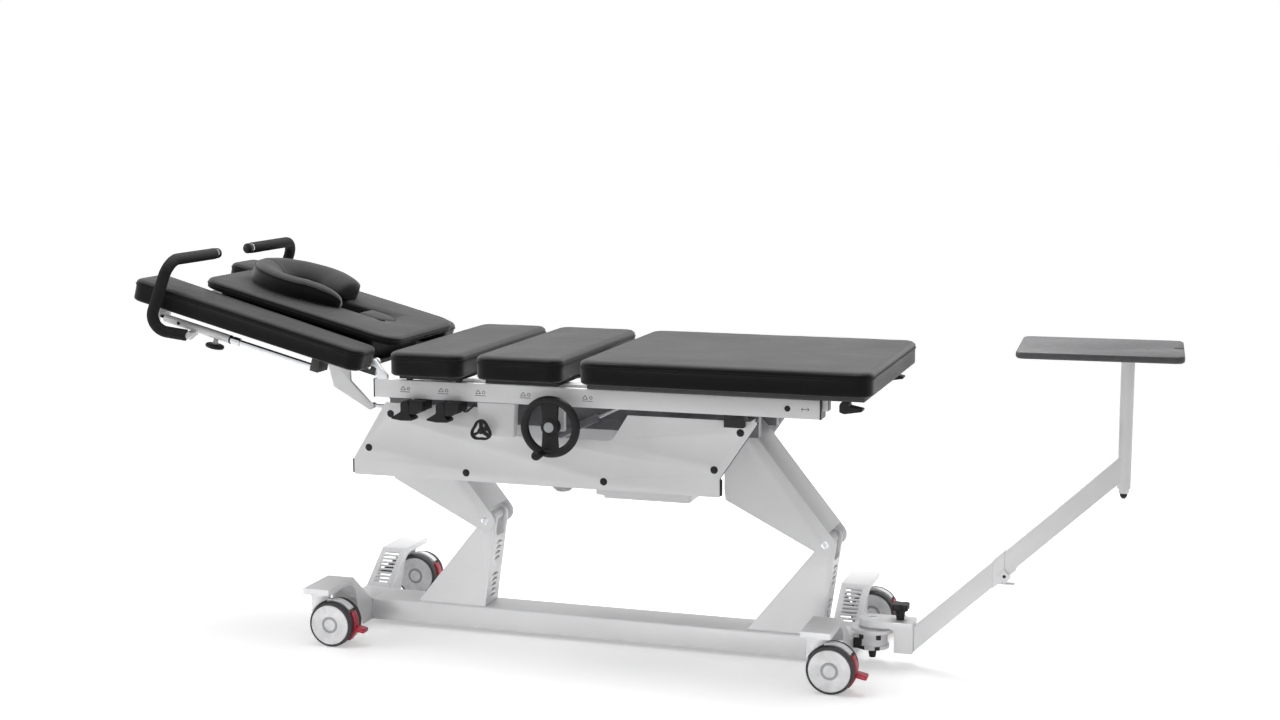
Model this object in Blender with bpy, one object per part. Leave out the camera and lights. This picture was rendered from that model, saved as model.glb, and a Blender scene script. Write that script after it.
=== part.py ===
"""Traction table: a castor-mounted treatment couch with a lifting base, a tilting
head section, a sliding lower section and a swinging traction arm.
Units are metres, +Z is up, +X points to the foot end and +Y away from the control side."""

from math import atan2, cos, degrees, hypot, pi, radians, sin, tan

import bmesh
import bpy
from mathutils import Matrix, Vector

# Clearances and overruns shared by the whole part
GAP = 0.0003
RUNNING_GAP = 0.0006
CUT_OVERRUN = 0.004
WELD_OVERLAP = 0.001

# Counts
ROUND_SIDES = 16
SMALL_SIDES = 10
WHEEL_SIDES = 20
CORNER_STEPS = 3

# Castors
WHEELBASE = 1.398
TRACK = 0.566
WHEEL_RADIUS = 0.0625
WHEEL_DISC_RADIUS = 0.0555
WHEEL_HUB_RADIUS = 0.0205
CASTOR_WIDTH = 0.078
TYRE_SHOULDER = 0.005
DISC_RECESS = 0.0015
WHEEL_GAP_WIDTH = 0.024
CASTOR_TRAIL = 0.043
AXLE_RADIUS = 0.0055
CORE_RADIUS = 0.0500
HOOD_RADIUS = 0.0660
CORE_WIDTH = 0.021
STEM_HOUSING_RADIUS = 0.029
STEM_HOUSING_BASE = 0.086
STEM_HOUSING_TOP = 0.1462
STEM_WAIST = 0.0035
STEM_RADIUS = 0.011
STEM_RISE = 0.006
HOOD_START = radians(40)
HOOD_END = radians(176)
PEDAL_TOP = radians(33)
PEDAL_BOTTOM = radians(-47)
PEDAL_TONGUE_ANGLE = radians(-11)
PEDAL_TONGUE_REACH = 0.0935
PEDAL_TONGUE_WIDTH = 0.034
PEDAL_TONGUE_THICK = 0.013

# Spine beam and outriggers
SHEET = 0.004
BEAM_HALF_WIDTH = 0.060
BEAM_BASE = 0.012
BEAM_TOP = 0.073
BEAM_FOLD = 0.006
OUTRIGGER_HEAD_SIDE = 0.031
OUTRIGGER_FOOT_SIDE = 0.047
PLATFORM_TOP = 0.163
PLATFORM_THICK = 0.0165
PLATFORM_REACH = 0.330
RAMP_TOP_Y = 0.178
RAMP_FOOT_Y = 0.064
OUTRIGGER_BASE_Y = 0.118
OUTRIGGER_KNEE_Y = 0.158
OUTRIGGER_KNEE_Z = 0.100
OUTRIGGER_HAUNCH_Y = 0.212
RAMP_SLOTS = 9
RAMP_SLOT_MARGIN_SHARE = 0.10
RAMP_SLOT_FILL_SHARE = 0.50
RAMP_SLOT_LENGTH = 0.044

# Posts
POST_LEFT_PIVOT_X = -0.3385
POST_SPACING = 0.969
LOWER_PIVOT_Z = 0.327
POST_HALF_WIDTH = 0.047
POST_HEAD_REACH = 0.2165
POST_FOOT_REACH = 0.0115
POST_CROWN_RADIUS = 0.0245
POST_SLOTS_LOW = 5
POST_SLOTS_HIGH = 4
POST_SLOT_HALF_LENGTH = 0.022
POST_SLOT_HEIGHT = 0.007
POST_SLOT_PITCH = 0.0155
POST_SLOTS_LOW_START = 0.018
POST_SLOTS_HIGH_START = 0.128
POST_WINDOW_HALF_WIDTH = 0.034
POST_WINDOW_DROP = 0.052

# Lift links
LINK_LENGTH = 0.390
LINK_ANGLE = radians(51)
LINK_HALF_WIDTH = 0.074
LINK_SHEET = 0.005
LINK_END_RADIUS = 0.030
LINK_UPPER_EDGE_ANGLE = radians(51.4)
LINK_LOWER_EDGE_ANGLE = radians(27)
LINK_LOWER_EDGE_LENGTH = 0.290
LINK_WEB_START = 0.020
LINK_WEB_STOP = 0.375
PIVOT_TUBE_RADIUS = 0.015
PIVOT_BOLT_RADIUS = 0.0085
PIVOT_BOLT_HEIGHT = 0.004

# Lift frame
FRAME_BAR_INNER_Y = 0.085
FRAME_BAR_OUTER_Y = 0.113
FRAME_BAR_BASE = 0.612
FRAME_TOP = 0.690
FRAME_HEAD_END = -0.602
FRAME_FOOT_END = 0.458
PIVOT_BRIDGE_BACK = 0.034
PIVOT_BRIDGE_FRONT = 0.006
PIVOT_BRIDGE_RISE = 0.0325
PIVOT_LUG_INNER_Y = 0.044
PIVOT_LUG_THICK = 0.014
PIVOT_LUG_RADIUS = 0.021
OUTRIG_BAR_WIDTH = 0.040
OUTRIG_BAR_HEIGHT = 0.024
HEAD_BAR_X = -0.450
FOOT_BAR_X = 0.429
FOOT_BAR_TOP = 0.6637

# Side panels
PANEL_OUTER_Y = 0.240
PANEL_SHEET = 0.0035
PANEL_HEAD_X = -0.653
PANEL_FOOT_X = 0.3876
PANEL_BASE = 0.474
PANEL_HEAD_KNEE = 0.520
PANEL_FOOT_KNEE = 0.5235
PANEL_TOP = 0.677
PANEL_TOP_HEAD_X = -0.556
PANEL_TOP_FOOT_X = 0.490
PANEL_CORNER = 0.004
WINDOW_HEAD_X = -0.184
WINDOW_FOOT_X = 0.0944
WINDOW_FOOT_TOP_X = 0.140
WINDOW_BASE = 0.607
WINDOW_CORNER = 0.022
PANEL_FLANGE = 0.016
SEAL_WIDTH = 0.0045
SEAL_DEPTH = 0.012
SCREW_RADIUS = 0.010
SCREW_HEIGHT = 0.0022
SCREW_INSET = 0.030
STOP_BLOCK_LENGTH = 0.052
STOP_BLOCK_OUTER_Y = 0.260
STOP_BLOCK_INNER_Y = 0.216

# Drive under the panels
CONTROL_BOX_HEAD_X = 0.016
CONTROL_BOX_FOOT_X = 0.262
CONTROL_BOX_BASE = 0.416
CONTROL_BOX_TOP = 0.560
CONTROL_BOX_HALF_WIDTH = 0.082
CONTROL_CAP_LENGTH = 0.025
CONTROL_STRAP = 0.020
MOTOR_X = -0.1303
MOTOR_RADIUS = 0.030
MOTOR_BASE = 0.412
MOTOR_TOP = 0.600
MOTOR_DOME = 0.010

# Top frame rails
RAIL_OUTER_Y = 0.270
RAIL_WALL_WIDTH = 0.0165
RAIL_LEDGE_INNER_Y = 0.2135
RAIL_BASE = 0.6966
RAIL_TOP = 0.7466
RAIL_LEDGE_HEIGHT = 0.019
RAIL_HEAD_END = -0.573
RAIL_FOOT_END = 0.656
RAIL_CAP = 0.0025
RAIL_FOLD = 0.003
CROSS_HEIGHT = 0.017
CROSS_WIDTH = 0.036
CROSS_PLACES = (-0.520, -0.240, 0.105, 0.600)
TILT_AXIS_Z = 0.676
TILT_LUG_Y = 0.1165
TILT_LUG_THICK = 0.009
TILT_LUG_RADIUS = 0.0125
TILT_PIN_RADIUS = 0.006
CUSHION_BOARD_THICK = 0.0115
CUSHION_BOARD_INSET = 0.040
BOARD_FOOT_SIZE = 0.014

# Controls on the near rail
GEAR_HEAD_X = -0.274
GEAR_FOOT_X = -0.166
GEAR_BASE = 0.605
GEAR_DRAFT = 0.005
GEAR_OUTER_Y = 0.270
CONTROL_INNER_Y = 0.2425
HANDWHEEL_X = -0.052
HANDWHEEL_Z = 0.6485
HANDWHEEL_Y = 0.310
HANDWHEEL_RADIUS = 0.082
HANDWHEEL_RIM = 0.011
HANDWHEEL_BAND = 0.044
HANDWHEEL_BAND_THICK = 0.012
HANDWHEEL_HUB_RADIUS = 0.026
HANDWHEEL_CAP_RADIUS = 0.014
HANDWHEEL_SHAFT_RADIUS = 0.008
BEARING_WIDTH = 0.040
BEARING_DEPTH = 0.017
CRANK_ANGLE = radians(-106)
CRANK_RADIUS = 0.0125
CRANK_LENGTH = 0.052
CRANK_PIN_RADIUS = 0.004
KNOB_X = -0.251
KNOB_Z = 0.6255
KNOB_Y = 0.300
KNOB_RADIUS = 0.0275
KNOB_LOBE = 0.0035
KNOB_RIM = 0.0065
KNOB_THICK = 0.014
KNOB_STEM_RADIUS = 0.007
KNOB_SPOKE = 0.007
LEVER_PITCH = 0.103
LEVER_HOUSING_X = -0.4560
LEVER_HOUSING_LENGTH = 0.040
LEVER_HOUSING_BASE = 0.660
LEVER_OUTER_Y = 0.306
LEVER_PADDLE_WIDTH = 0.038
LEVER_PIVOT_X = -0.469
LEVER_PIVOT_Z = 0.6835
LEVER_PIVOT_RADIUS = 0.0125
LEVER_TIP_REACH = 0.040
LEVER_TIP_DROP = 0.038
LEVER_HEEL_REACH = 0.022
LEVER_BLADE = 0.008
CABLE_RADIUS = 0.003

# Tilt strut
STRUT_BASE_X = -0.100
STRUT_BASE_Z = 0.590
STRUT_HEAD_X = 0.100
STRUT_HEAD_Z = 0.6870
STRUT_Y = 0.140
STRUT_RADIUS = 0.010
STRUT_ROD_RADIUS = 0.005
STRUT_TUBE_SHARE = 0.62

# Sliding carriage
INNER_RAIL_OUTER_Y = 0.2495
INNER_RAIL_INNER_Y = 0.2140
INNER_RAIL_TOP = 0.7535
INNER_RAIL_HEAD_END = -0.290
INNER_RAIL_FOOT_END = 0.672
CARRIAGE_TRAVEL = 0.150
LEG_HINGE_X = 0.035
LEG_HINGE_Z = 0.7470
LEG_HINGE_RADIUS = 0.0090
LEG_PIN_RADIUS = 0.0045
LEG_LUG_Y = 0.150
LEG_LUG_THICK = 0.018
HINGE_BEAM_WIDTH = 0.040
HINGE_BEAM_HEIGHT = 0.0205

# Cushions
CUSHION_HALF_WIDTH = 0.337
CUSHION_BASE = 0.7665
CUSHION_SEAM = 0.8135
CUSHION_TOP = 0.834
CUSHION_CORNER = 0.040
CUSHION_PLUMP = 0.004
THORACIC_HEAD_X = -0.506
THORACIC_LENGTH = 0.212
CUSHION_SPLIT = 0.036
LUMBAR_LENGTH = 0.241
LEG_GAP = 0.047
LEG_LENGTH = 0.769
LEG_BOARD_INSET = 0.022
FOOT_LEVER_X = 0.725
FOOT_LEVER_Y = 0.290
FOOT_LEVER_RADIUS = 0.0125
FOOT_LEVER_WIDTH = 0.036
FOOT_LEVER_REACH = 0.045
FOOT_LEVER_DROP = 0.016

# Head section, measured with the section level
HEAD_HINGE_X = -0.575
HEAD_HINGE_Z = 0.790
HEAD_TILT = radians(14.5)
HEAD_HINGE_RADIUS = 0.0100
HEAD_PIN_RADIUS = 0.005
HEAD_LUG_THICK = 0.009
HEAD_LUG_Y = 0.2605
BOLSTER_HEAD_X = -1.300
BOLSTER_FOOT_X = -0.590
BOLSTER_INNER_FOOT_Y = 0.228
BOLSTER_INNER_HEAD_Y = 0.183
BOLSTER_OUTER_Y = 0.337
BOLSTER_BASE = 0.7645
BOLSTER_SEAM = 0.811
BOLSTER_TOP = 0.829
HEAD_PAD_HEAD_X = -1.160
HEAD_PAD_FOOT_X = -0.551
HEAD_PAD_HALF_WIDTH = 0.220
HEAD_PAD_BASE = 0.8315
HEAD_PAD_SEAM = 0.843
HEAD_PAD_TOP = 0.8585
HEAD_PAD_CORNER = 0.060
HEAD_CORE_HALF_WIDTH = 0.168
FACE_SLOT_HEAD_X = -1.005
FACE_SLOT_FOOT_X = -0.655
FACE_SLOT_HALF_WIDTH = 0.047
TONGUE_HEAD_X = -0.752
TONGUE_TOP = 0.851
TONGUE_GAP = 0.002
PILLOW_X = -0.950
PILLOW_MID_RADIUS = 0.105
PILLOW_HALF_WIDTH = 0.044
PILLOW_ARM_LENGTH = 0.100
PILLOW_TOP = 0.903
HEAD_BOARD_HEAD_X = -1.255
HEAD_BOARD_FOOT_X = -0.600
HEAD_BOARD_HALF_WIDTH = 0.2525
HEAD_BOARD_THICK = 0.013
ARM_Y = 0.2065
ARM_THICK = 0.008
ARM_TOP_HEAD_X = -0.735
ARM_TOP_FOOT_X = -0.668
ARM_KNEE_HEAD_X = -0.700
ARM_KNEE_HEAD_Z = 0.674
ARM_KNEE_FOOT_X = -0.655
ARM_KNEE_FOOT_Z = 0.704
ARM_END_X = -0.582
ARM_END_Z = 0.652
ARM_END_RADIUS = 0.009
SPRING_Z = 0.660
SPRING_Y = 0.1900
SPRING_RADIUS = 0.011
SPRING_ROD_RADIUS = 0.005
SPRING_HEAD_X = -0.505
SPRING_ROD_FOOT_X = -0.375
SPRING_EYE_RADIUS = 0.009
SPRING_EYE_THICK = 0.012

# Grips
SLIDE_Y = 0.300
SLIDE_Z = 0.735
SLIDE_RADIUS = 0.0115
SLIDE_ROD_RADIUS = 0.0078
SLIDE_HEAD_X = -1.199
SLIDE_FOOT_X = -0.990
HANGER_HEAD_X = -1.212
HANGER_FOOT_X = -0.735
HANGER_THICK = 0.024
HANGER_DROP = 0.010
GRIP_RADIUS = 0.016
GRIP_START = (-1.107, 0.333, 0.716)
GRIP_LOWER = (-1.213, 0.358, 0.7066)
GRIP_UPPER = (-1.190, 0.358, 0.909)
GRIP_END = (-1.197, 0.085, 0.905)
GRIP_BEND = 0.048
GRIP_LUG_THICK = 0.016
CLAMP_X = -1.033
CLAMP_DISC_Z = 0.703
CLAMP_DISC_RADIUS = 0.026
CLAMP_DISC_THICK = 0.009
CLAMP_STEM_RADIUS = 0.007

# Traction arm
SWIVEL_X = 0.7486
HUB_PLATE_RADIUS = 0.045
HUB_PLATE_BASE = 0.043
HUB_PLATE_THICK = 0.010
DRUM_RADIUS = 0.041
INDEX_BASE = 0.088
INDEX_RADIUS = 0.057
INDEX_THICK = 0.010
INDEX_HOLES = 14
INDEX_HOLE_SPREAD = radians(88)
INDEX_HOLE_RADIUS = 0.0030
INDEX_HOLE_RING_SHARE = 0.87
HUB_FOOT_RADIUS = 0.0105
HUB_FOOT_BASE = 0.014
HUB_NECK_HALF_WIDTH = 0.034
BUMPER_RADIUS = 0.007
BUMPER_LENGTH = 0.016
SWING_PIN_RADIUS = 0.012
SWING_PLATE_BASE = 0.1030
SWING_PLATE_TOP = 0.1226
SWING_PLATE_HALF_WIDTH = 0.037
SWING_BOSS_RADIUS = 0.021
BLOCK_HEAD_X = 0.812
BLOCK_FOOT_X = 0.846
BLOCK_BASE = 0.040
BLOCK_ARCH_RADIUS = 0.012
SIDE_PLATE_THICK = 0.015
PLUNGER_X = 0.822
PLUNGER_RADIUS = 0.028
PLUNGER_LOBE_SHARE = 0.14
PLUNGER_STEM_RADIUS = 0.0105
PLUNGER_BASE = 0.141
PLUNGER_HEIGHT = 0.026
ARM_TUBE_DEPTH = 0.050
ARM_TUBE_WIDTH = 0.028
ARM_TUBE_WALL = 0.003
ARM_ANGLE = radians(43.4)
ARM_START_Z = 0.075
ARM_POST_X = 1.387
ARM_POST_RADIUS = 0.017
ARM_POST_BASE = 0.514
POST_COLLAR_RADIUS = 0.013
POST_COLLAR_HEIGHT = 0.012
POST_TIP_RADIUS = 0.0095
POST_TIP_HEIGHT = 0.014
TRAY_TOP = 0.878
TRAY_THICK = 0.018
TRAY_HEAD_X = 1.117
TRAY_LENGTH = 0.405
TRAY_WIDTH = 0.323
TRAY_SHIFT_Y = -0.010
TRAY_TURN = radians(2.8)
TRAY_CORNER = 0.022
TRAY_EDGE = 0.004
TRAY_NOTCH_DEPTH = 0.026
TRAY_NOTCH_WIDTH = 0.015
TRAY_FLANGE_RADIUS = 0.045
TRAY_FLANGE_THICK = 0.005
HOOK_ALONG = 0.300
HOOK_LENGTH = 0.030
HOOK_THICK = 0.003
HOOK_TAB = 0.026

# Shared helpers


def clear_scene():
    for obj in list(bpy.data.objects):
        bpy.data.objects.remove(obj, do_unlink=True)


def material(name, color, roughness, metallic=0.0):
    """A Principled material with the piece's colour."""
    found = bpy.data.materials.new(name)
    found.use_nodes = True
    shader = found.node_tree.nodes["Principled BSDF"]
    shader.inputs["Base Color"].default_value = (*color, 1.0)
    shader.inputs["Roughness"].default_value = roughness
    shader.inputs["Metallic"].default_value = metallic
    found.diffuse_color = (*color, 1.0)
    return found


def white_paint(name):
    return material(name, (0.80, 0.80, 0.81), 0.4)


def black_plastic(name):
    return material(name, (0.03, 0.03, 0.032), 0.45)


def black_vinyl(name):
    return material(name, (0.025, 0.025, 0.027), 0.5)


def polished_steel(name):
    return material(name, (0.75, 0.76, 0.78), 0.15, 1.0)


def raw(mesh_builder):
    """A loose object that holds a bmesh, for use as a solid or a cutter."""
    mesh = bpy.data.meshes.new("raw")
    bmesh.ops.recalc_face_normals(mesh_builder, faces=mesh_builder.faces)
    mesh_builder.to_mesh(mesh)
    mesh_builder.free()
    obj = bpy.data.objects.new("raw", mesh)
    bpy.context.scene.collection.objects.link(obj)
    return obj


AXES = {"X": (1, 2, 0), "Y": (0, 2, 1), "Z": (0, 1, 2)}


def point_on(axis, a, b, along):
    """World point of an outline point (a, b) at a place along the axis."""
    first, second, third = AXES[axis]
    point = [0, 0, 0]
    point[first] = a
    point[second] = b
    point[third] = along
    return Vector(point)


def prism(outline, axis, low, high):
    """The outline, in the plane across the axis, extruded from low to high."""
    shape = bmesh.new()
    bottom = [shape.verts.new(point_on(axis, a, b, low)) for a, b in outline]
    top = [shape.verts.new(point_on(axis, a, b, high)) for a, b in outline]
    count = len(outline)
    shape.faces.new(bottom)
    shape.faces.new(top[::-1])
    for i in range(count):
        j = (i + 1) % count
        shape.faces.new((bottom[i], top[i], top[j], bottom[j]))
    return raw(shape)


def box(x0, x1, y0, y1, z0, z1):
    return prism(rectangle(x0, x1, y0, y1), "Z", z0, z1)


def rectangle(a0, a1, b0, b1):
    return [(a0, b0), (a1, b0), (a1, b1), (a0, b1)]


def arc(a, b, radius, start, stop, steps):
    return [(a + radius * cos(start + (stop - start) * i / steps),
             b + radius * sin(start + (stop - start) * i / steps)) for i in range(steps + 1)]


def ring(a, b, radius, sides):
    return arc(a, b, radius, 0, 2 * pi, sides)[:-1]


def rounded(points, radii, steps=CORNER_STEPS):
    """The polygon with each corner replaced by an arc of its radius."""
    result = []
    count = len(points)
    for i, corner in enumerate(points):
        radius = radii[i] if isinstance(radii, (list, tuple)) else radii
        here = Vector(corner)
        before = Vector(points[i - 1]) - here
        after = Vector(points[(i + 1) % count]) - here
        angle = before.angle(after)
        if radius == 0 or angle > pi - radians(1):
            result.append(tuple(corner))
            continue
        reach = min(radius / tan(angle / 2), before.length / 2, after.length / 2)
        fitted = reach * tan(angle / 2)
        centre = here + (before.normalized() + after.normalized()).normalized() * (fitted / sin(angle / 2))
        first = here + before.normalized() * reach - centre
        last = here + after.normalized() * reach - centre
        start = atan2(first.y, first.x)
        turn = (atan2(last.y, last.x) - start + pi) % (2 * pi) - pi
        result += [(centre.x + fitted * cos(start + turn * k / steps),
                    centre.y + fitted * sin(start + turn * k / steps)) for k in range(steps + 1)]
    return result


def cylinder(axis, a, b, radius, low, high, sides=ROUND_SIDES):
    return prism(ring(a, b, radius, sides), axis, low, high)


def lathe(profile, axis, a, b, sides=ROUND_SIDES):
    """A closed turned body; the profile is (radius, along) from one pole to the other."""
    shape = bmesh.new()
    rows = []
    for radius, along in profile:
        if radius == 0:
            rows.append([shape.verts.new(point_on(axis, a, b, along))])
        else:
            rows.append([shape.verts.new(point_on(axis, p, q, along)) for p, q in ring(a, b, radius, sides)])
    for lower, upper in zip(rows, rows[1:]):
        for i in range(sides):
            j = (i + 1) % sides
            corners = [lower[i % len(lower)], lower[j % len(lower)], upper[j % len(upper)], upper[i % len(upper)]]
            unique = list(dict.fromkeys(corners))
            shape.faces.new(unique)
    return raw(shape)


def tube_along(points, radius, sides, squash=1.0, flat=None):
    """A solid swept along the points; flat is a direction in which the section is squashed."""
    shape = bmesh.new()
    rings = []
    side = None
    for i, point in enumerate(points):
        here = Vector(point)
        ahead = Vector(points[min(i + 1, len(points) - 1)]) - Vector(points[max(i - 1, 0)])
        ahead.normalize()
        if flat is not None:
            up = Vector(flat)
            side = ahead.cross(up).normalized()
        else:
            side = side or ahead.orthogonal().normalized()
            side = (side - ahead * side.dot(ahead)).normalized()
            up = side.cross(ahead)
        rings.append([shape.verts.new(here + side * (radius * cos(t)) + up * (radius * squash * sin(t)))
                      for t in (2 * pi * k / sides for k in range(sides))])
    for lower, upper in zip(rings, rings[1:]):
        for i in range(sides):
            j = (i + 1) % sides
            shape.faces.new((lower[i], lower[j], upper[j], upper[i]))
    shape.faces.new(rings[0][::-1])
    shape.faces.new(rings[-1])
    return raw(shape)


def smooth_path(points, bend, steps=6):
    """Points of a bent tube: straight runs joined by arcs of the bend radius."""
    path = [Vector(points[0])]
    for before, corner, after in zip(points, points[1:], points[2:]):
        here = Vector(corner)
        back = (Vector(before) - here).normalized()
        forth = (Vector(after) - here).normalized()
        angle = back.angle(forth)
        reach = min(bend / tan(angle / 2), (Vector(before) - here).length / 2, (Vector(after) - here).length / 2)
        fitted = reach * tan(angle / 2)
        middle = (back + forth).normalized()
        centre = here + middle * (fitted / sin(angle / 2))
        start = here + back * reach - centre
        stop = here + forth * reach - centre
        turn = start.angle(stop)
        for k in range(steps + 1):
            share = k / steps
            blend = (start * sin((1 - share) * turn) + stop * sin(share * turn)) / sin(turn)
            path.append(centre + blend)
    path.append(Vector(points[-1]))
    return path


def combine(base, others, operation):
    """Boolean of the base with each of the others, which are used up."""
    for other in others:
        change = base.modifiers.new("shape", "BOOLEAN")
        change.operation = operation
        change.object = other
        change.solver = "EXACT"
    if others:
        evaluated = base.evaluated_get(bpy.context.evaluated_depsgraph_get())
        mesh = bpy.data.meshes.new_from_object(evaluated)
        base.modifiers.clear()
        base.data = mesh
    for other in others:
        bpy.data.objects.remove(other, do_unlink=True)
    return base


def fuse(*solids):
    return combine(solids[0], solids[1:], "UNION")


def cut(base, *cutters):
    return combine(base, cutters, "DIFFERENCE")


def mirrored(solid, keep=True):
    """A copy of the solid mirrored in the centre plane; with keep the original stays."""
    copy = bpy.data.objects.new("raw", solid.data.copy() if keep else solid.data)
    bpy.context.scene.collection.objects.link(copy)
    copy.data.transform(Matrix.Diagonal((1, -1, 1, 1)))
    copy.data.flip_normals()
    return copy


def group(*solids):
    """Separate solids kept together in one object."""
    merged = bmesh.new()
    for solid in solids:
        merged.from_mesh(solid.data)
        bpy.data.objects.remove(solid, do_unlink=True)
    mesh = bpy.data.meshes.new("raw")
    merged.to_mesh(mesh)
    merged.free()
    obj = bpy.data.objects.new("raw", mesh)
    bpy.context.scene.collection.objects.link(obj)
    return obj


def finish(name, solid, look, parent, origin=(0, 0, 0), smooth=True):
    """Names the piece, puts its origin on its axis and hangs it on its parent."""
    obj = bpy.data.objects.new(name, solid.data)
    bpy.context.scene.collection.objects.link(obj)
    bpy.data.objects.remove(solid, do_unlink=True)
    obj.data.name = name
    obj.data.transform(Matrix.Translation(-Vector(origin)))
    obj.location = origin
    obj.parent = parent
    obj.data.materials.clear()
    obj.data.materials.append(look(name + "_finish"))
    if smooth:
        obj.data.shade_smooth()
        obj.data.set_sharp_from_angle(angle=radians(32))
    return obj


def empty(name, parent, location=(0, 0, 0), tilt=0):
    obj = bpy.data.objects.new(name, None)
    bpy.context.scene.collection.objects.link(obj)
    obj.parent = parent
    obj.location = location
    obj.rotation_euler = (0, tilt, 0)
    return obj


# Castors


def castor_name(x_side, y_side, piece):
    return "castor_%s_%s_%s" % ("left" if x_side < 0 else "right", "near" if y_side < 0 else "far", piece)


def wheel_profile():
    """Half of the twin wheel, as (radius, distance from the castor's middle plane)."""
    outer = CASTOR_WIDTH / 2
    inner = WHEEL_GAP_WIDTH / 2
    shoulder = TYRE_SHOULDER
    return [
        (0, outer - DISC_RECESS),
        (WHEEL_HUB_RADIUS, outer - DISC_RECESS),
        (WHEEL_HUB_RADIUS + DISC_RECESS, outer),
        (WHEEL_DISC_RADIUS, outer - DISC_RECESS),
        (WHEEL_RADIUS - DISC_RECESS, outer - shoulder),
        (WHEEL_RADIUS, outer - 2 * shoulder),
        (WHEEL_RADIUS, inner + shoulder),
        (WHEEL_RADIUS - DISC_RECESS, inner),
        (AXLE_RADIUS, inner),
    ]


def castor(x_side, y_side, root):
    """One twin castor: a forked core, the wheel pair on its axle and the locking pedal."""
    wheel_x = x_side * WHEELBASE / 2
    middle_y = y_side * TRACK / 2
    stem_x = wheel_x - CASTOR_TRAIL
    axle = (wheel_x, WHEEL_RADIUS)
    stem_place = (stem_x, middle_y, 0)
    axle_place = (wheel_x, middle_y, WHEEL_RADIUS)
    half = CORE_WIDTH / 2
    swivel = empty(castor_name(x_side, y_side, "swivel"), root, stem_place)

    def local(place):
        return Vector(place) - Vector(stem_place)

    profile = wheel_profile()
    full = [(r, middle_y - d) for r, d in profile] + [(r, middle_y + d) for r, d in reversed(profile)]
    wheels = lathe(full, "Y", *axle, sides=WHEEL_SIDES)
    place_under(finish(castor_name(x_side, y_side, "wheels"), wheels,
                       lambda n: material(n, (0.33, 0.33, 0.34), 0.6), swivel, axle_place), local(axle_place))

    core = cylinder("Y", *axle, CORE_RADIUS, middle_y - half, middle_y + half, WHEEL_SIDES)
    hood_outline = arc(*axle, HOOD_RADIUS, HOOD_START, HOOD_END, WHEEL_SIDES // 2)
    hood_outline += arc(*axle, CORE_RADIUS - WELD_OVERLAP, HOOD_END, HOOD_START, WHEEL_SIDES // 2)
    hood = prism(hood_outline, "Y", middle_y - half, middle_y + half)
    housing = lathe([(0, STEM_HOUSING_BASE), (STEM_HOUSING_RADIUS - STEM_WAIST, STEM_HOUSING_BASE),
                     (STEM_HOUSING_RADIUS - STEM_WAIST, STEM_HOUSING_TOP - 4 * STEM_WAIST),
                     (STEM_HOUSING_RADIUS, STEM_HOUSING_TOP - 3 * STEM_WAIST),
                     (STEM_HOUSING_RADIUS, STEM_HOUSING_TOP), (STEM_RADIUS, STEM_HOUSING_TOP),
                     (STEM_RADIUS, STEM_HOUSING_TOP + STEM_RISE), (0, STEM_HOUSING_TOP + STEM_RISE)],
                    "Z", stem_x, middle_y, ROUND_SIDES)
    tyre_room = WHEEL_RADIUS + 2 * DISC_RECESS
    wheel_room = [cylinder("Y", *axle, tyre_room, *sorted((middle_y + s * half, middle_y + s * CASTOR_WIDTH)),
                           WHEEL_SIDES) for s in (-1, 1)]
    housing = cut(housing, *wheel_room)
    bore = cylinder("Y", *axle, AXLE_RADIUS + RUNNING_GAP, middle_y - CASTOR_WIDTH, middle_y + CASTOR_WIDTH)
    fork = cut(fuse(core, hood, housing), bore)
    place_under(finish(castor_name(x_side, y_side, "fork"), fork, white_paint, swivel, stem_place), (0, 0, 0))

    band = arc(*axle, HOOD_RADIUS, PEDAL_BOTTOM, PEDAL_TOP, ROUND_SIDES // 2)
    band += arc(*axle, CORE_RADIUS + GAP, PEDAL_TOP, PEDAL_BOTTOM, ROUND_SIDES // 2)
    pedal = prism(band, "Y", middle_y - half, middle_y + half)
    tongue = box(wheel_x + HOOD_RADIUS - 2 * WELD_OVERLAP, wheel_x + PEDAL_TONGUE_REACH,
                 middle_y - PEDAL_TONGUE_WIDTH / 2, middle_y + PEDAL_TONGUE_WIDTH / 2,
                 WHEEL_RADIUS - PEDAL_TONGUE_THICK / 2, WHEEL_RADIUS + PEDAL_TONGUE_THICK / 2)
    turn = Matrix.Translation(axle_place) @ Matrix.Rotation(-PEDAL_TONGUE_ANGLE, 4, "Y")
    tongue.data.transform(turn @ Matrix.Translation(-Vector(axle_place)))
    soften(tongue, PEDAL_TONGUE_THICK / 3)
    pedal = fuse(pedal, tongue)
    place_under(finish(castor_name(x_side, y_side, "pedal"), pedal,
                       lambda n: material(n, (0.60, 0.03, 0.08), 0.4), swivel, axle_place), local(axle_place))


def place_under(obj, place):
    """Moves an object to a place given in its parent's own space."""
    obj.location = place
    return obj


def soften(solid, width, steps=1):
    """Rounds every edge of a convex solid."""
    shape = bmesh.new()
    shape.from_mesh(solid.data)
    bmesh.ops.bevel(shape, geom=list(shape.edges), offset=width, segments=steps, affect="EDGES", profile=0.5)
    shape.to_mesh(solid.data)
    shape.free()
    return solid


# Base


def spine_beam(root):
    """A folded channel, open below, from the head outrigger to the swivel hub."""
    head = outrigger_foot_side(-1)
    foot = outrigger_head_side(1)
    outer = rounded(rectangle(-BEAM_HALF_WIDTH, BEAM_HALF_WIDTH, BEAM_BASE, BEAM_TOP), [0, 0, BEAM_FOLD, BEAM_FOLD])
    inner = rectangle(-BEAM_HALF_WIDTH + SHEET, BEAM_HALF_WIDTH - SHEET, BEAM_BASE - CUT_OVERRUN, BEAM_TOP - SHEET)
    beam = prism(outer, "X", head + GAP, foot - GAP)
    beam = cut(beam, prism(inner, "X", head - CUT_OVERRUN, foot + CUT_OVERRUN))
    finish("spine_beam", beam, white_paint, root)


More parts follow.
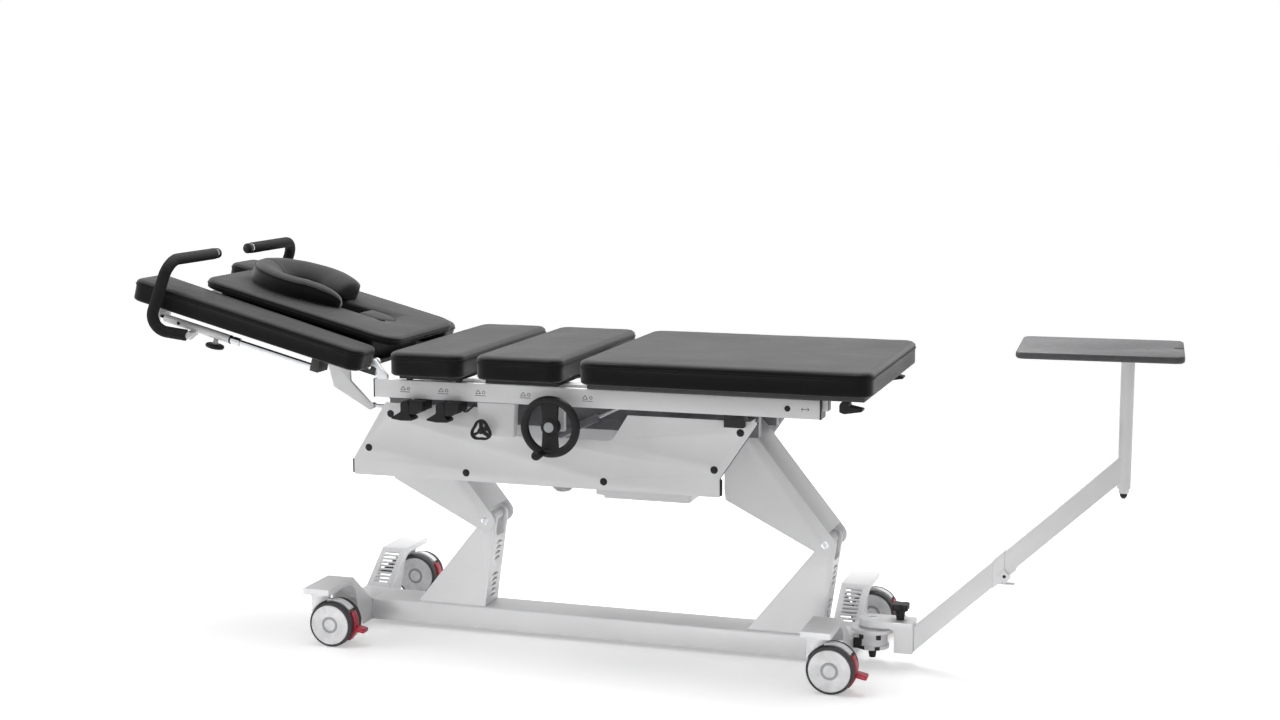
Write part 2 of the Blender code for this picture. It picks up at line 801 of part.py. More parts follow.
def stem_place_x(x_side):
    return x_side * WHEELBASE / 2 - CASTOR_TRAIL


def outrigger_head_side(x_side):
    return stem_place_x(x_side) - OUTRIGGER_HEAD_SIDE


def outrigger_foot_side(x_side):
    return stem_place_x(x_side) + OUTRIGGER_FOOT_SIDE


def outrigger(x_side, root):
    """A bent cross member with slotted ramps and a platform over each castor."""
    x0, x1 = outrigger_head_side(x_side), outrigger_foot_side(x_side)
    platform_base = PLATFORM_TOP - PLATFORM_THICK
    haunch = arc(OUTRIGGER_HAUNCH_Y, OUTRIGGER_KNEE_Z, OUTRIGGER_HAUNCH_Y - OUTRIGGER_KNEE_Y,
                 pi / 2, pi, 2 * CORNER_STEPS)
    rise = (platform_base - OUTRIGGER_KNEE_Z) / (OUTRIGGER_HAUNCH_Y - OUTRIGGER_KNEE_Y)
    haunch = [(y, OUTRIGGER_KNEE_Z + (z - OUTRIGGER_KNEE_Z) * rise) for y, z in haunch]
    half = [(PLATFORM_REACH, platform_base), (PLATFORM_REACH, PLATFORM_TOP), (RAMP_TOP_Y, PLATFORM_TOP),
            (RAMP_FOOT_Y, BEAM_TOP)]
    lower = haunch + [(OUTRIGGER_BASE_Y, BEAM_BASE)]
    outline = half + [(-y, z) for y, z in reversed(half)]
    outline += [(-y, z) for y, z in lower] + [(y, z) for y, z in reversed(lower)]
    body = prism(outline, "X", x0, x1)
    ramp = Vector((RAMP_TOP_Y - RAMP_FOOT_Y, PLATFORM_TOP - BEAM_TOP))
    hollow_half = [(PLATFORM_REACH - SHEET, platform_base - CUT_OVERRUN), (PLATFORM_REACH - SHEET, PLATFORM_TOP - SHEET),
                   (RAMP_TOP_Y, PLATFORM_TOP - SHEET), (RAMP_FOOT_Y, BEAM_TOP - SHEET)]
    hollow = hollow_half + [(-y, z) for y, z in reversed(hollow_half)]
    low_z = BEAM_BASE - CUT_OVERRUN
    hollow += [(-OUTRIGGER_HAUNCH_Y, platform_base - CUT_OVERRUN), (-OUTRIGGER_HAUNCH_Y, low_z),
               (OUTRIGGER_HAUNCH_Y, low_z), (OUTRIGGER_HAUNCH_Y, platform_base - CUT_OVERRUN)]
    cutters = [prism(hollow, "X", x0 + SHEET, x1 - SHEET)]
    length = ramp.length
    pitch = length * (1 - 2 * RAMP_SLOT_MARGIN_SHARE) / RAMP_SLOTS
    middle_x = (x0 + x1) / 2
    for side in (-1, 1):
        for index in range(RAMP_SLOTS):
            along = length * RAMP_SLOT_MARGIN_SHARE + pitch * (index + 0.5)
            spot = Vector((RAMP_FOOT_Y, BEAM_TOP)) + ramp.normalized() * along
            slot = box(middle_x - RAMP_SLOT_LENGTH / 2, middle_x + RAMP_SLOT_LENGTH / 2,
                       side * spot.x - pitch * RAMP_SLOT_FILL_SHARE / 2,
                       side * spot.x + pitch * RAMP_SLOT_FILL_SHARE / 2,
                       spot.y - 3 * SHEET, spot.y + 3 * SHEET)
            cutters.append(slot)
        stem_y = side * TRACK / 2
        cutters.append(cylinder("Z", stem_place_x(x_side), stem_y, STEM_RADIUS + RUNNING_GAP,
                                platform_base - CUT_OVERRUN, PLATFORM_TOP - SHEET))
    first = cut(body, cutters[0])
    body = cut(first, group(*cutters[1:]))
    bearings = [cut(cylinder("Z", stem_place_x(x_side), side * TRACK / 2, STEM_HOUSING_RADIUS - STEM_WAIST,
                             platform_base, PLATFORM_TOP - SHEET + WELD_OVERLAP),
                    cylinder("Z", stem_place_x(x_side), side * TRACK / 2, STEM_RADIUS + RUNNING_GAP,
                             platform_base - CUT_OVERRUN, PLATFORM_TOP - SHEET)) for side in (-1, 1)]
    body = fuse(body, *bearings)
    finish("outrigger_left" if x_side < 0 else "outrigger_right", body, white_paint, root)


def lower_pivot(x_side):
    return (POST_LEFT_PIVOT_X + (POST_SPACING if x_side > 0 else 0), LOWER_PIVOT_Z)


def upper_pivot(x_side):
    x, z = lower_pivot(x_side)
    return (x - LINK_LENGTH * cos(LINK_ANGLE), z + LINK_LENGTH * sin(LINK_ANGLE))


def post_outline(x_side):
    x, z = lower_pivot(x_side)
    crown = arc(x, z, POST_CROWN_RADIUS, radians(-8), radians(205), 3 * CORNER_STEPS)
    return [(x - POST_HEAD_REACH, BEAM_TOP + GAP), (x - POST_FOOT_REACH, BEAM_TOP + GAP)] + crown


def crescent(half_length, height, sag):
    """A curved slot outline, centred on the origin and bowed upwards."""
    steps = CORNER_STEPS + 1
    upper = [(half_length * (2 * i / steps - 1), height / 2 + sag * (1 - (2 * i / steps - 1) ** 2))
             for i in range(steps + 1)]
    lower = [(a, b - height * (1 - (a / half_length) ** 2) ** 0.5 - height / 8) for a, b in reversed(upper)]
    return upper + lower[1:-1]


def post(x_side, root):
    """A folded upright: two side plates and a slotted web on the foot side."""
    x, z = lower_pivot(x_side)
    outline = post_outline(x_side)
    body = prism(outline, "Y", -POST_HALF_WIDTH, POST_HALF_WIDTH)
    foot = Vector((x - POST_FOOT_REACH, BEAM_TOP))
    top = Vector(arc(x, z, POST_CROWN_RADIUS, radians(-8), pi, 1)[0])
    web = (top - foot).normalized()
    room = [(x - POST_HEAD_REACH - CUT_OVERRUN, BEAM_TOP - CUT_OVERRUN), (foot.x - SHEET, BEAM_TOP - CUT_OVERRUN),
            (top.x - SHEET, z + 2 * POST_CROWN_RADIUS), (x - POST_HEAD_REACH - CUT_OVERRUN, z + 2 * POST_CROWN_RADIUS)]
    inner = POST_HALF_WIDTH - SHEET
    body = cut(body, prism(room, "Y", -inner, inner))
    window_top = z + 2 * POST_CROWN_RADIUS
    window = prism(rounded(rectangle(-POST_WINDOW_HALF_WIDTH, POST_WINDOW_HALF_WIDTH,
                                     z - POST_WINDOW_DROP, window_top),
                           [POST_WINDOW_HALF_WIDTH / 2, POST_WINDOW_HALF_WIDTH / 2, 0, 0]),
                   "X", top.x - 5 * SHEET, top.x + 5 * SHEET)
    slots = []
    for start, count in ((POST_SLOTS_LOW_START, POST_SLOTS_LOW), (POST_SLOTS_HIGH_START, POST_SLOTS_HIGH)):
        for index in range(count):
            height = BEAM_TOP + start + POST_SLOT_PITCH * index
            spot = foot + web * ((height - foot.y) / web.y)
            shape = [(a, b + height) for a, b in crescent(POST_SLOT_HALF_LENGTH, POST_SLOT_HEIGHT, POST_SLOT_HEIGHT)]
            slots.append(prism(shape, "X", spot.x - 3 * SHEET, spot.x + 2 * SHEET))
    bore = cylinder("Y", x, z, PIVOT_TUBE_RADIUS + RUNNING_GAP, -POST_HALF_WIDTH - CUT_OVERRUN,
                    POST_HALF_WIDTH + CUT_OVERRUN)
    body = cut(body, window, bore)
    body = cut(body, group(*slots))
    finish("post_left" if x_side < 0 else "post_right", body, white_paint, root)


def link_outline(x, z):
    """Wedge-shaped side plate, round at the lower pivot (x, z)."""
    up = pi - LINK_UPPER_EDGE_ANGLE
    down = pi - LINK_LOWER_EDGE_ANGLE
    end = arc(x, z, LINK_END_RADIUS, down + pi / 2, up + 3 * pi / 2, 2 * CORNER_STEPS)
    top_x, top_z = x - LINK_LENGTH * cos(LINK_ANGLE), z + LINK_LENGTH * sin(LINK_ANGLE)
    head = arc(top_x, top_z, LINK_END_RADIUS, up - pi / 2, pi, 2 * CORNER_STEPS)
    low = (end[0][0] + LINK_LOWER_EDGE_LENGTH * cos(down), end[0][1] + LINK_LOWER_EDGE_LENGTH * sin(down))
    return end + head + [(top_x - LINK_END_RADIUS, low[1] + LINK_END_RADIUS), low]


def lift_link(x_side, parent):
    """Two side plates, the web along their upper edge and the tubes for both pivots."""
    x, z = lower_pivot(x_side)
    top_x, top_z = upper_pivot(x_side)
    outer, inner = LINK_HALF_WIDTH, LINK_HALF_WIDTH - LINK_SHEET
    body = prism(link_outline(x, z), "Y", -outer, outer)
    body = cut(body, prism([(a, b) for a, b in rectangle(top_x - 2 * LINK_END_RADIUS, x + 2 * LINK_END_RADIUS,
                                                         z - 2 * LINK_END_RADIUS, top_z + 2 * LINK_END_RADIUS)],
                           "Y", -inner, inner))
    along = Vector((-cos(LINK_UPPER_EDGE_ANGLE), sin(LINK_UPPER_EDGE_ANGLE)))
    out = Vector((sin(LINK_UPPER_EDGE_ANGLE), cos(LINK_UPPER_EDGE_ANGLE)))
    base = Vector((x, z))
    corners = [base + along * LINK_WEB_START + out * (LINK_END_RADIUS - SHEET),
               base + along * LINK_WEB_START + out * LINK_END_RADIUS,
               base + along * LINK_WEB_STOP + out * LINK_END_RADIUS,
               base + along * LINK_WEB_STOP + out * (LINK_END_RADIUS - SHEET)]
    web = prism([(p.x, p.y) for p in corners], "Y", -inner - WELD_OVERLAP, inner + WELD_OVERLAP)
    parts = [web]
    reach = outer - WELD_OVERLAP
    for px, pz in ((x, z), (top_x, top_z)):
        parts.append(cylinder("Y", px, pz, PIVOT_TUBE_RADIUS, -reach, reach))
        for side in (-1, 1):
            ends = sorted((side * reach, side * (outer + PIVOT_BOLT_HEIGHT)))
            parts.append(cylinder("Y", px, pz, PIVOT_BOLT_RADIUS, *ends, SMALL_SIDES))
    body = fuse(body, *parts)
    return finish("link_left" if x_side < 0 else "link_right", body, white_paint, parent, (x, 0, z))


# Lift frame and what it carries


def both_sides(maker):
    """The solid made for the near side, with its mirror image for the far side."""
    near = maker()
    return [near, mirrored(near)]


def strut_seats():
    """The lug under the near bar and the pin on which the tilt strut turns."""
    half = STRUT_RADIUS
    lug = box(STRUT_BASE_X - half, STRUT_BASE_X + half, -FRAME_BAR_OUTER_Y + WELD_OVERLAP / 2,
              -FRAME_BAR_INNER_Y - WELD_OVERLAP / 2, STRUT_BASE_Z - half, FRAME_BAR_BASE + WELD_OVERLAP)
    pin = cylinder("Y", STRUT_BASE_X, STRUT_BASE_Z, STRUT_ROD_RADIUS, -STRUT_Y - STRUT_RADIUS,
                   -FRAME_BAR_OUTER_Y + 2 * WELD_OVERLAP, SMALL_SIDES)
    return [lug, pin]


def lift_frame(parent, origin):
    bars = both_sides(lambda: box(FRAME_HEAD_END, FRAME_FOOT_END, -FRAME_BAR_OUTER_Y, -FRAME_BAR_INNER_Y,
                                  FRAME_BAR_BASE, FRAME_TOP))
    body = bars[0]
    parts = [bars[1]]
    for x_side in (-1, 1):
        px, pz = upper_pivot(x_side)
        bridge_base = pz + PIVOT_BRIDGE_RISE
        parts.append(box(px - PIVOT_BRIDGE_BACK, px + PIVOT_BRIDGE_FRONT, -FRAME_BAR_INNER_Y - WELD_OVERLAP,
                         FRAME_BAR_INNER_Y + WELD_OVERLAP, bridge_base, FRAME_TOP - WELD_OVERLAP))
        for side in (-1, 1):
            low, high = sorted((side * PIVOT_LUG_INNER_Y, side * (PIVOT_LUG_INNER_Y + PIVOT_LUG_THICK)))
            eye = arc(px, pz, PIVOT_LUG_RADIUS, pi, 2 * pi, 2 * CORNER_STEPS)
            outline = eye + [(px + PIVOT_BRIDGE_FRONT, bridge_base + WELD_OVERLAP),
                             (px - PIVOT_LUG_RADIUS, bridge_base + WELD_OVERLAP)]
            lug = prism(outline, "Y", low, high)
            parts.append(cut(lug, cylinder("Y", px, pz, PIVOT_TUBE_RADIUS + RUNNING_GAP,
                                           low - CUT_OVERRUN, high + CUT_OVERRUN)))
    reach = PANEL_OUTER_Y - PANEL_SHEET - GAP
    for middle, top in ((HEAD_BAR_X, FRAME_BAR_BASE + OUTRIG_BAR_HEIGHT), (FOOT_BAR_X, FOOT_BAR_TOP)):
        for side in (-1, 1):
            low, high = sorted((side * (FRAME_BAR_OUTER_Y - WELD_OVERLAP), side * reach))
            parts.append(box(middle - OUTRIG_BAR_WIDTH / 2, middle + OUTRIG_BAR_WIDTH / 2, low, high,
                             top - OUTRIG_BAR_HEIGHT, top))
    for side in (-1, 1):
        low, high = sorted((side * (FRAME_BAR_OUTER_Y - WELD_OVERLAP), side * (TILT_LUG_Y + TILT_LUG_THICK + GAP)))
        parts.append(cylinder("Y", CROSS_PLACES[0], TILT_AXIS_Z, TILT_PIN_RADIUS, low, high, SMALL_SIDES))
    parts += stop_blocks()
    parts += strut_seats()
    finish("lift_frame", fuse(body, *parts), white_paint, parent, origin)


def panel_outline():
    return [(PANEL_HEAD_X, PANEL_BASE), (PANEL_FOOT_X, PANEL_BASE), (PANEL_FOOT_X, PANEL_FOOT_KNEE),
            (PANEL_TOP_FOOT_X, PANEL_TOP), (PANEL_TOP_HEAD_X, PANEL_TOP), (PANEL_HEAD_X, PANEL_HEAD_KNEE)]


def panel_screw_places():
    """Screw centres, set in from the panel's corners and along its lower edge."""
    quarter = (PANEL_FOOT_X - PANEL_HEAD_X) / 3
    return [(PANEL_HEAD_X + 1.5 * SCREW_INSET, PANEL_HEAD_KNEE + SCREW_INSET),
            (PANEL_TOP_HEAD_X + SCREW_INSET / 2, PANEL_TOP - SCREW_INSET),
            (PANEL_HEAD_X + quarter - SCREW_INSET / 2, PANEL_BASE + SCREW_INSET * 0.75),
            (PANEL_HEAD_X + 2 * quarter + SCREW_INSET, PANEL_BASE + SCREW_INSET * 0.75),
            (PANEL_FOOT_X - SCREW_INSET / 2, PANEL_FOOT_KNEE + SCREW_INSET * 0.75),
            (PANEL_TOP_FOOT_X - 1.6 * SCREW_INSET, PANEL_TOP - SCREW_INSET)]


def side_panel(y_side, parent, origin):
    """A flat cover plate with folded lower and end flanges and a window by the handwheel."""
    outline = rounded(panel_outline(), PANEL_CORNER)
    plate = prism(outline, "Y", -PANEL_OUTER_Y, -PANEL_OUTER_Y + PANEL_FLANGE)
    inner = [(PANEL_HEAD_X + SHEET, PANEL_BASE + SHEET), (PANEL_FOOT_X - SHEET, PANEL_BASE + SHEET),
             (PANEL_FOOT_X - SHEET, PANEL_FOOT_KNEE), (PANEL_TOP_FOOT_X - SHEET, PANEL_TOP + CUT_OVERRUN),
             (PANEL_TOP_HEAD_X + SHEET, PANEL_TOP + CUT_OVERRUN), (PANEL_HEAD_X + SHEET, PANEL_HEAD_KNEE)]
    hollow = prism(inner, "Y", -PANEL_OUTER_Y + PANEL_SHEET, -PANEL_OUTER_Y + 2 * PANEL_FLANGE)
    window = [(WINDOW_HEAD_X, PANEL_TOP + CUT_OVERRUN), (WINDOW_HEAD_X, WINDOW_BASE),
              (WINDOW_FOOT_X, WINDOW_BASE), (WINDOW_FOOT_TOP_X, PANEL_TOP + CUT_OVERRUN)]
    window = prism(rounded(window, [0, SHEET, WINDOW_CORNER, 0]), "Y", -PANEL_OUTER_Y - CUT_OVERRUN,
                   -PANEL_OUTER_Y + 2 * PANEL_FLANGE)
    half = STOP_BLOCK_LENGTH / 2 + RUNNING_GAP
    notch = box(FOOT_BAR_X - half, FOOT_BAR_X + half, -PANEL_OUTER_Y - CUT_OVERRUN, -PANEL_OUTER_Y + 2 * PANEL_FLANGE,
                FOOT_BAR_TOP - WELD_OVERLAP - RUNNING_GAP, PANEL_TOP + CUT_OVERRUN)
    plate = fuse(cut(plate, hollow, window, notch), *panel_trim())
    if y_side > 0:
        near = plate
        plate = mirrored(near)
        bpy.data.objects.remove(near, do_unlink=True)
    finish("side_panel_near" if y_side < 0 else "side_panel_far", plate, white_paint, parent, origin)


def panel_trim():
    """Screw caps on the panel's face and the seals on its end edges."""
    face = PANEL_OUTER_Y - WELD_OVERLAP
    trim = []
    for x, z in panel_screw_places():
        trim.append(lathe([(0, -face), (SCREW_RADIUS, -face), (SCREW_RADIUS, -PANEL_OUTER_Y - SCREW_HEIGHT / 2),
                           (SCREW_RADIUS - SCREW_HEIGHT / 2, -PANEL_OUTER_Y - SCREW_HEIGHT),
                           (0, -PANEL_OUTER_Y - SCREW_HEIGHT)], "Y", x, z, SMALL_SIDES))
    for x0, x1, top in ((PANEL_HEAD_X - SEAL_WIDTH, PANEL_HEAD_X + WELD_OVERLAP, PANEL_HEAD_KNEE),
                        (PANEL_FOOT_X - WELD_OVERLAP, PANEL_FOOT_X + SEAL_WIDTH, PANEL_FOOT_KNEE)):
        trim.append(box(x0, x1, -PANEL_OUTER_Y + WELD_OVERLAP / 2, -PANEL_OUTER_Y + SEAL_DEPTH,
                        PANEL_BASE + PANEL_CORNER, top - PANEL_CORNER))
    return trim


def stop_blocks():
    """The rubber blocks on the foot bar, on which the rails rest."""
    half = STOP_BLOCK_LENGTH / 2
    return both_sides(lambda: box(FOOT_BAR_X - half, FOOT_BAR_X + half, -STOP_BLOCK_OUTER_Y, -STOP_BLOCK_INNER_Y,
                                  FOOT_BAR_TOP - WELD_OVERLAP, RAIL_BASE - GAP))


def control_box(parent, origin):
    """The drive's control unit, hung between the frame bars by two straps."""
    shell = box(CONTROL_BOX_HEAD_X, CONTROL_BOX_FOOT_X, -CONTROL_BOX_HALF_WIDTH, CONTROL_BOX_HALF_WIDTH,
                CONTROL_BOX_BASE, CONTROL_BOX_TOP)
    soften(shell, SHEET, 1)
    straps = []
    length = CONTROL_BOX_FOOT_X - CONTROL_BOX_HEAD_X
    for share in (0.2, 0.8):
        middle = CONTROL_BOX_HEAD_X + length * share
        for side in (-1, 1):
            low, high = sorted((side * (CONTROL_BOX_HALF_WIDTH - WELD_OVERLAP), side * (FRAME_BAR_INNER_Y + SHEET)))
            straps.append(box(middle - CONTROL_STRAP / 2, middle + CONTROL_STRAP / 2, low, high,
                              CONTROL_BOX_TOP - CONTROL_STRAP, FRAME_BAR_BASE - GAP))
    step = 1.6 * SHEET
    cap = box(CONTROL_BOX_HEAD_X - CONTROL_CAP_LENGTH, CONTROL_BOX_HEAD_X + step,
              -CONTROL_BOX_HALF_WIDTH + step, CONTROL_BOX_HALF_WIDTH - step,
              CONTROL_BOX_BASE + step, CONTROL_BOX_TOP - step)
    finish("control_box", fuse(shell, soften(cap, SHEET, 1), *straps), white_paint, parent, origin)


def lift_motor(parent, origin):
    """The lift drive: a domed motor can hung from a bridge between the frame bars."""
    can = lathe([(0, MOTOR_BASE), (MOTOR_RADIUS - MOTOR_DOME, MOTOR_BASE), (MOTOR_RADIUS, MOTOR_BASE + MOTOR_DOME),
                 (MOTOR_RADIUS, MOTOR_TOP), (0, MOTOR_TOP)], "Z", MOTOR_X, 0, ROUND_SIDES)
    bridge = box(MOTOR_X - OUTRIG_BAR_WIDTH / 2, MOTOR_X + OUTRIG_BAR_WIDTH / 2, -FRAME_BAR_OUTER_Y, FRAME_BAR_OUTER_Y,
                 MOTOR_TOP - SHEET, FRAME_BAR_BASE - GAP)
    finish("lift_motor", fuse(can, bridge), lambda n: material(n, (0.55, 0.56, 0.58), 0.5), parent, origin)


# Top frame


def rail_outline():
    outer, wall, ledge = RAIL_OUTER_Y, RAIL_OUTER_Y - RAIL_WALL_WIDTH, RAIL_LEDGE_INNER_Y
    points = [(-outer, RAIL_BASE), (-ledge, RAIL_BASE), (-ledge, RAIL_BASE + RAIL_LEDGE_HEIGHT),
              (-wall, RAIL_BASE + RAIL_LEDGE_HEIGHT), (-wall, RAIL_TOP), (-outer, RAIL_TOP)]
    return rounded(points, [RAIL_FOLD, 0, 0, 0, RAIL_FOLD, RAIL_FOLD], 2)


def top_frame(parent, origin):
    """The welded top frame: outer rails, end caps, cross members, hinge brackets and fixed bearings."""
    outline = rail_outline()
    parts = both_sides(lambda: prism(outline, "X", RAIL_HEAD_END - RAIL_CAP, RAIL_FOOT_END + RAIL_CAP))
    reach = RAIL_LEDGE_INNER_Y + WELD_OVERLAP
    top = RAIL_BASE + CROSS_HEIGHT
    step = RAIL_FOLD / 2
    parts += [box(x - CROSS_WIDTH / 2, x + CROSS_WIDTH / 2, -reach, reach, RAIL_BASE + step, top)
              for x in CROSS_PLACES]
    for side in (-1, 1):
        low, high = sorted((side * TILT_LUG_Y, side * (TILT_LUG_Y + TILT_LUG_THICK)))
        eye = arc(CROSS_PLACES[0], TILT_AXIS_Z, TILT_LUG_RADIUS, pi, 2 * pi, 2 * CORNER_STEPS)
        outline = eye + [(CROSS_PLACES[0] + TILT_LUG_RADIUS, RAIL_BASE + 2 * step),
                         (CROSS_PLACES[0] - TILT_LUG_RADIUS, RAIL_BASE + 2 * step)]
        lug = prism(outline, "Y", low, high)
        parts.append(cut(lug, cylinder("Y", CROSS_PLACES[0], TILT_AXIS_Z, TILT_PIN_RADIUS + RUNNING_GAP,
                                       low - CUT_OVERRUN, high + CUT_OVERRUN)))
    parts.append(box(CROSS_PLACES[1] - SHEET, CROSS_PLACES[1] + SHEET, -SPRING_Y - SPRING_EYE_THICK / 2,
                     -SPRING_Y + SPRING_EYE_THICK / 2, SPRING_Z - SPRING_RADIUS, RAIL_BASE + 2 * step))
    ear = STRUT_Y + STRUT_RADIUS + RUNNING_GAP
    parts.append(box(STRUT_HEAD_X - STRUT_RADIUS, STRUT_HEAD_X + STRUT_RADIUS, -ear - STRUT_RADIUS / 2, -ear,
                     STRUT_HEAD_Z - STRUT_RADIUS / 2, RAIL_BASE + 2 * step))
    parts += [thoracic_board(), handwheel_bearing()]
    parts += head_hinges()
    finish("top_frame", fuse(parts[0], *parts[1:]), white_paint, parent, origin)


def thoracic_board():
    """The board of the upper back cushion, on feet that stand on the rails."""
    x0 = THORACIC_HEAD_X + CUSHION_BOARD_INSET / 2
    x1 = THORACIC_HEAD_X + THORACIC_LENGTH - CUSHION_BOARD_INSET / 2
    half = CUSHION_HALF_WIDTH - CUSHION_BOARD_INSET
    base = CUSHION_BASE - GAP - CUSHION_BOARD_THICK
    board = box(x0, x1, -half, half, base, CUSHION_BASE - GAP)
    feet = []
    middle_y = RAIL_OUTER_Y - RAIL_WALL_WIDTH / 2
    for x in (x0 + BOARD_FOOT_SIZE, x1 - BOARD_FOOT_SIZE):
        for side in (-1, 1):
            feet.append(box(x - BOARD_FOOT_SIZE / 2, x + BOARD_FOOT_SIZE / 2, side * middle_y - BOARD_FOOT_SIZE / 2,
                            side * middle_y + BOARD_FOOT_SIZE / 2, RAIL_TOP - WELD_OVERLAP, base + WELD_OVERLAP))
    return fuse(board, *feet)


def ring_tube(axis, a, b, along, major, minor, sides, tube_sides):
    """A closed torus round an axis."""
    shape = bmesh.new()
    rows = []
    for i in range(sides):
        turn = 2 * pi * i / sides
        row = []
        for k in range(tube_sides):
            lift = 2 * pi * k / tube_sides
            radius = major + minor * cos(lift)
            row.append(shape.verts.new(point_on(axis, a + radius * cos(turn), b + radius * sin(turn),
                                                along + minor * sin(lift))))
        rows.append(row)
    for i, row in enumerate(rows):
        other = rows[(i + 1) % sides]
        for k in range(tube_sides):
            j = (k + 1) % tube_sides
            shape.faces.new((row[k], row[j], other[j], other[k]))
    return raw(shape)


# Controls on the near rail


def gear_housing(parent, origin):
    """The folded housing of the knob's clamp, tapering downwards under the rail."""
    outline = [(GEAR_HEAD_X, RAIL_BASE - GAP), (GEAR_HEAD_X + GEAR_DRAFT, GEAR_BASE),
               (GEAR_FOOT_X - GEAR_DRAFT, GEAR_BASE), (GEAR_FOOT_X, RAIL_BASE - GAP)]
    housing = prism(rounded(outline, [0, GEAR_DRAFT, GEAR_DRAFT, 0]), "Y", -GEAR_OUTER_Y, -CONTROL_INNER_Y)
    finish("gear_housing", housing, white_paint, parent, origin)


def handwheel_bearing():
    """The plate under the rail in which the handwheel's shaft turns."""
    half = BEARING_WIDTH / 2
    bearing = box(HANDWHEEL_X - half, HANDWHEEL_X + half, -CONTROL_INNER_Y - BEARING_DEPTH, -CONTROL_INNER_Y,
                  HANDWHEEL_Z - half, RAIL_BASE + WELD_OVERLAP)
    return cut(bearing, cylinder("Y", HANDWHEEL_X, HANDWHEEL_Z, HANDWHEEL_SHAFT_RADIUS + RUNNING_GAP,
                                 -HANDWHEEL_Y, -CONTROL_INNER_Y + CUT_OVERRUN))


def crank_place():
    reach = HANDWHEEL_RADIUS - HANDWHEEL_RIM
    return HANDWHEEL_X + reach * cos(CRANK_ANGLE), HANDWHEEL_Z + reach * sin(CRANK_ANGLE)


def handwheel(parent):
    """Rim, broad two-armed band, hub and shaft, with the pin of the crank handle."""
    middle = (HANDWHEEL_X, HANDWHEEL_Z)
    reach = HANDWHEEL_RADIUS - HANDWHEEL_RIM
    rim = ring_tube("Y", *middle, -HANDWHEEL_Y, reach, HANDWHEEL_RIM, WHEEL_SIDES + 4, 8)
    half = HANDWHEEL_BAND / 2
    band = box(middle[0] - half, middle[0] + half, -HANDWHEEL_Y - HANDWHEEL_BAND_THICK / 2,
               -HANDWHEEL_Y + HANDWHEEL_BAND_THICK / 2, middle[1] - reach, middle[1] + reach)
    front = -HANDWHEEL_Y - HANDWHEEL_BAND_THICK
    hub = lathe([(0, front - DISC_RECESS), (HANDWHEEL_CAP_RADIUS, front - DISC_RECESS),
                 (HANDWHEEL_CAP_RADIUS + DISC_RECESS, front), (HANDWHEEL_HUB_RADIUS, -HANDWHEEL_Y),
                 (HANDWHEEL_HUB_RADIUS, -HANDWHEEL_Y + HANDWHEEL_BAND_THICK),
                 (HANDWHEEL_SHAFT_RADIUS, -HANDWHEEL_Y + HANDWHEEL_BAND_THICK + SHEET),
                 (HANDWHEEL_SHAFT_RADIUS, -CONTROL_INNER_Y), (0, -CONTROL_INNER_Y)], "Y", *middle)
    x, z = crank_place()
    pin = cylinder("Y", x, z, CRANK_PIN_RADIUS, -HANDWHEEL_Y - HANDWHEEL_RIM - CRANK_LENGTH, -HANDWHEEL_Y, SMALL_SIDES)
    wheel = fuse(rim, band, hub, pin)
    finish("handwheel", wheel, black_plastic, parent, (HANDWHEEL_X, -HANDWHEEL_Y, HANDWHEEL_Z))
    back = -HANDWHEEL_Y - HANDWHEEL_RIM - GAP
    front = back - CRANK_LENGTH
    handle = lathe([(0, front), (0.7 * CRANK_RADIUS, front), (CRANK_RADIUS, front + CRANK_RADIUS / 2),
                    (CRANK_RADIUS, front + CRANK_LENGTH / 2), (0.8 * CRANK_RADIUS, back - CRANK_RADIUS / 4),
                    (0.7 * CRANK_RADIUS, back), (0, back)], "Y", x, z, SMALL_SIDES + 2)
    bore = cylinder("Y", x, z, CRANK_PIN_RADIUS + RUNNING_GAP, front - CUT_OVERRUN, back + CUT_OVERRUN, SMALL_SIDES)
    finish("crank_handle", cut(handle, bore), black_plastic, parent, (x, -HANDWHEEL_Y, z))


def lock_knob(parent):
    """A three-lobed open knob on a stem that ends at the gear housing."""
    def lobed(inset, steps):
        points = []
        for i in range(steps):
            turn = 2 * pi * i / steps
            radius = KNOB_RADIUS - inset + KNOB_LOBE * cos(3 * (turn - pi / 2))
            points.append((KNOB_X + radius * cos(turn), KNOB_Z + radius * sin(turn)))
        return points
    low, high = -KNOB_Y - KNOB_THICK / 2, -KNOB_Y + KNOB_THICK / 2
    knob = prism(lobed(0, 30), "Y", low, high)
    knob = cut(knob, prism(lobed(KNOB_RIM, 18), "Y", low - CUT_OVERRUN, high + CUT_OVERRUN))
    spokes = []
    for k in range(3):
        turn = pi / 2 + 2 * pi * k / 3
        reach = KNOB_RADIUS + KNOB_LOBE - KNOB_RIM / 2
        side = Vector((-sin(turn), cos(turn))) * (KNOB_SPOKE / 2)
        tip = Vector((KNOB_X + reach * cos(turn), KNOB_Z + reach * sin(turn)))
        hub = Vector((KNOB_X, KNOB_Z))
        outline = [tuple(hub - side), tuple(tip - side), tuple(tip + side), tuple(hub + side)]
        spokes.append(prism(outline, "Y", low + WELD_OVERLAP, high - WELD_OVERLAP))
    hub = cylinder("Y", KNOB_X, KNOB_Z, 1.2 * KNOB_STEM_RADIUS, low + WELD_OVERLAP / 2, high, SMALL_SIDES)
    stem = cylinder("Y", KNOB_X, KNOB_Z, KNOB_STEM_RADIUS, high - WELD_OVERLAP, -GEAR_OUTER_Y - GAP, SMALL_SIDES)
    finish("lock_knob", fuse(knob, *spokes, hub, stem), black_plastic, parent, (KNOB_X, -KNOB_Y, KNOB_Z))


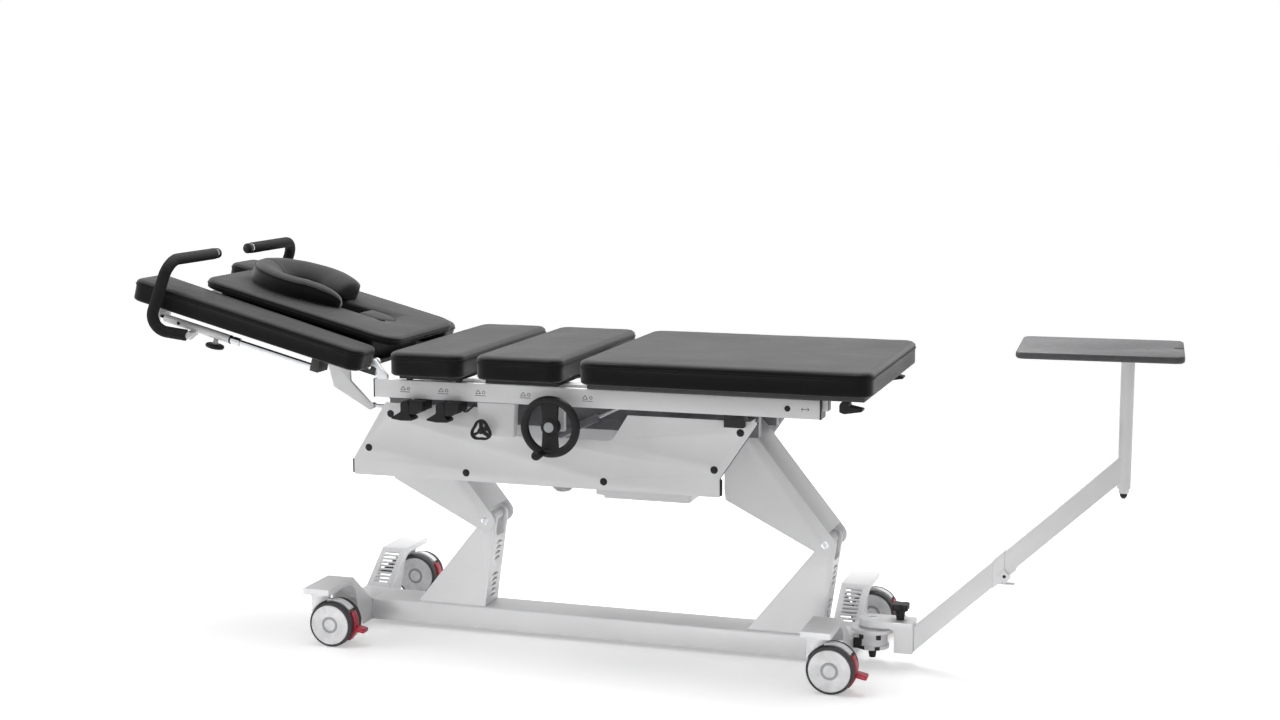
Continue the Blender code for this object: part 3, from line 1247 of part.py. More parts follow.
def lever_housings(parent, origin):
    """Stepped housings of both release paddles and the short cable that joins them to the clamp."""
    for index in (0, 1):
        x0 = LEVER_HOUSING_X + index * LEVER_PITCH
        x1 = x0 + LEVER_HOUSING_LENGTH
        step = LEVER_HOUSING_LENGTH / 4
        outline = [(x0, RAIL_BASE - GAP), (x0, LEVER_HOUSING_BASE), (x1 - 2 * step, LEVER_HOUSING_BASE),
                   (x1 - step, LEVER_HOUSING_BASE + step), (x1, LEVER_HOUSING_BASE + step), (x1, RAIL_BASE - GAP)]
        finish("lever_housing_%d" % (index + 1), prism(outline, "Y", -LEVER_OUTER_Y, -CONTROL_INNER_Y),
               black_plastic, parent, origin)
    start = Vector((x1 + GAP, -GEAR_OUTER_Y, RAIL_BASE - 3 * step + CABLE_RADIUS))
    stop = Vector((GEAR_HEAD_X - GAP, -GEAR_OUTER_Y + 2 * CABLE_RADIUS, RAIL_BASE - 3 * CABLE_RADIUS))
    lead = 2 * CABLE_RADIUS
    run = stop.x - start.x - 2 * lead
    route = [(start.x, start.y, start.z)]
    for i in range(9):
        share = i / 8
        ease = share * share * (3 - 2 * share)
        route.append((start.x + lead + run * share, start.y + (stop.y - start.y) * ease,
                      start.z + (stop.z - start.z) * ease))
    route.append((stop.x, stop.y, stop.z))
    finish("release_cable", tube_along(route, CABLE_RADIUS, 8), black_plastic, parent, origin)


def paddle(index, parent):
    """A release paddle: a barrel under the rail with a scooped blade."""
    x = LEVER_PIVOT_X + index * LEVER_PITCH
    z = LEVER_PIVOT_Z
    low_z = z - LEVER_TIP_DROP
    outline = [(x - LEVER_PIVOT_RADIUS, z), (x - LEVER_PIVOT_RADIUS, low_z + 2.5 * LEVER_BLADE),
               (x - LEVER_TIP_REACH, low_z + LEVER_BLADE / 2), (x - LEVER_TIP_REACH, low_z),
               (x - LEVER_HEEL_REACH / 2, low_z - LEVER_BLADE / 2), (x + LEVER_HEEL_REACH, low_z - LEVER_BLADE / 3),
               (x + LEVER_HEEL_REACH, low_z + LEVER_BLADE / 2), (x + LEVER_PIVOT_RADIUS, low_z + 1.5 * LEVER_BLADE),
               (x + LEVER_PIVOT_RADIUS, z)]
    radii = [0, LEVER_BLADE, LEVER_BLADE / 2, LEVER_BLADE / 2, LEVER_BLADE, LEVER_BLADE / 3, LEVER_BLADE / 3,
             LEVER_BLADE / 2, 0]
    outer = LEVER_OUTER_Y - WELD_OVERLAP
    blade = prism(rounded(outline, radii, 3), "Y", -outer, -outer + LEVER_PADDLE_WIDTH)
    barrel = cylinder("Y", x, z, LEVER_PIVOT_RADIUS, -LEVER_OUTER_Y, -outer + LEVER_PADDLE_WIDTH + WELD_OVERLAP)
    finish("paddle_%d" % (index + 1), fuse(blade, barrel), black_plastic, parent, (x, -LEVER_OUTER_Y, z))


# Tilt strut


def strut_direction():
    return Vector((STRUT_HEAD_X - STRUT_BASE_X, 0, STRUT_HEAD_Z - STRUT_BASE_Z))


def tilt_strut(parent):
    """A pressure strut: its tube turns on the lift frame, its rod reaches the top frame."""
    base = Vector((STRUT_BASE_X, -STRUT_Y, STRUT_BASE_Z))
    line = strut_direction()
    head = base + line
    unit = line.normalized()
    eye = STRUT_RADIUS * 0.8
    tube_end = base + line * STRUT_TUBE_SHARE
    tube = tube_along([base, tube_end], STRUT_RADIUS, ROUND_SIDES // 2)
    bore = tube_along([base + unit * 2 * STRUT_RADIUS, tube_end + unit * STRUT_RADIUS],
                      STRUT_ROD_RADIUS + RUNNING_GAP, SMALL_SIDES)
    knuckle = cylinder("Y", base.x, base.z, STRUT_RADIUS, base.y - STRUT_RADIUS, base.y + STRUT_RADIUS, SMALL_SIDES)
    hole = cylinder("Y", base.x, base.z, STRUT_ROD_RADIUS + RUNNING_GAP, base.y - 2 * STRUT_RADIUS,
                    base.y + 2 * STRUT_RADIUS, SMALL_SIDES)
    finish("strut_tube", cut(fuse(tube, knuckle), bore, hole), lambda n: material(n, (0.5, 0.5, 0.52), 0.35, 0.6),
           parent, base)
    start = base + unit * (2 * STRUT_RADIUS + line.length * 0.12)
    rod = tube_along([start, head], STRUT_ROD_RADIUS, SMALL_SIDES)
    end = cylinder("Y", head.x, head.z, eye, head.y - STRUT_RADIUS, head.y + STRUT_RADIUS, SMALL_SIDES)
    finish("strut_rod", fuse(rod, end), polished_steel, parent, base)


# Sliding carriage and leg section


def thoracic_foot_x():
    return THORACIC_HEAD_X + THORACIC_LENGTH


def lumbar_head_x():
    return thoracic_foot_x() + CUSHION_SPLIT


def lumbar_foot_x():
    return lumbar_head_x() + LUMBAR_LENGTH


def leg_head_x():
    return lumbar_foot_x() + LEG_GAP


def leg_foot_x():
    return leg_head_x() + LEG_LENGTH


def carriage(parent, origin):
    """Inner rails on the ledges of the outer ones, with the beam and pins of the leg hinge."""
    ledge = RAIL_BASE + RAIL_LEDGE_HEIGHT + GAP
    rails = both_sides(lambda: box(INNER_RAIL_HEAD_END, INNER_RAIL_FOOT_END, -INNER_RAIL_OUTER_Y,
                                   -INNER_RAIL_INNER_Y, ledge, INNER_RAIL_TOP))
    beam_top = ledge + HINGE_BEAM_HEIGHT
    beam = box(LEG_HINGE_X - HINGE_BEAM_WIDTH / 2, LEG_HINGE_X + HINGE_BEAM_WIDTH / 2,
               -INNER_RAIL_INNER_Y - WELD_OVERLAP, INNER_RAIL_INNER_Y + WELD_OVERLAP, ledge + WELD_OVERLAP, beam_top)
    parts = [rails[1], beam]
    inner = LEG_LUG_Y - LEG_LUG_THICK / 2
    outer = LEG_LUG_Y + LEG_LUG_THICK / 2 + RUNNING_GAP
    for side in (-1, 1):
        eye = arc(LEG_HINGE_X, LEG_HINGE_Z, LEG_HINGE_RADIUS, 0, pi, 2 * CORNER_STEPS)
        outline = eye + [(LEG_HINGE_X - LEG_HINGE_RADIUS, beam_top - WELD_OVERLAP),
                         (LEG_HINGE_X + LEG_HINGE_RADIUS, beam_top - WELD_OVERLAP)]
        parts.append(prism(outline, "Y", *sorted((side * outer, side * (outer + LEG_LUG_THICK / 2)))))
        parts.append(cylinder("Y", LEG_HINGE_X, LEG_HINGE_Z, LEG_PIN_RADIUS,
                              *sorted((side * inner, side * (outer + WELD_OVERLAP))), SMALL_SIDES))
    half = CUSHION_HALF_WIDTH - CUSHION_BOARD_INSET
    inset = CUSHION_BOARD_INSET / 2
    board = box(lumbar_head_x() + inset, lumbar_foot_x() - inset, -half, half, INNER_RAIL_TOP - WELD_OVERLAP,
                CUSHION_BASE - GAP)
    finish("carriage_frame", fuse(rails[0], board, *parts), white_paint, parent, origin)


def leg_board(parent):
    """The leg section's board with the two hinge lugs under its head end."""
    half = CUSHION_HALF_WIDTH - LEG_BOARD_INSET
    base = INNER_RAIL_TOP + GAP
    board = box(leg_head_x() + LEG_BOARD_INSET, leg_foot_x() - LEG_BOARD_INSET, -half, half, base, CUSHION_BASE - GAP)
    lugs = []
    for side in (-1, 1):
        low, high = sorted((side * (LEG_LUG_Y - LEG_LUG_THICK / 2), side * (LEG_LUG_Y + LEG_LUG_THICK / 2)))
        eye = arc(LEG_HINGE_X, LEG_HINGE_Z, LEG_HINGE_RADIUS, pi / 2, 3 * pi / 2, 2 * CORNER_STEPS)
        reach = LEG_HINGE_X + 2 * HINGE_BEAM_WIDTH
        outline = eye + [(LEG_HINGE_X + HINGE_BEAM_WIDTH, LEG_HINGE_Z - LEG_HINGE_RADIUS),
                         (reach, base - WELD_OVERLAP), (reach, base + WELD_OVERLAP),
                         (LEG_HINGE_X + HINGE_BEAM_WIDTH / 2, LEG_HINGE_Z + LEG_HINGE_RADIUS)]
        lug = prism(outline, "Y", low, high)
        lugs.append(cut(lug, cylinder("Y", LEG_HINGE_X, LEG_HINGE_Z, LEG_PIN_RADIUS + RUNNING_GAP,
                                      low - CUT_OVERRUN, high + CUT_OVERRUN, SMALL_SIDES)))
    finish("leg_board", fuse(board, *lugs), lambda n: material(n, (0.06, 0.06, 0.06), 0.7), parent,
           (LEG_HINGE_X, 0, LEG_HINGE_Z))


def foot_lever(y_side, parent):
    """A release lever at the foot end: a barrel under the board with a finger blade."""
    x = FOOT_LEVER_X
    z = INNER_RAIL_TOP - FOOT_LEVER_RADIUS - GAP
    half = FOOT_LEVER_WIDTH / 2
    middle = y_side * FOOT_LEVER_Y
    outline = [(x - FOOT_LEVER_RADIUS, z), (x - FOOT_LEVER_RADIUS, z - FOOT_LEVER_DROP),
               (x, z - FOOT_LEVER_DROP - FOOT_LEVER_RADIUS / 3),
               (x + FOOT_LEVER_REACH, z - FOOT_LEVER_RADIUS), (x + FOOT_LEVER_REACH, z - FOOT_LEVER_RADIUS / 2),
               (x + FOOT_LEVER_RADIUS, z)]
    blade = prism(rounded(outline, [0, SHEET, SHEET, SHEET / 2, SHEET / 2, 0], 3), "Y",
                  middle - half + WELD_OVERLAP, middle + half - WELD_OVERLAP)
    barrel = cylinder("Y", x, z, FOOT_LEVER_RADIUS, middle - half, middle + half)
    finish("foot_lever_near" if y_side < 0 else "foot_lever_far", fuse(blade, barrel), black_plastic, parent,
           (x, middle, z))


# Upholstery

# Each row: how far the wall is drawn in, as a share of the plump, and its height share below the seam
SIDE_SHARES = ((1.6, 0.0), (0.6, 0.08), (0.9, 0.5), (0.5, 0.94), (0.0, 1.0))
# Each row: how far the crown is drawn in, as a share of the crown's rise, and its height share above the seam
CROWN_SHARES = ((0.10, 0.08), (0.22, 0.50), (0.65, 0.86), (1.6, 0.99))
CROWN_RING_SHARES = (0.62, 0.25)


def inset_outline(points, depth):
    """The outline moved inwards by the depth along each corner's normal."""
    result = []
    count = len(points)
    for i in range(count):
        here = Vector(points[i])
        before = (here - Vector(points[i - 1])).normalized()
        after = (Vector(points[(i + 1) % count]) - here).normalized()
        middle = (before + after).normalized()
        spread = max(middle.dot(after), 0.5)
        result.append(here + Vector((-middle.y, middle.x)) * (depth / spread))
    return result


def cushion(outline, base, seam, top, plump=CUSHION_PLUMP):
    """An upholstered pad: drawn-in sides, a proud seam and a crowned top."""
    levels = [(plump * share, base + (seam - base) * height) for share, height in SIDE_SHARES]
    rise = top - seam
    levels += [(rise * share, seam + rise * height) for share, height in CROWN_SHARES]
    shape = bmesh.new()
    rows = []
    for inset, z in levels:
        rows.append([shape.verts.new((p.x, p.y, z)) for p in inset_outline(outline, inset)])
    last = [v.co.copy() for v in rows[-1]]
    centre = sum(last, Vector()) / len(last)
    for share in CROWN_RING_SHARES:
        rows.append([shape.verts.new((centre.x + (p.x - centre.x) * share, centre.y + (p.y - centre.y) * share, top))
                     for p in last])
    shape.faces.new(rows[0][::-1])
    for lower, upper in zip(rows, rows[1:]):
        for i in range(len(lower)):
            j = (i + 1) % len(lower)
            shape.faces.new((lower[i], lower[j], upper[j], upper[i]))
    shape.faces.new(rows[-1])
    return raw(shape)


def plain_cushion(name, x0, x1, parent, origin=(0, 0, 0)):
    outline = rounded(rectangle(x0, x1, -CUSHION_HALF_WIDTH, CUSHION_HALF_WIDTH), CUSHION_CORNER)
    finish(name, cushion(outline, CUSHION_BASE, CUSHION_SEAM, CUSHION_TOP), black_vinyl, parent, origin)


# Head section


def head_space(x, z):
    """Where a point of the level head section lies once the section is tilted."""
    dx, dz = x - HEAD_HINGE_X, z - HEAD_HINGE_Z
    return (HEAD_HINGE_X + dx * cos(HEAD_TILT) + dz * sin(HEAD_TILT),
            HEAD_HINGE_Z - dx * sin(HEAD_TILT) + dz * cos(HEAD_TILT))


def finish_head(name, solid, look, pivot, origin=(HEAD_HINGE_X, 0, HEAD_HINGE_Z)):
    obj = finish(name, solid, look, pivot, origin)
    obj.location = Vector(origin) - Vector((HEAD_HINGE_X, 0, HEAD_HINGE_Z))
    return obj


def board_top():
    return BOLSTER_BASE - GAP


def head_frame(pivot):
    """The head board with its face opening, hinge lugs, rod hangers and the spring's arm."""
    base = board_top() - HEAD_BOARD_THICK
    top = board_top()
    board = box(HEAD_BOARD_HEAD_X, HEAD_BOARD_FOOT_X - CUSHION_BOARD_INSET / 2, -HEAD_BOARD_HALF_WIDTH,
                HEAD_BOARD_HALF_WIDTH, base, top)
    slot = rectangle(FACE_SLOT_HEAD_X, TONGUE_HEAD_X - CUSHION_BOARD_INSET / 2, -FACE_SLOT_HALF_WIDTH,
                     FACE_SLOT_HALF_WIDTH)
    board = cut(board, prism(rounded(slot, FACE_SLOT_HALF_WIDTH * 0.9), "Z", base - CUT_OVERRUN, top + CUT_OVERRUN))
    parts = []
    lug_outer = RAIL_OUTER_Y - RAIL_WALL_WIDTH - WELD_OVERLAP
    for side in (-1, 1):
        low, high = sorted((side * (lug_outer - HEAD_LUG_THICK), side * lug_outer))
        radius = HEAD_HINGE_RADIUS
        eye = arc(HEAD_HINGE_X, HEAD_HINGE_Z, radius, 0, pi, 2 * CORNER_STEPS)
        lug = eye + [(HEAD_HINGE_X - 1.3 * radius, top - WELD_OVERLAP),
                     (HEAD_BOARD_FOOT_X - CUSHION_BOARD_INSET, top - WELD_OVERLAP),
                     (HEAD_BOARD_FOOT_X - CUSHION_BOARD_INSET, base), (HEAD_HINGE_X + radius / 2, base)]
        lug = prism(lug, "Y", low, high)
        parts.append(cut(lug, cylinder("Y", HEAD_HINGE_X, HEAD_HINGE_Z, HEAD_PIN_RADIUS + RUNNING_GAP,
                                       low - CUT_OVERRUN, high + CUT_OVERRUN, SMALL_SIDES)))
        low, high = sorted((side * (HEAD_BOARD_HALF_WIDTH - WELD_OVERLAP), side * (SLIDE_Y + SLIDE_RADIUS)))
        for x in (HANGER_HEAD_X - HANGER_THICK, HANGER_FOOT_X):
            parts.append(box(x, x + HANGER_THICK, low, high, SLIDE_Z - HANGER_DROP, top - WELD_OVERLAP / 2))
    arm = [(ARM_TOP_HEAD_X, base + WELD_OVERLAP), (ARM_TOP_HEAD_X, base - HEAD_BOARD_THICK),
           (ARM_KNEE_HEAD_X, ARM_KNEE_HEAD_Z)]
    arm += arc(ARM_END_X, ARM_END_Z, ARM_END_RADIUS, radians(-115), radians(50), 2 * CORNER_STEPS)
    arm += [(ARM_KNEE_FOOT_X, ARM_KNEE_FOOT_Z), (ARM_TOP_FOOT_X, base - HEAD_BOARD_THICK / 2),
            (ARM_TOP_FOOT_X, base + WELD_OVERLAP)]
    parts.append(prism(arm, "Y", -ARM_Y - ARM_THICK / 2, -ARM_Y + ARM_THICK / 2))
    parts += both_sides(lambda: cylinder("X", -SLIDE_Y, SLIDE_Z, SLIDE_ROD_RADIUS, HANGER_HEAD_X - WELD_OVERLAP,
                                         HANGER_FOOT_X + WELD_OVERLAP, SMALL_SIDES))
    finish_head("head_frame", fuse(board, *parts), white_paint, pivot)


def head_hinges():
    """Steel hinge brackets on the rails' head ends, with the hinge pins."""
    radius = HEAD_HINGE_RADIUS
    x, z = HEAD_HINGE_X, HEAD_HINGE_Z
    eye = arc(x, z, radius, radians(30), radians(270), 3 * CORNER_STEPS)
    foot = RAIL_TOP - WELD_OVERLAP
    outline = eye + [(x + 0.9 * radius, z - 1.6 * radius), (x + 0.9 * radius, foot),
                     (x + 4 * radius, foot), (x + 4 * radius, RAIL_TOP + radius),
                     (x + 2.4 * radius, z - 1.6 * radius)]
    inner = RAIL_OUTER_Y - RAIL_WALL_WIDTH - WELD_OVERLAP - HEAD_LUG_THICK

    def make():
        bracket = prism(outline, "Y", -HEAD_LUG_Y - HEAD_LUG_THICK, -HEAD_LUG_Y)
        pin = cylinder("Y", x, z, HEAD_PIN_RADIUS, -HEAD_LUG_Y - WELD_OVERLAP, -inner, SMALL_SIDES)
        return fuse(bracket, pin)
    return both_sides(make)


def bolster_outline():
    return [(BOLSTER_HEAD_X, -BOLSTER_OUTER_Y), (BOLSTER_FOOT_X, -BOLSTER_OUTER_Y),
            (BOLSTER_FOOT_X, -BOLSTER_INNER_FOOT_Y), (BOLSTER_HEAD_X, -BOLSTER_INNER_HEAD_Y)]


def head_upholstery(pivot):
    near = cushion(rounded(bolster_outline(), [CUSHION_CORNER * 0.75, CUSHION_CORNER, CUSHION_CORNER / 2,
                                               CUSHION_CORNER * 0.75]), BOLSTER_BASE, BOLSTER_SEAM, BOLSTER_TOP)
    far = mirrored(near)
    finish_head("bolster_near", near, black_vinyl, pivot)
    finish_head("bolster_far", far, black_vinyl, pivot)
    pad_outline = rounded(rectangle(HEAD_PAD_HEAD_X, HEAD_PAD_FOOT_X, -HEAD_PAD_HALF_WIDTH, HEAD_PAD_HALF_WIDTH),
                          HEAD_PAD_CORNER, 6)
    pad = cushion(pad_outline, HEAD_PAD_BASE, HEAD_PAD_SEAM, HEAD_PAD_TOP, CUSHION_PLUMP / 2)
    core = box(HEAD_PAD_HEAD_X + CUSHION_BOARD_INSET, HEAD_BOARD_FOOT_X - CUSHION_BOARD_INSET, -HEAD_CORE_HALF_WIDTH,
               HEAD_CORE_HALF_WIDTH, BOLSTER_BASE, HEAD_PAD_BASE + WELD_OVERLAP)
    slot = rounded(rectangle(FACE_SLOT_HEAD_X, FACE_SLOT_FOOT_X, -FACE_SLOT_HALF_WIDTH, FACE_SLOT_HALF_WIDTH),
                   [FACE_SLOT_HALF_WIDTH * 0.9, FACE_SLOT_HALF_WIDTH / 2, FACE_SLOT_HALF_WIDTH / 2,
                    FACE_SLOT_HALF_WIDTH * 0.9])
    pad = cut(fuse(pad, core), prism(slot, "Z", BOLSTER_BASE - CUT_OVERRUN, HEAD_PAD_TOP + CUT_OVERRUN))
    half = FACE_SLOT_HALF_WIDTH - TONGUE_GAP
    tongue = rounded(rectangle(TONGUE_HEAD_X, FACE_SLOT_FOOT_X - TONGUE_GAP, -half, half),
                     [FACE_SLOT_HALF_WIDTH / 4, FACE_SLOT_HALF_WIDTH / 2, FACE_SLOT_HALF_WIDTH / 2,
                      FACE_SLOT_HALF_WIDTH / 4])
    insert = cushion(tongue, BOLSTER_BASE, HEAD_PAD_SEAM, TONGUE_TOP, CUSHION_PLUMP / 4)
    finish_head("head_cushion", pad, black_vinyl, pivot)
    finish_head("tongue_pad", insert, black_vinyl, pivot)
    finish_head("face_pillow", face_pillow(), black_vinyl, pivot)


def pillow_base():
    return HEAD_PAD_TOP + GAP


def face_pillow():
    """A horseshoe of squashed section, open to the foot end, flat below."""
    start = radians(62)
    path = arc(PILLOW_X, 0, PILLOW_MID_RADIUS, start, 2 * pi - start, 16)
    tip = Vector(path[0])
    lead = [(tip.x + PILLOW_ARM_LENGTH * share, tip.y * (1 - 0.12 * share)) for share in (0.45, 0.25)]
    path = lead + path + [(x, -y) for x, y in reversed(lead)]
    thickness = PILLOW_TOP - pillow_base()
    sides = 12
    shape = bmesh.new()
    rows = []
    last = len(path) - 1
    for i, point in enumerate(path):
        here = Vector(point)
        ahead = (Vector(path[min(i + 1, last)]) - Vector(path[max(i - 1, 0)])).normalized()
        across = Vector((-ahead.y, ahead.x))
        taper = min(1.0, 0.62 + 0.19 * min(i, last - i))
        row = []
        for k in range(sides):
            turn = 2 * pi * k / sides
            wide = PILLOW_HALF_WIDTH * taper * cos(turn)
            rise = max(sin(turn), -0.62)
            height = thickness * taper * (rise + 0.62) / 1.62
            row.append(shape.verts.new((here.x + across.x * wide, here.y + across.y * wide, pillow_base() + height)))
        rows.append(row)
    for lower, upper in zip(rows, rows[1:]):
        for k in range(sides):
            j = (k + 1) % sides
            shape.faces.new((lower[k], lower[j], upper[j], upper[k]))
    shape.faces.new(rows[0][::-1])
    shape.faces.new(rows[-1])
    return raw(shape)


def grip(y_side, pivot):
    """A foam-covered grip on its sliding tube, with the clamp knob below."""
    side = "near" if y_side < 0 else "far"
    tube = cylinder("X", y_side * SLIDE_Y, SLIDE_Z, SLIDE_RADIUS, SLIDE_HEAD_X, SLIDE_FOOT_X)
    start = Vector(GRIP_START)
    lug = [(SLIDE_Y, SLIDE_Z - SLIDE_RADIUS / 2), (SLIDE_Y, SLIDE_Z - 1.5 * SLIDE_RADIUS),
           (start.y, start.z - GRIP_RADIUS * 0.6), (start.y + GRIP_RADIUS * 0.6, start.z),
           (start.y, start.z + GRIP_RADIUS * 0.6)]
    lug = prism([(y_side * y, z) for y, z in lug], "X", start.x - WELD_OVERLAP, start.x + GRIP_LUG_THICK)
    bore = cylinder("X", y_side * SLIDE_Y, SLIDE_Z, SLIDE_ROD_RADIUS + RUNNING_GAP,
                    SLIDE_HEAD_X - CUT_OVERRUN, SLIDE_FOOT_X + CUT_OVERRUN, SMALL_SIDES)
    tube = cut(fuse(tube, lug), bore)
    route = [Vector((x, y_side * y, z)) for x, y, z in (GRIP_START, GRIP_LOWER, GRIP_UPPER, GRIP_END)]
    run = smooth_path(route, GRIP_BEND)
    bar = square_started(tube_along(run, GRIP_RADIUS, SMALL_SIDES), y_side)
    finish_head("grip_" + side, fuse(bar, tube), black_vinyl, pivot)
    disc = lathe([(0, CLAMP_DISC_Z - CLAMP_DISC_THICK / 2),
                  (CLAMP_DISC_RADIUS - CLAMP_DISC_THICK / 3, CLAMP_DISC_Z - CLAMP_DISC_THICK / 2),
                  (CLAMP_DISC_RADIUS, CLAMP_DISC_Z), (CLAMP_DISC_RADIUS - CLAMP_DISC_THICK / 3,
                                                      CLAMP_DISC_Z + CLAMP_DISC_THICK / 2),
                  (CLAMP_STEM_RADIUS, CLAMP_DISC_Z + CLAMP_DISC_THICK / 2),
                  (CLAMP_STEM_RADIUS, SLIDE_Z - SLIDE_RADIUS - GAP), (0, SLIDE_Z - SLIDE_RADIUS - GAP)],
                 "Z", CLAMP_X, y_side * SLIDE_Y, SMALL_SIDES + 4)
    finish_head("clamp_knob_" + side, disc, black_plastic, pivot, (CLAMP_X, y_side * SLIDE_Y, CLAMP_DISC_Z))


def square_started(solid, y_side):
    """Trims the grip's start to the plane across X where the lug begins."""
    x, y, z = GRIP_START
    reach = 2 * GRIP_RADIUS
    return cut(solid, box(x, x + reach, *sorted((y_side * (y - reach), y_side * (y + reach))), z - reach, z + reach))


def head_spring(top_parent, origin, pivot):
    """The spring's tube under the top frame and the rod that ends beside the head frame's arm."""
    eye_x, eye_z = head_space(ARM_END_X, ARM_END_Z)
    foot = CROSS_PLACES[1] - SHEET - GAP
    tube = cylinder("X", -SPRING_Y, eye_z, SPRING_RADIUS, SPRING_HEAD_X, foot)
    bore = cylinder("X", -SPRING_Y, eye_z, SPRING_ROD_RADIUS + RUNNING_GAP, SPRING_HEAD_X - CUT_OVERRUN,
                    foot - SPRING_RADIUS, SMALL_SIDES)
    finish("head_spring_tube", cut(tube, bore), lambda n: material(n, (0.5, 0.5, 0.52), 0.35, 0.6), top_parent, origin)
    rod = cylinder("X", -SPRING_Y, eye_z, SPRING_ROD_RADIUS, eye_x, SPRING_ROD_FOOT_X, SMALL_SIDES)
    eye = cylinder("Y", eye_x, eye_z, SPRING_EYE_RADIUS, -ARM_Y + ARM_THICK / 2 + GAP,
                   -SPRING_Y + SPRING_EYE_THICK / 2, SMALL_SIDES)
    finish("head_spring_rod", fuse(rod, eye), polished_steel, top_parent, (eye_x, -SPRING_Y, eye_z))


# Traction arm


def index_hub(root):
    """The fixed hub: lower plate, drum, perforated index disc and the swing pin."""
    profile = [(0, HUB_FOOT_BASE), (HUB_FOOT_RADIUS * 0.8, HUB_FOOT_BASE),
               (HUB_FOOT_RADIUS, HUB_FOOT_BASE + HUB_FOOT_RADIUS), (HUB_FOOT_RADIUS, HUB_PLATE_BASE),
               (HUB_PLATE_RADIUS, HUB_PLATE_BASE),
               (HUB_PLATE_RADIUS, HUB_PLATE_BASE + HUB_PLATE_THICK), (DRUM_RADIUS, HUB_PLATE_BASE + HUB_PLATE_THICK),
               (DRUM_RADIUS, INDEX_BASE), (INDEX_RADIUS, INDEX_BASE), (INDEX_RADIUS, INDEX_BASE + INDEX_THICK),
               (SWING_PIN_RADIUS, INDEX_BASE + INDEX_THICK), (SWING_PIN_RADIUS, SWING_PLATE_TOP - GAP),
               (0, SWING_PLATE_TOP - GAP)]
    body = lathe(profile, "Z", SWIVEL_X, 0, WHEEL_SIDES)
    neck = box(outrigger_foot_side(1) + GAP, SWIVEL_X, -HUB_NECK_HALF_WIDTH, HUB_NECK_HALF_WIDTH,
               HUB_PLATE_BASE + WELD_OVERLAP, BEAM_TOP)
    body = fuse(body, neck)
    ring_radius = INDEX_RADIUS * INDEX_HOLE_RING_SHARE
    holes = []
    for k in range(INDEX_HOLES):
        turn = INDEX_HOLE_SPREAD * (2 * k / (INDEX_HOLES - 1) - 1)
        holes.append(cylinder("Z", SWIVEL_X + ring_radius * cos(turn), ring_radius * sin(turn), INDEX_HOLE_RADIUS,
                              INDEX_BASE - CUT_OVERRUN, INDEX_BASE + INDEX_THICK + CUT_OVERRUN, 6))
    body = cut(body, group(*holes))
    bumpers = []
    for turn in (radians(-125), radians(-58)):
        bumpers.append(cylinder("Z", SWIVEL_X + DRUM_RADIUS * cos(turn), DRUM_RADIUS * sin(turn), BUMPER_RADIUS,
                                INDEX_BASE - BUMPER_LENGTH, INDEX_BASE + WELD_OVERLAP, SMALL_SIDES))
    finish("index_hub", fuse(body, *bumpers), white_paint, root)


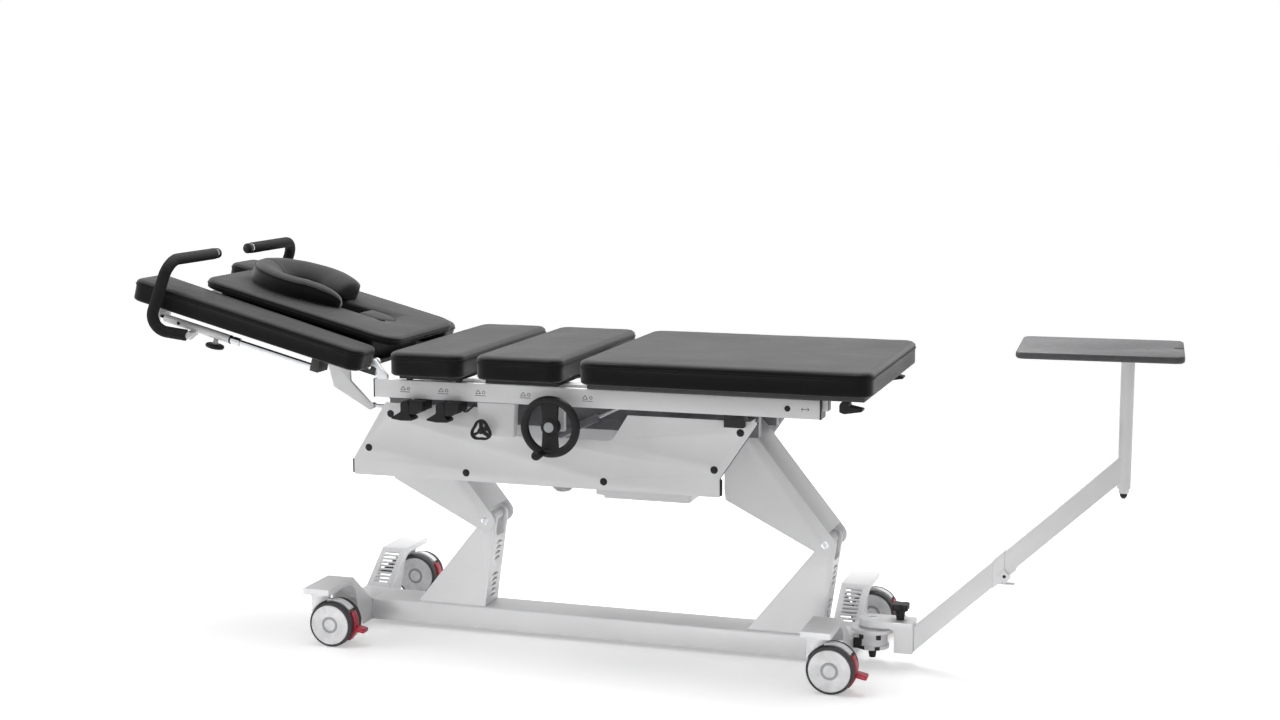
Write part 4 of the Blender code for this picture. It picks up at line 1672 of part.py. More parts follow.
def swivel_bracket(parent):
    """The swinging plate over the index disc, its deep block and the arm's side plate."""
    nose = arc(SWIVEL_X, 0, SWING_PLATE_HALF_WIDTH, pi / 2, 3 * pi / 2, 3 * CORNER_STEPS)
    end = BLOCK_FOOT_X + SIDE_PLATE_THICK
    plate = prism(nose + [(end, -SWING_PLATE_HALF_WIDTH), (end, SWING_PLATE_HALF_WIDTH)], "Z",
                  SWING_PLATE_BASE, SWING_PLATE_TOP)
    boss = cylinder("Z", SWIVEL_X, 0, SWING_BOSS_RADIUS, INDEX_BASE + INDEX_THICK + GAP, SWING_PLATE_BASE + WELD_OVERLAP)
    corner = arc(BLOCK_HEAD_X - BLOCK_ARCH_RADIUS, SWING_PLATE_BASE - BLOCK_ARCH_RADIUS, BLOCK_ARCH_RADIUS,
                 0, pi / 2, CORNER_STEPS)
    outline = [(end, BLOCK_BASE), (end, SWING_PLATE_BASE + WELD_OVERLAP),
               (BLOCK_HEAD_X - BLOCK_ARCH_RADIUS, SWING_PLATE_BASE + WELD_OVERLAP)]
    outline += corner[::-1] + [(BLOCK_HEAD_X, BLOCK_BASE)]
    side = SWING_PLATE_HALF_WIDTH - WELD_OVERLAP / 2
    block = prism(outline, "Y", -side, side)
    body = fuse(plate, boss, block)
    bore = cylinder("Z", SWIVEL_X, 0, SWING_PIN_RADIUS + RUNNING_GAP, INDEX_BASE, SWING_PLATE_TOP + CUT_OVERRUN)
    hole = cylinder("Z", PLUNGER_X, 0, PLUNGER_STEM_RADIUS / 2 + RUNNING_GAP, SWING_PLATE_TOP - 2 * PLUNGER_STEM_RADIUS,
                    SWING_PLATE_TOP + CUT_OVERRUN, SMALL_SIDES)
    finish("swivel_bracket", cut(body, bore, hole), white_paint, parent, (SWIVEL_X, 0, SWING_PLATE_BASE))
    knob = []
    for i in range(32):
        turn = 2 * pi * i / 32
        radius = PLUNGER_RADIUS * (1 - PLUNGER_LOBE_SHARE + PLUNGER_LOBE_SHARE * cos(4 * turn + pi))
        knob.append((PLUNGER_X + radius * cos(turn), radius * sin(turn)))
    head = prism(knob, "Z", PLUNGER_BASE + PLUNGER_HEIGHT / 3, PLUNGER_BASE + PLUNGER_HEIGHT)
    stem = lathe([(0, SWING_PLATE_TOP - 1.5 * PLUNGER_STEM_RADIUS), (PLUNGER_STEM_RADIUS / 2, SWING_PLATE_TOP - 1.5 * PLUNGER_STEM_RADIUS),
                  (PLUNGER_STEM_RADIUS / 2, SWING_PLATE_TOP + GAP), (PLUNGER_STEM_RADIUS, SWING_PLATE_TOP + GAP),
                  (1.4 * PLUNGER_STEM_RADIUS, PLUNGER_BASE + PLUNGER_HEIGHT / 2), (0, PLUNGER_BASE + PLUNGER_HEIGHT / 2)],
                 "Z", PLUNGER_X, 0, SMALL_SIDES + 2)
    finish("plunger_knob", fuse(head, stem), black_plastic, parent, (PLUNGER_X, 0, SWING_PLATE_TOP))


def arm_height(x):
    return ARM_START_Z + (x - BLOCK_FOOT_X - SIDE_PLATE_THICK) * tan(ARM_ANGLE)


def traction_arm(parent):
    """The rising box tube, the post at its end and the hook strap round the tube."""
    x0 = BLOCK_FOOT_X + SIDE_PLATE_THICK + GAP
    x1 = ARM_POST_X - ARM_POST_RADIUS / 3
    rise = ARM_TUBE_DEPTH / 2 / cos(ARM_ANGLE)
    wall = ARM_TUBE_WALL / cos(ARM_ANGLE)
    place = (SWIVEL_X, 0, SWING_PLATE_BASE)

    def slanted(a, b, grow):
        return [(a, arm_height(a) - grow), (b, arm_height(b) - grow), (b, arm_height(b) + grow),
                (a, arm_height(a) + grow)]
    tube = prism(slanted(x0, x1, rise), "Y", -ARM_TUBE_WIDTH / 2, ARM_TUBE_WIDTH / 2)
    inner = prism(slanted(x0 - CUT_OVERRUN, x1 + CUT_OVERRUN, rise - wall), "Y",
                  -ARM_TUBE_WIDTH / 2 + ARM_TUBE_WALL, ARM_TUBE_WIDTH / 2 - ARM_TUBE_WALL)
    tube = cut(tube, inner)

    post_top = TRAY_TOP - TRAY_THICK - TRAY_FLANGE_THICK
    flange = TRAY_FLANGE_RADIUS * 0.6
    tip_top = ARM_POST_BASE - POST_COLLAR_HEIGHT
    post = lathe([(0, tip_top - POST_TIP_HEIGHT), (POST_TIP_RADIUS / 2, tip_top - POST_TIP_HEIGHT),
                  (POST_TIP_RADIUS, tip_top - POST_TIP_HEIGHT / 2), (POST_TIP_RADIUS, tip_top),
                  (POST_COLLAR_RADIUS, tip_top),
                  (POST_COLLAR_RADIUS, ARM_POST_BASE), (ARM_POST_RADIUS, ARM_POST_BASE),
                  (ARM_POST_RADIUS, post_top), (flange, post_top), (flange, TRAY_TOP - TRAY_THICK - GAP),
                  (0, TRAY_TOP - TRAY_THICK - GAP)], "Z", ARM_POST_X, 0)

    middle = BLOCK_FOOT_X + SIDE_PLATE_THICK + HOOK_ALONG * cos(ARM_ANGLE)
    half = HOOK_LENGTH / 2
    around = rise - WELD_OVERLAP
    outer = prism(slanted(middle - half, middle + half, around + wall), "Y",
                  -ARM_TUBE_WIDTH / 2 - HOOK_THICK, ARM_TUBE_WIDTH / 2 + HOOK_THICK)
    inner = prism(slanted(middle - HOOK_LENGTH, middle + HOOK_LENGTH, around), "Y",
                  -ARM_TUBE_WIDTH / 2 + WELD_OVERLAP, ARM_TUBE_WIDTH / 2 - WELD_OVERLAP)
    strap = cut(outer, inner)
    low = arm_height(middle) - around - wall
    tab = prism([(middle - half, low + HOOK_THICK / 2), (middle + half + HOOK_TAB, low + HOOK_THICK / 2),
                 (middle + half + HOOK_TAB, low - HOOK_THICK), (middle - half, low - HOOK_THICK)], "Y",
                -ARM_TUBE_WIDTH / 3, ARM_TUBE_WIDTH / 3)
    tab = cut(tab, prism(slanted(middle - HOOK_LENGTH, middle + 2 * HOOK_LENGTH, around + wall / 2), "Y",
                         -ARM_TUBE_WIDTH / 2, ARM_TUBE_WIDTH / 2))
    finish("traction_arm", fuse(tube, post, strap, tab), white_paint, parent, place)


def tray(parent):
    """The tray for the traction unit, with softened edges and a rope notch in its foot end."""
    x1 = TRAY_HEAD_X + TRAY_LENGTH
    half = TRAY_WIDTH / 2
    outline = rounded(rectangle(TRAY_HEAD_X, x1, TRAY_SHIFT_Y - half, TRAY_SHIFT_Y + half), TRAY_CORNER)
    shape = bmesh.new()
    rows = []
    base = TRAY_TOP - TRAY_THICK
    for inset, z in ((TRAY_EDGE, base), (0, base + TRAY_EDGE), (0, TRAY_TOP - TRAY_EDGE), (TRAY_EDGE / 3, TRAY_TOP - TRAY_EDGE / 3),
                     (TRAY_EDGE, TRAY_TOP)):
        rows.append([shape.verts.new((p.x, p.y, z)) for p in inset_outline(outline, inset)])
    for lower, upper in zip(rows, rows[1:]):
        for i in range(len(lower)):
            j = (i + 1) % len(lower)
            shape.faces.new((lower[i], lower[j], upper[j], upper[i]))
    shape.faces.new(rows[0][::-1])
    shape.faces.new(rows[-1])
    board = raw(shape)
    notch = rounded(rectangle(x1 - TRAY_NOTCH_DEPTH, x1 + TRAY_NOTCH_DEPTH, TRAY_SHIFT_Y - TRAY_NOTCH_WIDTH / 2,
                              TRAY_SHIFT_Y + TRAY_NOTCH_WIDTH / 2), [TRAY_NOTCH_WIDTH / 2, 0, 0, TRAY_NOTCH_WIDTH / 2])
    board = cut(board, prism(notch, "Z", base - CUT_OVERRUN, TRAY_TOP + CUT_OVERRUN))
    pivot = Vector(((TRAY_HEAD_X + x1) / 2, 0, 0))
    board.data.transform(Matrix.Translation(pivot) @ Matrix.Rotation(TRAY_TURN, 4, "Z") @ Matrix.Translation(-pivot))
    finish("tray", board, lambda n: material(n, (0.10, 0.10, 0.105), 0.5), parent, (SWIVEL_X, 0, SWING_PLATE_BASE))


# Assembly


def stand_on_floor(root):
    """Moves the whole table so that its origin is at the middle of its footprint."""
    bpy.context.view_layer.update()
    corners = [obj.matrix_world @ vertex.co for obj in bpy.data.objects if obj.type == "MESH"
               for vertex in obj.data.vertices]
    low = [min(c[k] for c in corners) for k in range(3)]
    high = [max(c[k] for c in corners) for k in range(3)]
    root.location = (-(low[0] + high[0]) / 2, -(low[1] + high[1]) / 2, -low[2])


def main():
    clear_scene()
    root = empty("traction_table", None)
    spine_beam(root)
    for x_side in (-1, 1):
        outrigger(x_side, root)
        post(x_side, root)
        lift_link(x_side, root)
        for y_side in (-1, 1):
            castor(x_side, y_side, root)
    px, pz = upper_pivot(-1)
    lift_origin = (px, 0, pz)
    lift_frame(root, lift_origin)
    for y_side in (-1, 1):
        side_panel(y_side, root, lift_origin)
    control_box(root, lift_origin)
    lift_motor(root, lift_origin)
    top_origin = (CROSS_PLACES[0], 0, TILT_AXIS_Z)
    top_frame(root, top_origin)
    plain_cushion("thoracic_cushion", THORACIC_HEAD_X, thoracic_foot_x(), root, top_origin)
    gear_housing(root, top_origin)
    handwheel(root)
    lock_knob(root)
    lever_housings(root, top_origin)
    for index in (0, 1):
        paddle(index, root)
    tilt_strut(root)
    carriage_origin = (0, 0, INNER_RAIL_TOP)
    carriage(root, carriage_origin)
    plain_cushion("lumbar_cushion", lumbar_head_x(), lumbar_foot_x(), root, carriage_origin)
    leg_board(root)
    plain_cushion("leg_cushion", leg_head_x(), leg_foot_x(), root, (LEG_HINGE_X, 0, LEG_HINGE_Z))
    for y_side in (-1, 1):
        foot_lever(y_side, root)
    pivot = empty("head_pivot", root, (HEAD_HINGE_X, 0, HEAD_HINGE_Z), HEAD_TILT)
    head_frame(pivot)
    head_upholstery(pivot)
    head_spring(root, top_origin, pivot)
    for y_side in (-1, 1):
        grip(y_side, pivot)
    index_hub(root)
    swivel_bracket(root)
    traction_arm(root)
    tray(root)
    stand_on_floor(root)


main()
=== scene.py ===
from math import atan2, cos, hypot, pi, radians, sin, tan

import bmesh
import bpy
import numpy as np
from mathutils import Matrix, Vector, noise


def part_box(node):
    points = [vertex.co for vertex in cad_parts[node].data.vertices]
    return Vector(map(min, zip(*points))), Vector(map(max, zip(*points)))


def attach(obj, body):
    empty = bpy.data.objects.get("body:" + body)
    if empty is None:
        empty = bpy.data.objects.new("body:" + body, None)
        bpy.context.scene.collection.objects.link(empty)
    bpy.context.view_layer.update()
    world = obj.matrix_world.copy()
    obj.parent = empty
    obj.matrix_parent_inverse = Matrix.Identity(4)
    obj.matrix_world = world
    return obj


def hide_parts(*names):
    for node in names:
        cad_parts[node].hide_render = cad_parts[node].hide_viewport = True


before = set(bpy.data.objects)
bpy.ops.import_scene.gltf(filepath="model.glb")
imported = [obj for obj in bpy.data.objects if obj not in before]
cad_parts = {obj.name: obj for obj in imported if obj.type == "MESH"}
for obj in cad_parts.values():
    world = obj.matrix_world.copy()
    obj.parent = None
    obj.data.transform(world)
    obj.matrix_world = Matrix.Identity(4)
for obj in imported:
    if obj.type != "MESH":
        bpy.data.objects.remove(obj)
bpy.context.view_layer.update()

bl_info = {
    "name": "Traction Table Dressing",
    "version": (1, 0, 0),
    "blender": (4, 5, 0),
    "location": "View3D > Sidebar > Traction Table",
    "description": "Upholstery, castors, controls, finishes and studio for the traction table frame",
    "category": "Object",
}

# Places in the table's drawing, which the frame holds shifted to the middle of its footprint
WHEELBASE = 1.398
TRACK = 0.566
_low, _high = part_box("castor_left_near_wheels")
SHIFT = Vector(((_low.x + _high.x) / 2 + WHEELBASE / 2, (_low.y + _high.y) / 2 + TRACK / 2, 0))
HEAD_HINGE_X = -0.575
HEAD_HINGE_Z = 0.790
HEAD_TILT = radians(14.5)
HEAD_MOVE = (Matrix.Translation((HEAD_HINGE_X, 0, HEAD_HINGE_Z)) @ Matrix.Rotation(HEAD_TILT, 4, "Y")
             @ Matrix.Translation((-HEAD_HINGE_X, 0, -HEAD_HINGE_Z)))
SIDES = ((-1, "near"), (1, "far"))
ENDS = ((-1, "left"), (1, "right"))
MERGE = 0.00002
TINY = 1e-9
BEVEL_FROM = radians(32)

# Sizes and places of the drawing that several pieces share
HUB_X = 0.7486
RAIL_INNER_Y = 0.2535
RAIL_OUTER_Y = 0.2703
RAIL_BASE = 0.6963
RAIL_TOP = 0.7469
RAIL_SCREW = (0.572, 0.7215)
PAD_BASE = 0.7645
COUCH_SEAM = 0.8135
BOLSTER_SEAM = 0.811
HEAD_SEAM = 0.843
TONGUE_SEAM = 0.844
FACE_SLOT = ((-0.958, 0), (-0.702, 0))
FACE_SLOT_RADIUS = 0.047
SLIDE_TUBE_Y = 0.300
SLIDE_TUBE_Z = 0.735


# Shapes


def face_loop(shape, lower, upper, index=0):
    """A band of faces between two closed loops of vertices."""
    count = len(lower)
    for i in range(count):
        j = (i + 1) % count
        corners = list(dict.fromkeys((lower[i], lower[j], upper[j], upper[i])))
        if len(corners) > 2:
            shape.faces.new(corners).material_index = index


def skin(shape, rows, index=0, closed=False, ends=False):
    """Bands of faces from loop to loop; closed joins the last to the first, ends puts a face on both."""
    for lower, upper in zip(rows, rows[1:] + rows[:1] if closed else rows[1:]):
        face_loop(shape, lower, upper, index)
    if ends:
        shape.faces.new(rows[0][::-1]).material_index = index
        shape.faces.new(rows[-1]).material_index = index


def turns(count):
    return [2 * pi * k / count for k in range(count)]


def moved(profile, base):
    """A lathe's profile with its reaches counted from the base."""
    return [(radius, base + reach) for radius, reach in profile]


def rectangle(x0, x1, half):
    return [(x0, -half), (x1, -half), (x1, half), (x0, half)]


AXES = {"X": (1, 2, 0), "Y": (0, 2, 1), "Z": (0, 1, 2)}


def point_on(axis, a, b, along):
    point = [0, 0, 0]
    first, second, third = AXES[axis]
    point[first], point[second], point[third] = a, b, along
    return Vector(point)


def lathe(shape, profile, axis, a, b, sides, indexes=None, base=0, way=1):
    """A turned body added to the shape; the profile is (radius, reach from the base), indexes one per band."""
    rows = []
    for radius, reach in profile:
        along = base + way * reach
        if radius == 0:
            rows.append([shape.verts.new(point_on(axis, a, b, along))] * sides)
        else:
            rows.append([shape.verts.new(point_on(axis, a + radius * cos(t), b + radius * sin(t), along))
                         for t in turns(sides)])
    for band, (lower, upper) in enumerate(zip(rows, rows[1:])):
        face_loop(shape, lower, upper, indexes[band] if indexes else 0)


def prism(shape, outline, axis, low, high, index=0):
    """The outline, in the plane across the axis, extruded from low to high."""
    bottom = [shape.verts.new(point_on(axis, a, b, low)) for a, b in outline]
    top = [shape.verts.new(point_on(axis, a, b, high)) for a, b in outline]
    shape.faces.new(bottom).material_index = index
    shape.faces.new(top[::-1]).material_index = index
    face_loop(shape, bottom, top, index)


def block(shape, x0, x1, y0, y1, z0, z1):
    prism(shape, [(x0, y0), (x1, y0), (x1, y1), (x0, y1)], "Z", z0, z1)


def tube(shape, path, radius, sides, index=0, closed=False):
    """A round bar along the path; the radius is one number or one for each point."""
    path = [Vector(p) for p in path]
    count = len(path)
    rings = []
    side = None
    for i, here in enumerate(path):
        ahead = path[(i + 1) % count] if closed else path[min(i + 1, count - 1)]
        behind = path[i - 1] if closed else path[max(i - 1, 0)]
        run = (ahead - behind).normalized()
        side = side or run.orthogonal().normalized()
        side = (side - run * side.dot(run)).normalized()
        up = side.cross(run)
        wide = radius[i] if isinstance(radius, (list, tuple)) else radius
        rings.append([shape.verts.new(here + side * (wide * cos(t)) + up * (wide * sin(t))) for t in turns(sides)])
    skin(shape, rings, index, ends=not closed)
    if closed:
        first, last = rings[0], rings[-1]
        turn = min(range(sides), key=lambda k: (first[k].co - last[0].co).length)
        face_loop(shape, last, first[turn:] + first[:turn], index)


def arc(a, b, radius, start, stop, steps):
    return [(a + radius * cos(start + (stop - start) * i / steps),
             b + radius * sin(start + (stop - start) * i / steps)) for i in range(steps + 1)]


def rounded(points, radii, steps=10):
    """The polygon with each corner replaced by an arc of its radius."""
    result = []
    count = len(points)
    for i, corner in enumerate(points):
        radius = radii[i] if isinstance(radii, (list, tuple)) else radii
        here = Vector(corner)
        before = Vector(points[i - 1]) - here
        after = Vector(points[(i + 1) % count]) - here
        angle = before.angle(after)
        reach = min(radius / tan(angle / 2), before.length / 2, after.length / 2)
        fitted = reach * tan(angle / 2)
        centre = here + (before.normalized() + after.normalized()).normalized() * (fitted / sin(angle / 2))
        first = here + before.normalized() * reach - centre
        last = here + after.normalized() * reach - centre
        start = atan2(first.y, first.x)
        turn = (atan2(last.y, last.x) - start + pi) % (2 * pi) - pi
        result += [(centre.x + fitted * cos(start + turn * k / steps),
                    centre.y + fitted * sin(start + turn * k / steps)) for k in range(steps + 1)]
    return result


def bent_path(points, bend, steps):
    """Straight runs joined by arcs of the bend radius."""
    path = [Vector(points[0])]
    for before, corner, after in zip(points, points[1:], points[2:]):
        here = Vector(corner)
        back = (Vector(before) - here).normalized()
        forth = (Vector(after) - here).normalized()
        angle = back.angle(forth)
        reach = min(bend / tan(angle / 2), (Vector(before) - here).length / 2, (Vector(after) - here).length / 2)
        fitted = reach * tan(angle / 2)
        centre = here + (back + forth).normalized() * (fitted / sin(angle / 2))
        start = here + back * reach - centre
        stop = here + forth * reach - centre
        turn = start.angle(stop)
        path += [centre + (start * sin((1 - k / steps) * turn) + stop * sin(k / steps * turn)) / sin(turn)
                 for k in range(steps + 1)]
    path.append(Vector(points[-1]))
    return path


def resampled(points, count):
    """A closed polygon as evenly spaced points."""
    array = np.array([tuple(p) for p in points] + [tuple(points[0])], float)
    lengths = np.r_[0, np.cumsum(np.linalg.norm(np.diff(array, axis=0), axis=1))]
    wanted = np.linspace(0, lengths[-1], count, endpoint=False)
    return np.stack([np.interp(wanted, lengths, array[:, k]) for k in range(array.shape[1])], 1)


def edge_distance(points, outline):
    """Distance of each point from a closed polygon."""
    a = outline
    b = np.roll(outline, -1, axis=0)
    run = b - a
    best = np.full(len(points), np.inf)
    for start, step in zip(a, run):
        size = max(float(step @ step), 1e-12)
        share = np.clip((points - start) @ step / size, 0, 1)
        best = np.minimum(best, np.linalg.norm(points - start - share[:, None] * step, axis=1))
    return best


def as_mesh(shape, name):
    """The shape as a mesh, with its points merged and its faces turned outwards."""
    bmesh.ops.remove_doubles(shape, verts=shape.verts, dist=MERGE)
    bmesh.ops.recalc_face_normals(shape, faces=shape.faces)
    mesh = bpy.data.meshes.new(name)
    shape.to_mesh(mesh)
    shape.free()
    return mesh


def added(name, data):
    """A new object in the scene."""
    made = bpy.data.objects.new(name, data)
    bpy.context.scene.collection.objects.link(made)
    return made


def evaluated_mesh(source):
    """What the object's modifiers make of it."""
    return bpy.data.meshes.new_from_object(source.evaluated_get(bpy.context.evaluated_depsgraph_get()))


def softened(piece, width, segments):
    """Bevels the piece's sharp edges for good."""
    change = piece.modifiers.new("edges", "BEVEL")
    change.width = width
    change.segments = segments
    change.limit_method = "ANGLE"
    change.angle_limit = BEVEL_FROM
    change.use_clamp_overlap = True
    change.harden_normals = False
    mesh = evaluated_mesh(piece)
    piece.modifiers.clear()
    piece.data = mesh
    mesh.name = piece.name


def dressed(shape, name, looks, body, slot, stands_for=(), tilted=False, placed=False, angle=35, bevel=0.0,
            segments=2):
    """Turns the shape into a finished piece: merged, placed, shaded, given its looks and hung on its body."""
    mesh = as_mesh(shape, name)
    if not placed:
        if tilted:
            mesh.transform(HEAD_MOVE)
        mesh.transform(Matrix.Translation(SHIFT))
    for look in looks:
        mesh.materials.append(look)
    piece = added(name, mesh)
    if bevel:
        softened(piece, bevel, segments)
    piece.data.shade_smooth()
    piece.data.set_sharp_from_angle(angle=radians(angle))
    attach(piece, body)
    if stands_for:
        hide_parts(*([stands_for] if isinstance(stands_for, str) else stands_for))
    return piece


def cad_copy(node):
    """A merged copy of a CAD node's mesh with its flat faces joined, in the row's frame."""
    shape = bmesh.new()
    shape.from_mesh(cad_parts[node].data)
    bmesh.ops.remove_doubles(shape, verts=shape.verts, dist=MERGE)
    bmesh.ops.dissolve_limit(shape, angle_limit=radians(0.6), verts=shape.verts, edges=shape.edges)
    return shape


def paint_where(shape, index, test, tilted=False):
    """Gives a material index to the faces of a copy whose middle passes the test, in drawing places."""
    back = HEAD_MOVE.inverted() if tilted else Matrix.Identity(4)
    for face in shape.faces:
        if test(back @ (face.calc_center_median() - SHIFT)):
            face.material_index = index


# Nodes


def new_node(tree, kind, values=(), **settings):
    """A node with its settings and the values of its unlinked inputs."""
    node = tree.nodes.new(kind)
    for key, value in settings.items():
        setattr(node, key, value)
    for key, value in dict(values).items():
        node.inputs[key].default_value = value
    return node


def wire(tree, *wires):
    """Links between nodes, each given as node, output, node, input."""
    for source, output, target, socket in wires:
        tree.links.new(source.outputs[output], target.inputs[socket])


def scatter_group(name, material, *numbers):
    """Geometry Nodes that set copies on points: the tree, its input and copying nodes, its numbers' sockets."""
    tree = bpy.data.node_groups.new(name, "GeometryNodeTree")
    socket = tree.interface.new_socket
    socket("Geometry", in_out="INPUT", socket_type="NodeSocketGeometry")
    sockets = [socket(number, in_out="INPUT", socket_type="NodeSocketFloat").identifier for number in numbers]
    socket("Geometry", in_out="OUTPUT", socket_type="NodeSocketGeometry")
    start, end = new_node(tree, "NodeGroupInput"), new_node(tree, "NodeGroupOutput")
    place = new_node(tree, "GeometryNodeInstanceOnPoints")
    real = new_node(tree, "GeometryNodeRealizeInstances")
    paint = new_node(tree, "GeometryNodeSetMaterial", {"Material": material})
    wire(tree, (place, "Instances", real, "Geometry"), (real, "Geometry", paint, "Geometry"),
         (paint, "Geometry", end, "Geometry"))
    return tree, start, place, sockets


def grown(name, data, tree, sockets, sizes):
    """What the node group makes of a curve or a mesh, as a new shape."""
    source = added(name, data)
    change = source.modifiers.new("nodes", "NODES")
    change.node_group = tree
    for socket, size in zip(sockets, sizes):
        change[socket] = size
    shape = bmesh.new()
    shape.from_mesh(evaluated_mesh(source))
    bpy.data.objects.remove(source, do_unlink=True)
    for face in shape.faces:
        face.material_index = 0
    return shape


# Finishes


def shade(colour, factor):
    return tuple(min(1.0, c * factor) for c in colour[:3])


class Finish:
    """A node-built material with its shader, coordinates and helpers."""

    def __init__(self, name, roughness, metallic=0.0, coat=0.0, specular=0.5):
        self.material = bpy.data.materials.new(name)
        self.material.use_nodes = True
        self.tree = self.material.node_tree
        self.shader = self.tree.nodes["Principled BSDF"]
        for socket, value in (("Roughness", roughness), ("Metallic", metallic), ("Coat Weight", coat),
                              ("Specular IOR Level", specular)):
            self.shader.inputs[socket].default_value = value
        self.place = new_node(self.tree, "ShaderNodeTexCoord").outputs["Object"]

    def made(self, kind, output, links, values, **settings):
        """The output of a new node with its linked inputs and the values of the others."""
        node = new_node(self.tree, kind, values, **settings)
        for socket, source in links.items():
            self.tree.links.new(source, node.inputs[socket])
        return node.outputs[output]

    def noise(self, scale, detail=3.0, roughness=0.55, stretch=(1, 1, 1)):
        place = self.made("ShaderNodeMapping", "Vector", {"Vector": self.place}, {"Scale": stretch})
        return self.made("ShaderNodeTexNoise", "Fac", {"Vector": place},
                         {"Scale": scale, "Detail": detail, "Roughness": roughness})

    def cells(self, scale):
        return self.made("ShaderNodeTexVoronoi", "Distance", {"Vector": self.place}, {"Scale": scale})

    def bump(self, height, distance, strength, below=None):
        links = {"Height": height} if below is None else {"Height": height, "Normal": below}
        return self.made("ShaderNodeBump", "Normal", links, {"Strength": strength, "Distance": distance})

    def soft_edges(self, radius):
        return self.made("ShaderNodeBevel", "Normal", {}, {"Radius": radius}, samples=4)

    def tint(self, colour, factor, *stops):
        """A base colour that wanders between two shades, each stop a place on the ramp and a shade."""
        ramp = new_node(self.tree, "ShaderNodeValToRGB")
        for element, (spot, depth) in zip(ramp.color_ramp.elements, stops):
            element.position = spot
            element.color = (*shade(colour, depth), 1.0)
        self.tree.links.new(factor, ramp.inputs["Fac"])
        self.set("Base Color", ramp.outputs["Color"])
        self.material.diffuse_color = (*colour[:3], 1.0)

    def roughen(self, factor, low, high):
        """A roughness that wanders between two values."""
        self.set("Roughness", self.made("ShaderNodeMapRange", "Result", {"Value": factor},
                                        {"To Min": low, "To Max": high}))

    def set(self, socket, output):
        self.tree.links.new(output, self.shader.inputs[socket])


def powder_coat(name, colour):
    """Smooth white powder coat: faint orange peel, soft folded edges, a trace of handling grime."""
    look = Finish(name, 0.4, coat=0.12)
    look.tint(colour, look.noise(7.0, 4.0), (0.3, 0.965), (0.7, 1.015))
    look.roughen(look.noise(26.0), 0.34, 0.46)
    look.set("Normal", look.bump(look.noise(520.0, 2.0), 0.00012, 0.5, look.soft_edges(0.0011)))
    return look.material


def upholstery_vinyl(name, colour, sheen=0.28):
    """Black vinyl: fine leather grain in cells, long soft creases, patches polished by use."""
    look = Finish(name, 0.45, specular=0.06)
    look.shader.inputs["Sheen Weight"].default_value = sheen
    look.shader.inputs["Sheen Roughness"].default_value = 0.5
    look.tint(colour, look.noise(8.0, 5.0, 0.6), (0.25, 0.8), (0.75, 1.35))
    look.roughen(look.noise(5.5, 6.0, 0.62), 0.33, 0.56)
    creases = look.bump(look.noise(24.0, 3.0, 0.5, (1.0, 0.35, 1.0)), 0.0022, 0.25)
    grain = look.bump(look.cells(900.0), 0.00035, 0.55, creases)
    look.set("Normal", look.bump(look.noise(2200.0, 2.0), 0.0001, 0.5, grain))
    return look.material


def moulded_plastic(name, colour, roughness=0.45, specular=0.5):
    """Moulded plastic: spark-eroded texture and slightly polished edges."""
    look = Finish(name, roughness, specular=specular)
    look.tint(colour, look.noise(30.0), (0.3, 0.85), (0.7, 1.18))
    look.roughen(look.noise(60.0), roughness - 0.07, roughness + 0.08)
    look.set("Normal", look.bump(look.noise(1500.0, 2.0), 0.00006, 0.8, look.soft_edges(0.0007)))
    return look.material


def rubber(name, colour):
    """Dull rubber or thread: fine uneven skin without gloss."""
    look = Finish(name, 0.7, specular=0.35)
    look.tint(colour, look.noise(40.0, 4.0), (0.3, 0.8), (0.7, 1.2))
    look.roughen(look.noise(90.0), 0.6, 0.82)
    look.set("Normal", look.bump(look.noise(900.0), 0.00012, 0.7))
    return look.material


def foam_sleeve(name, colour):
    """Closed-cell foam grip: small open pores and a dull skin."""
    look = Finish(name, 0.75, specular=0.15)
    look.tint(colour, look.noise(120.0), (0.3, 0.8), (0.75, 1.3))
    look.roughen(look.noise(50.0), 0.62, 0.85)
    pores = look.bump(look.cells(1400.0), 0.00025, 0.6)
    look.set("Normal", look.bump(look.noise(14.0, 2.0), 0.0012, 0.3, pores))
    return look.material


def polished_metal(name, colour, roughness=0.12):
    """Bright ground steel with fine lines across it."""
    look = Finish(name, roughness, metallic=1.0)
    look.tint(colour, look.noise(20.0, 2.0), (0.3, 0.93), (0.7, 1.05))
    look.roughen(look.noise(300.0, 2.0, 0.5, (1.0, 6.0, 1.0)), roughness * 0.7, roughness * 1.7)
    look.set("Normal", look.bump(look.noise(700.0, 2.0), 0.00002, 0.5, look.soft_edges(0.0005)))
    return look.material


def coated_board(name, colour, roughness=0.6):
    """Coated board: a pebbled, slightly mottled surface."""
    look = Finish(name, roughness)
    look.tint(colour, look.noise(60.0, 5.0, 0.6), (0.3, 0.8), (0.7, 1.25))
    look.roughen(look.noise(35.0, 4.0), roughness - 0.1, roughness + 0.1)
    look.set("Normal", look.bump(look.cells(600.0), 0.00015, 0.5, look.soft_edges(0.0012)))
    return look.material


LOOKS = {}


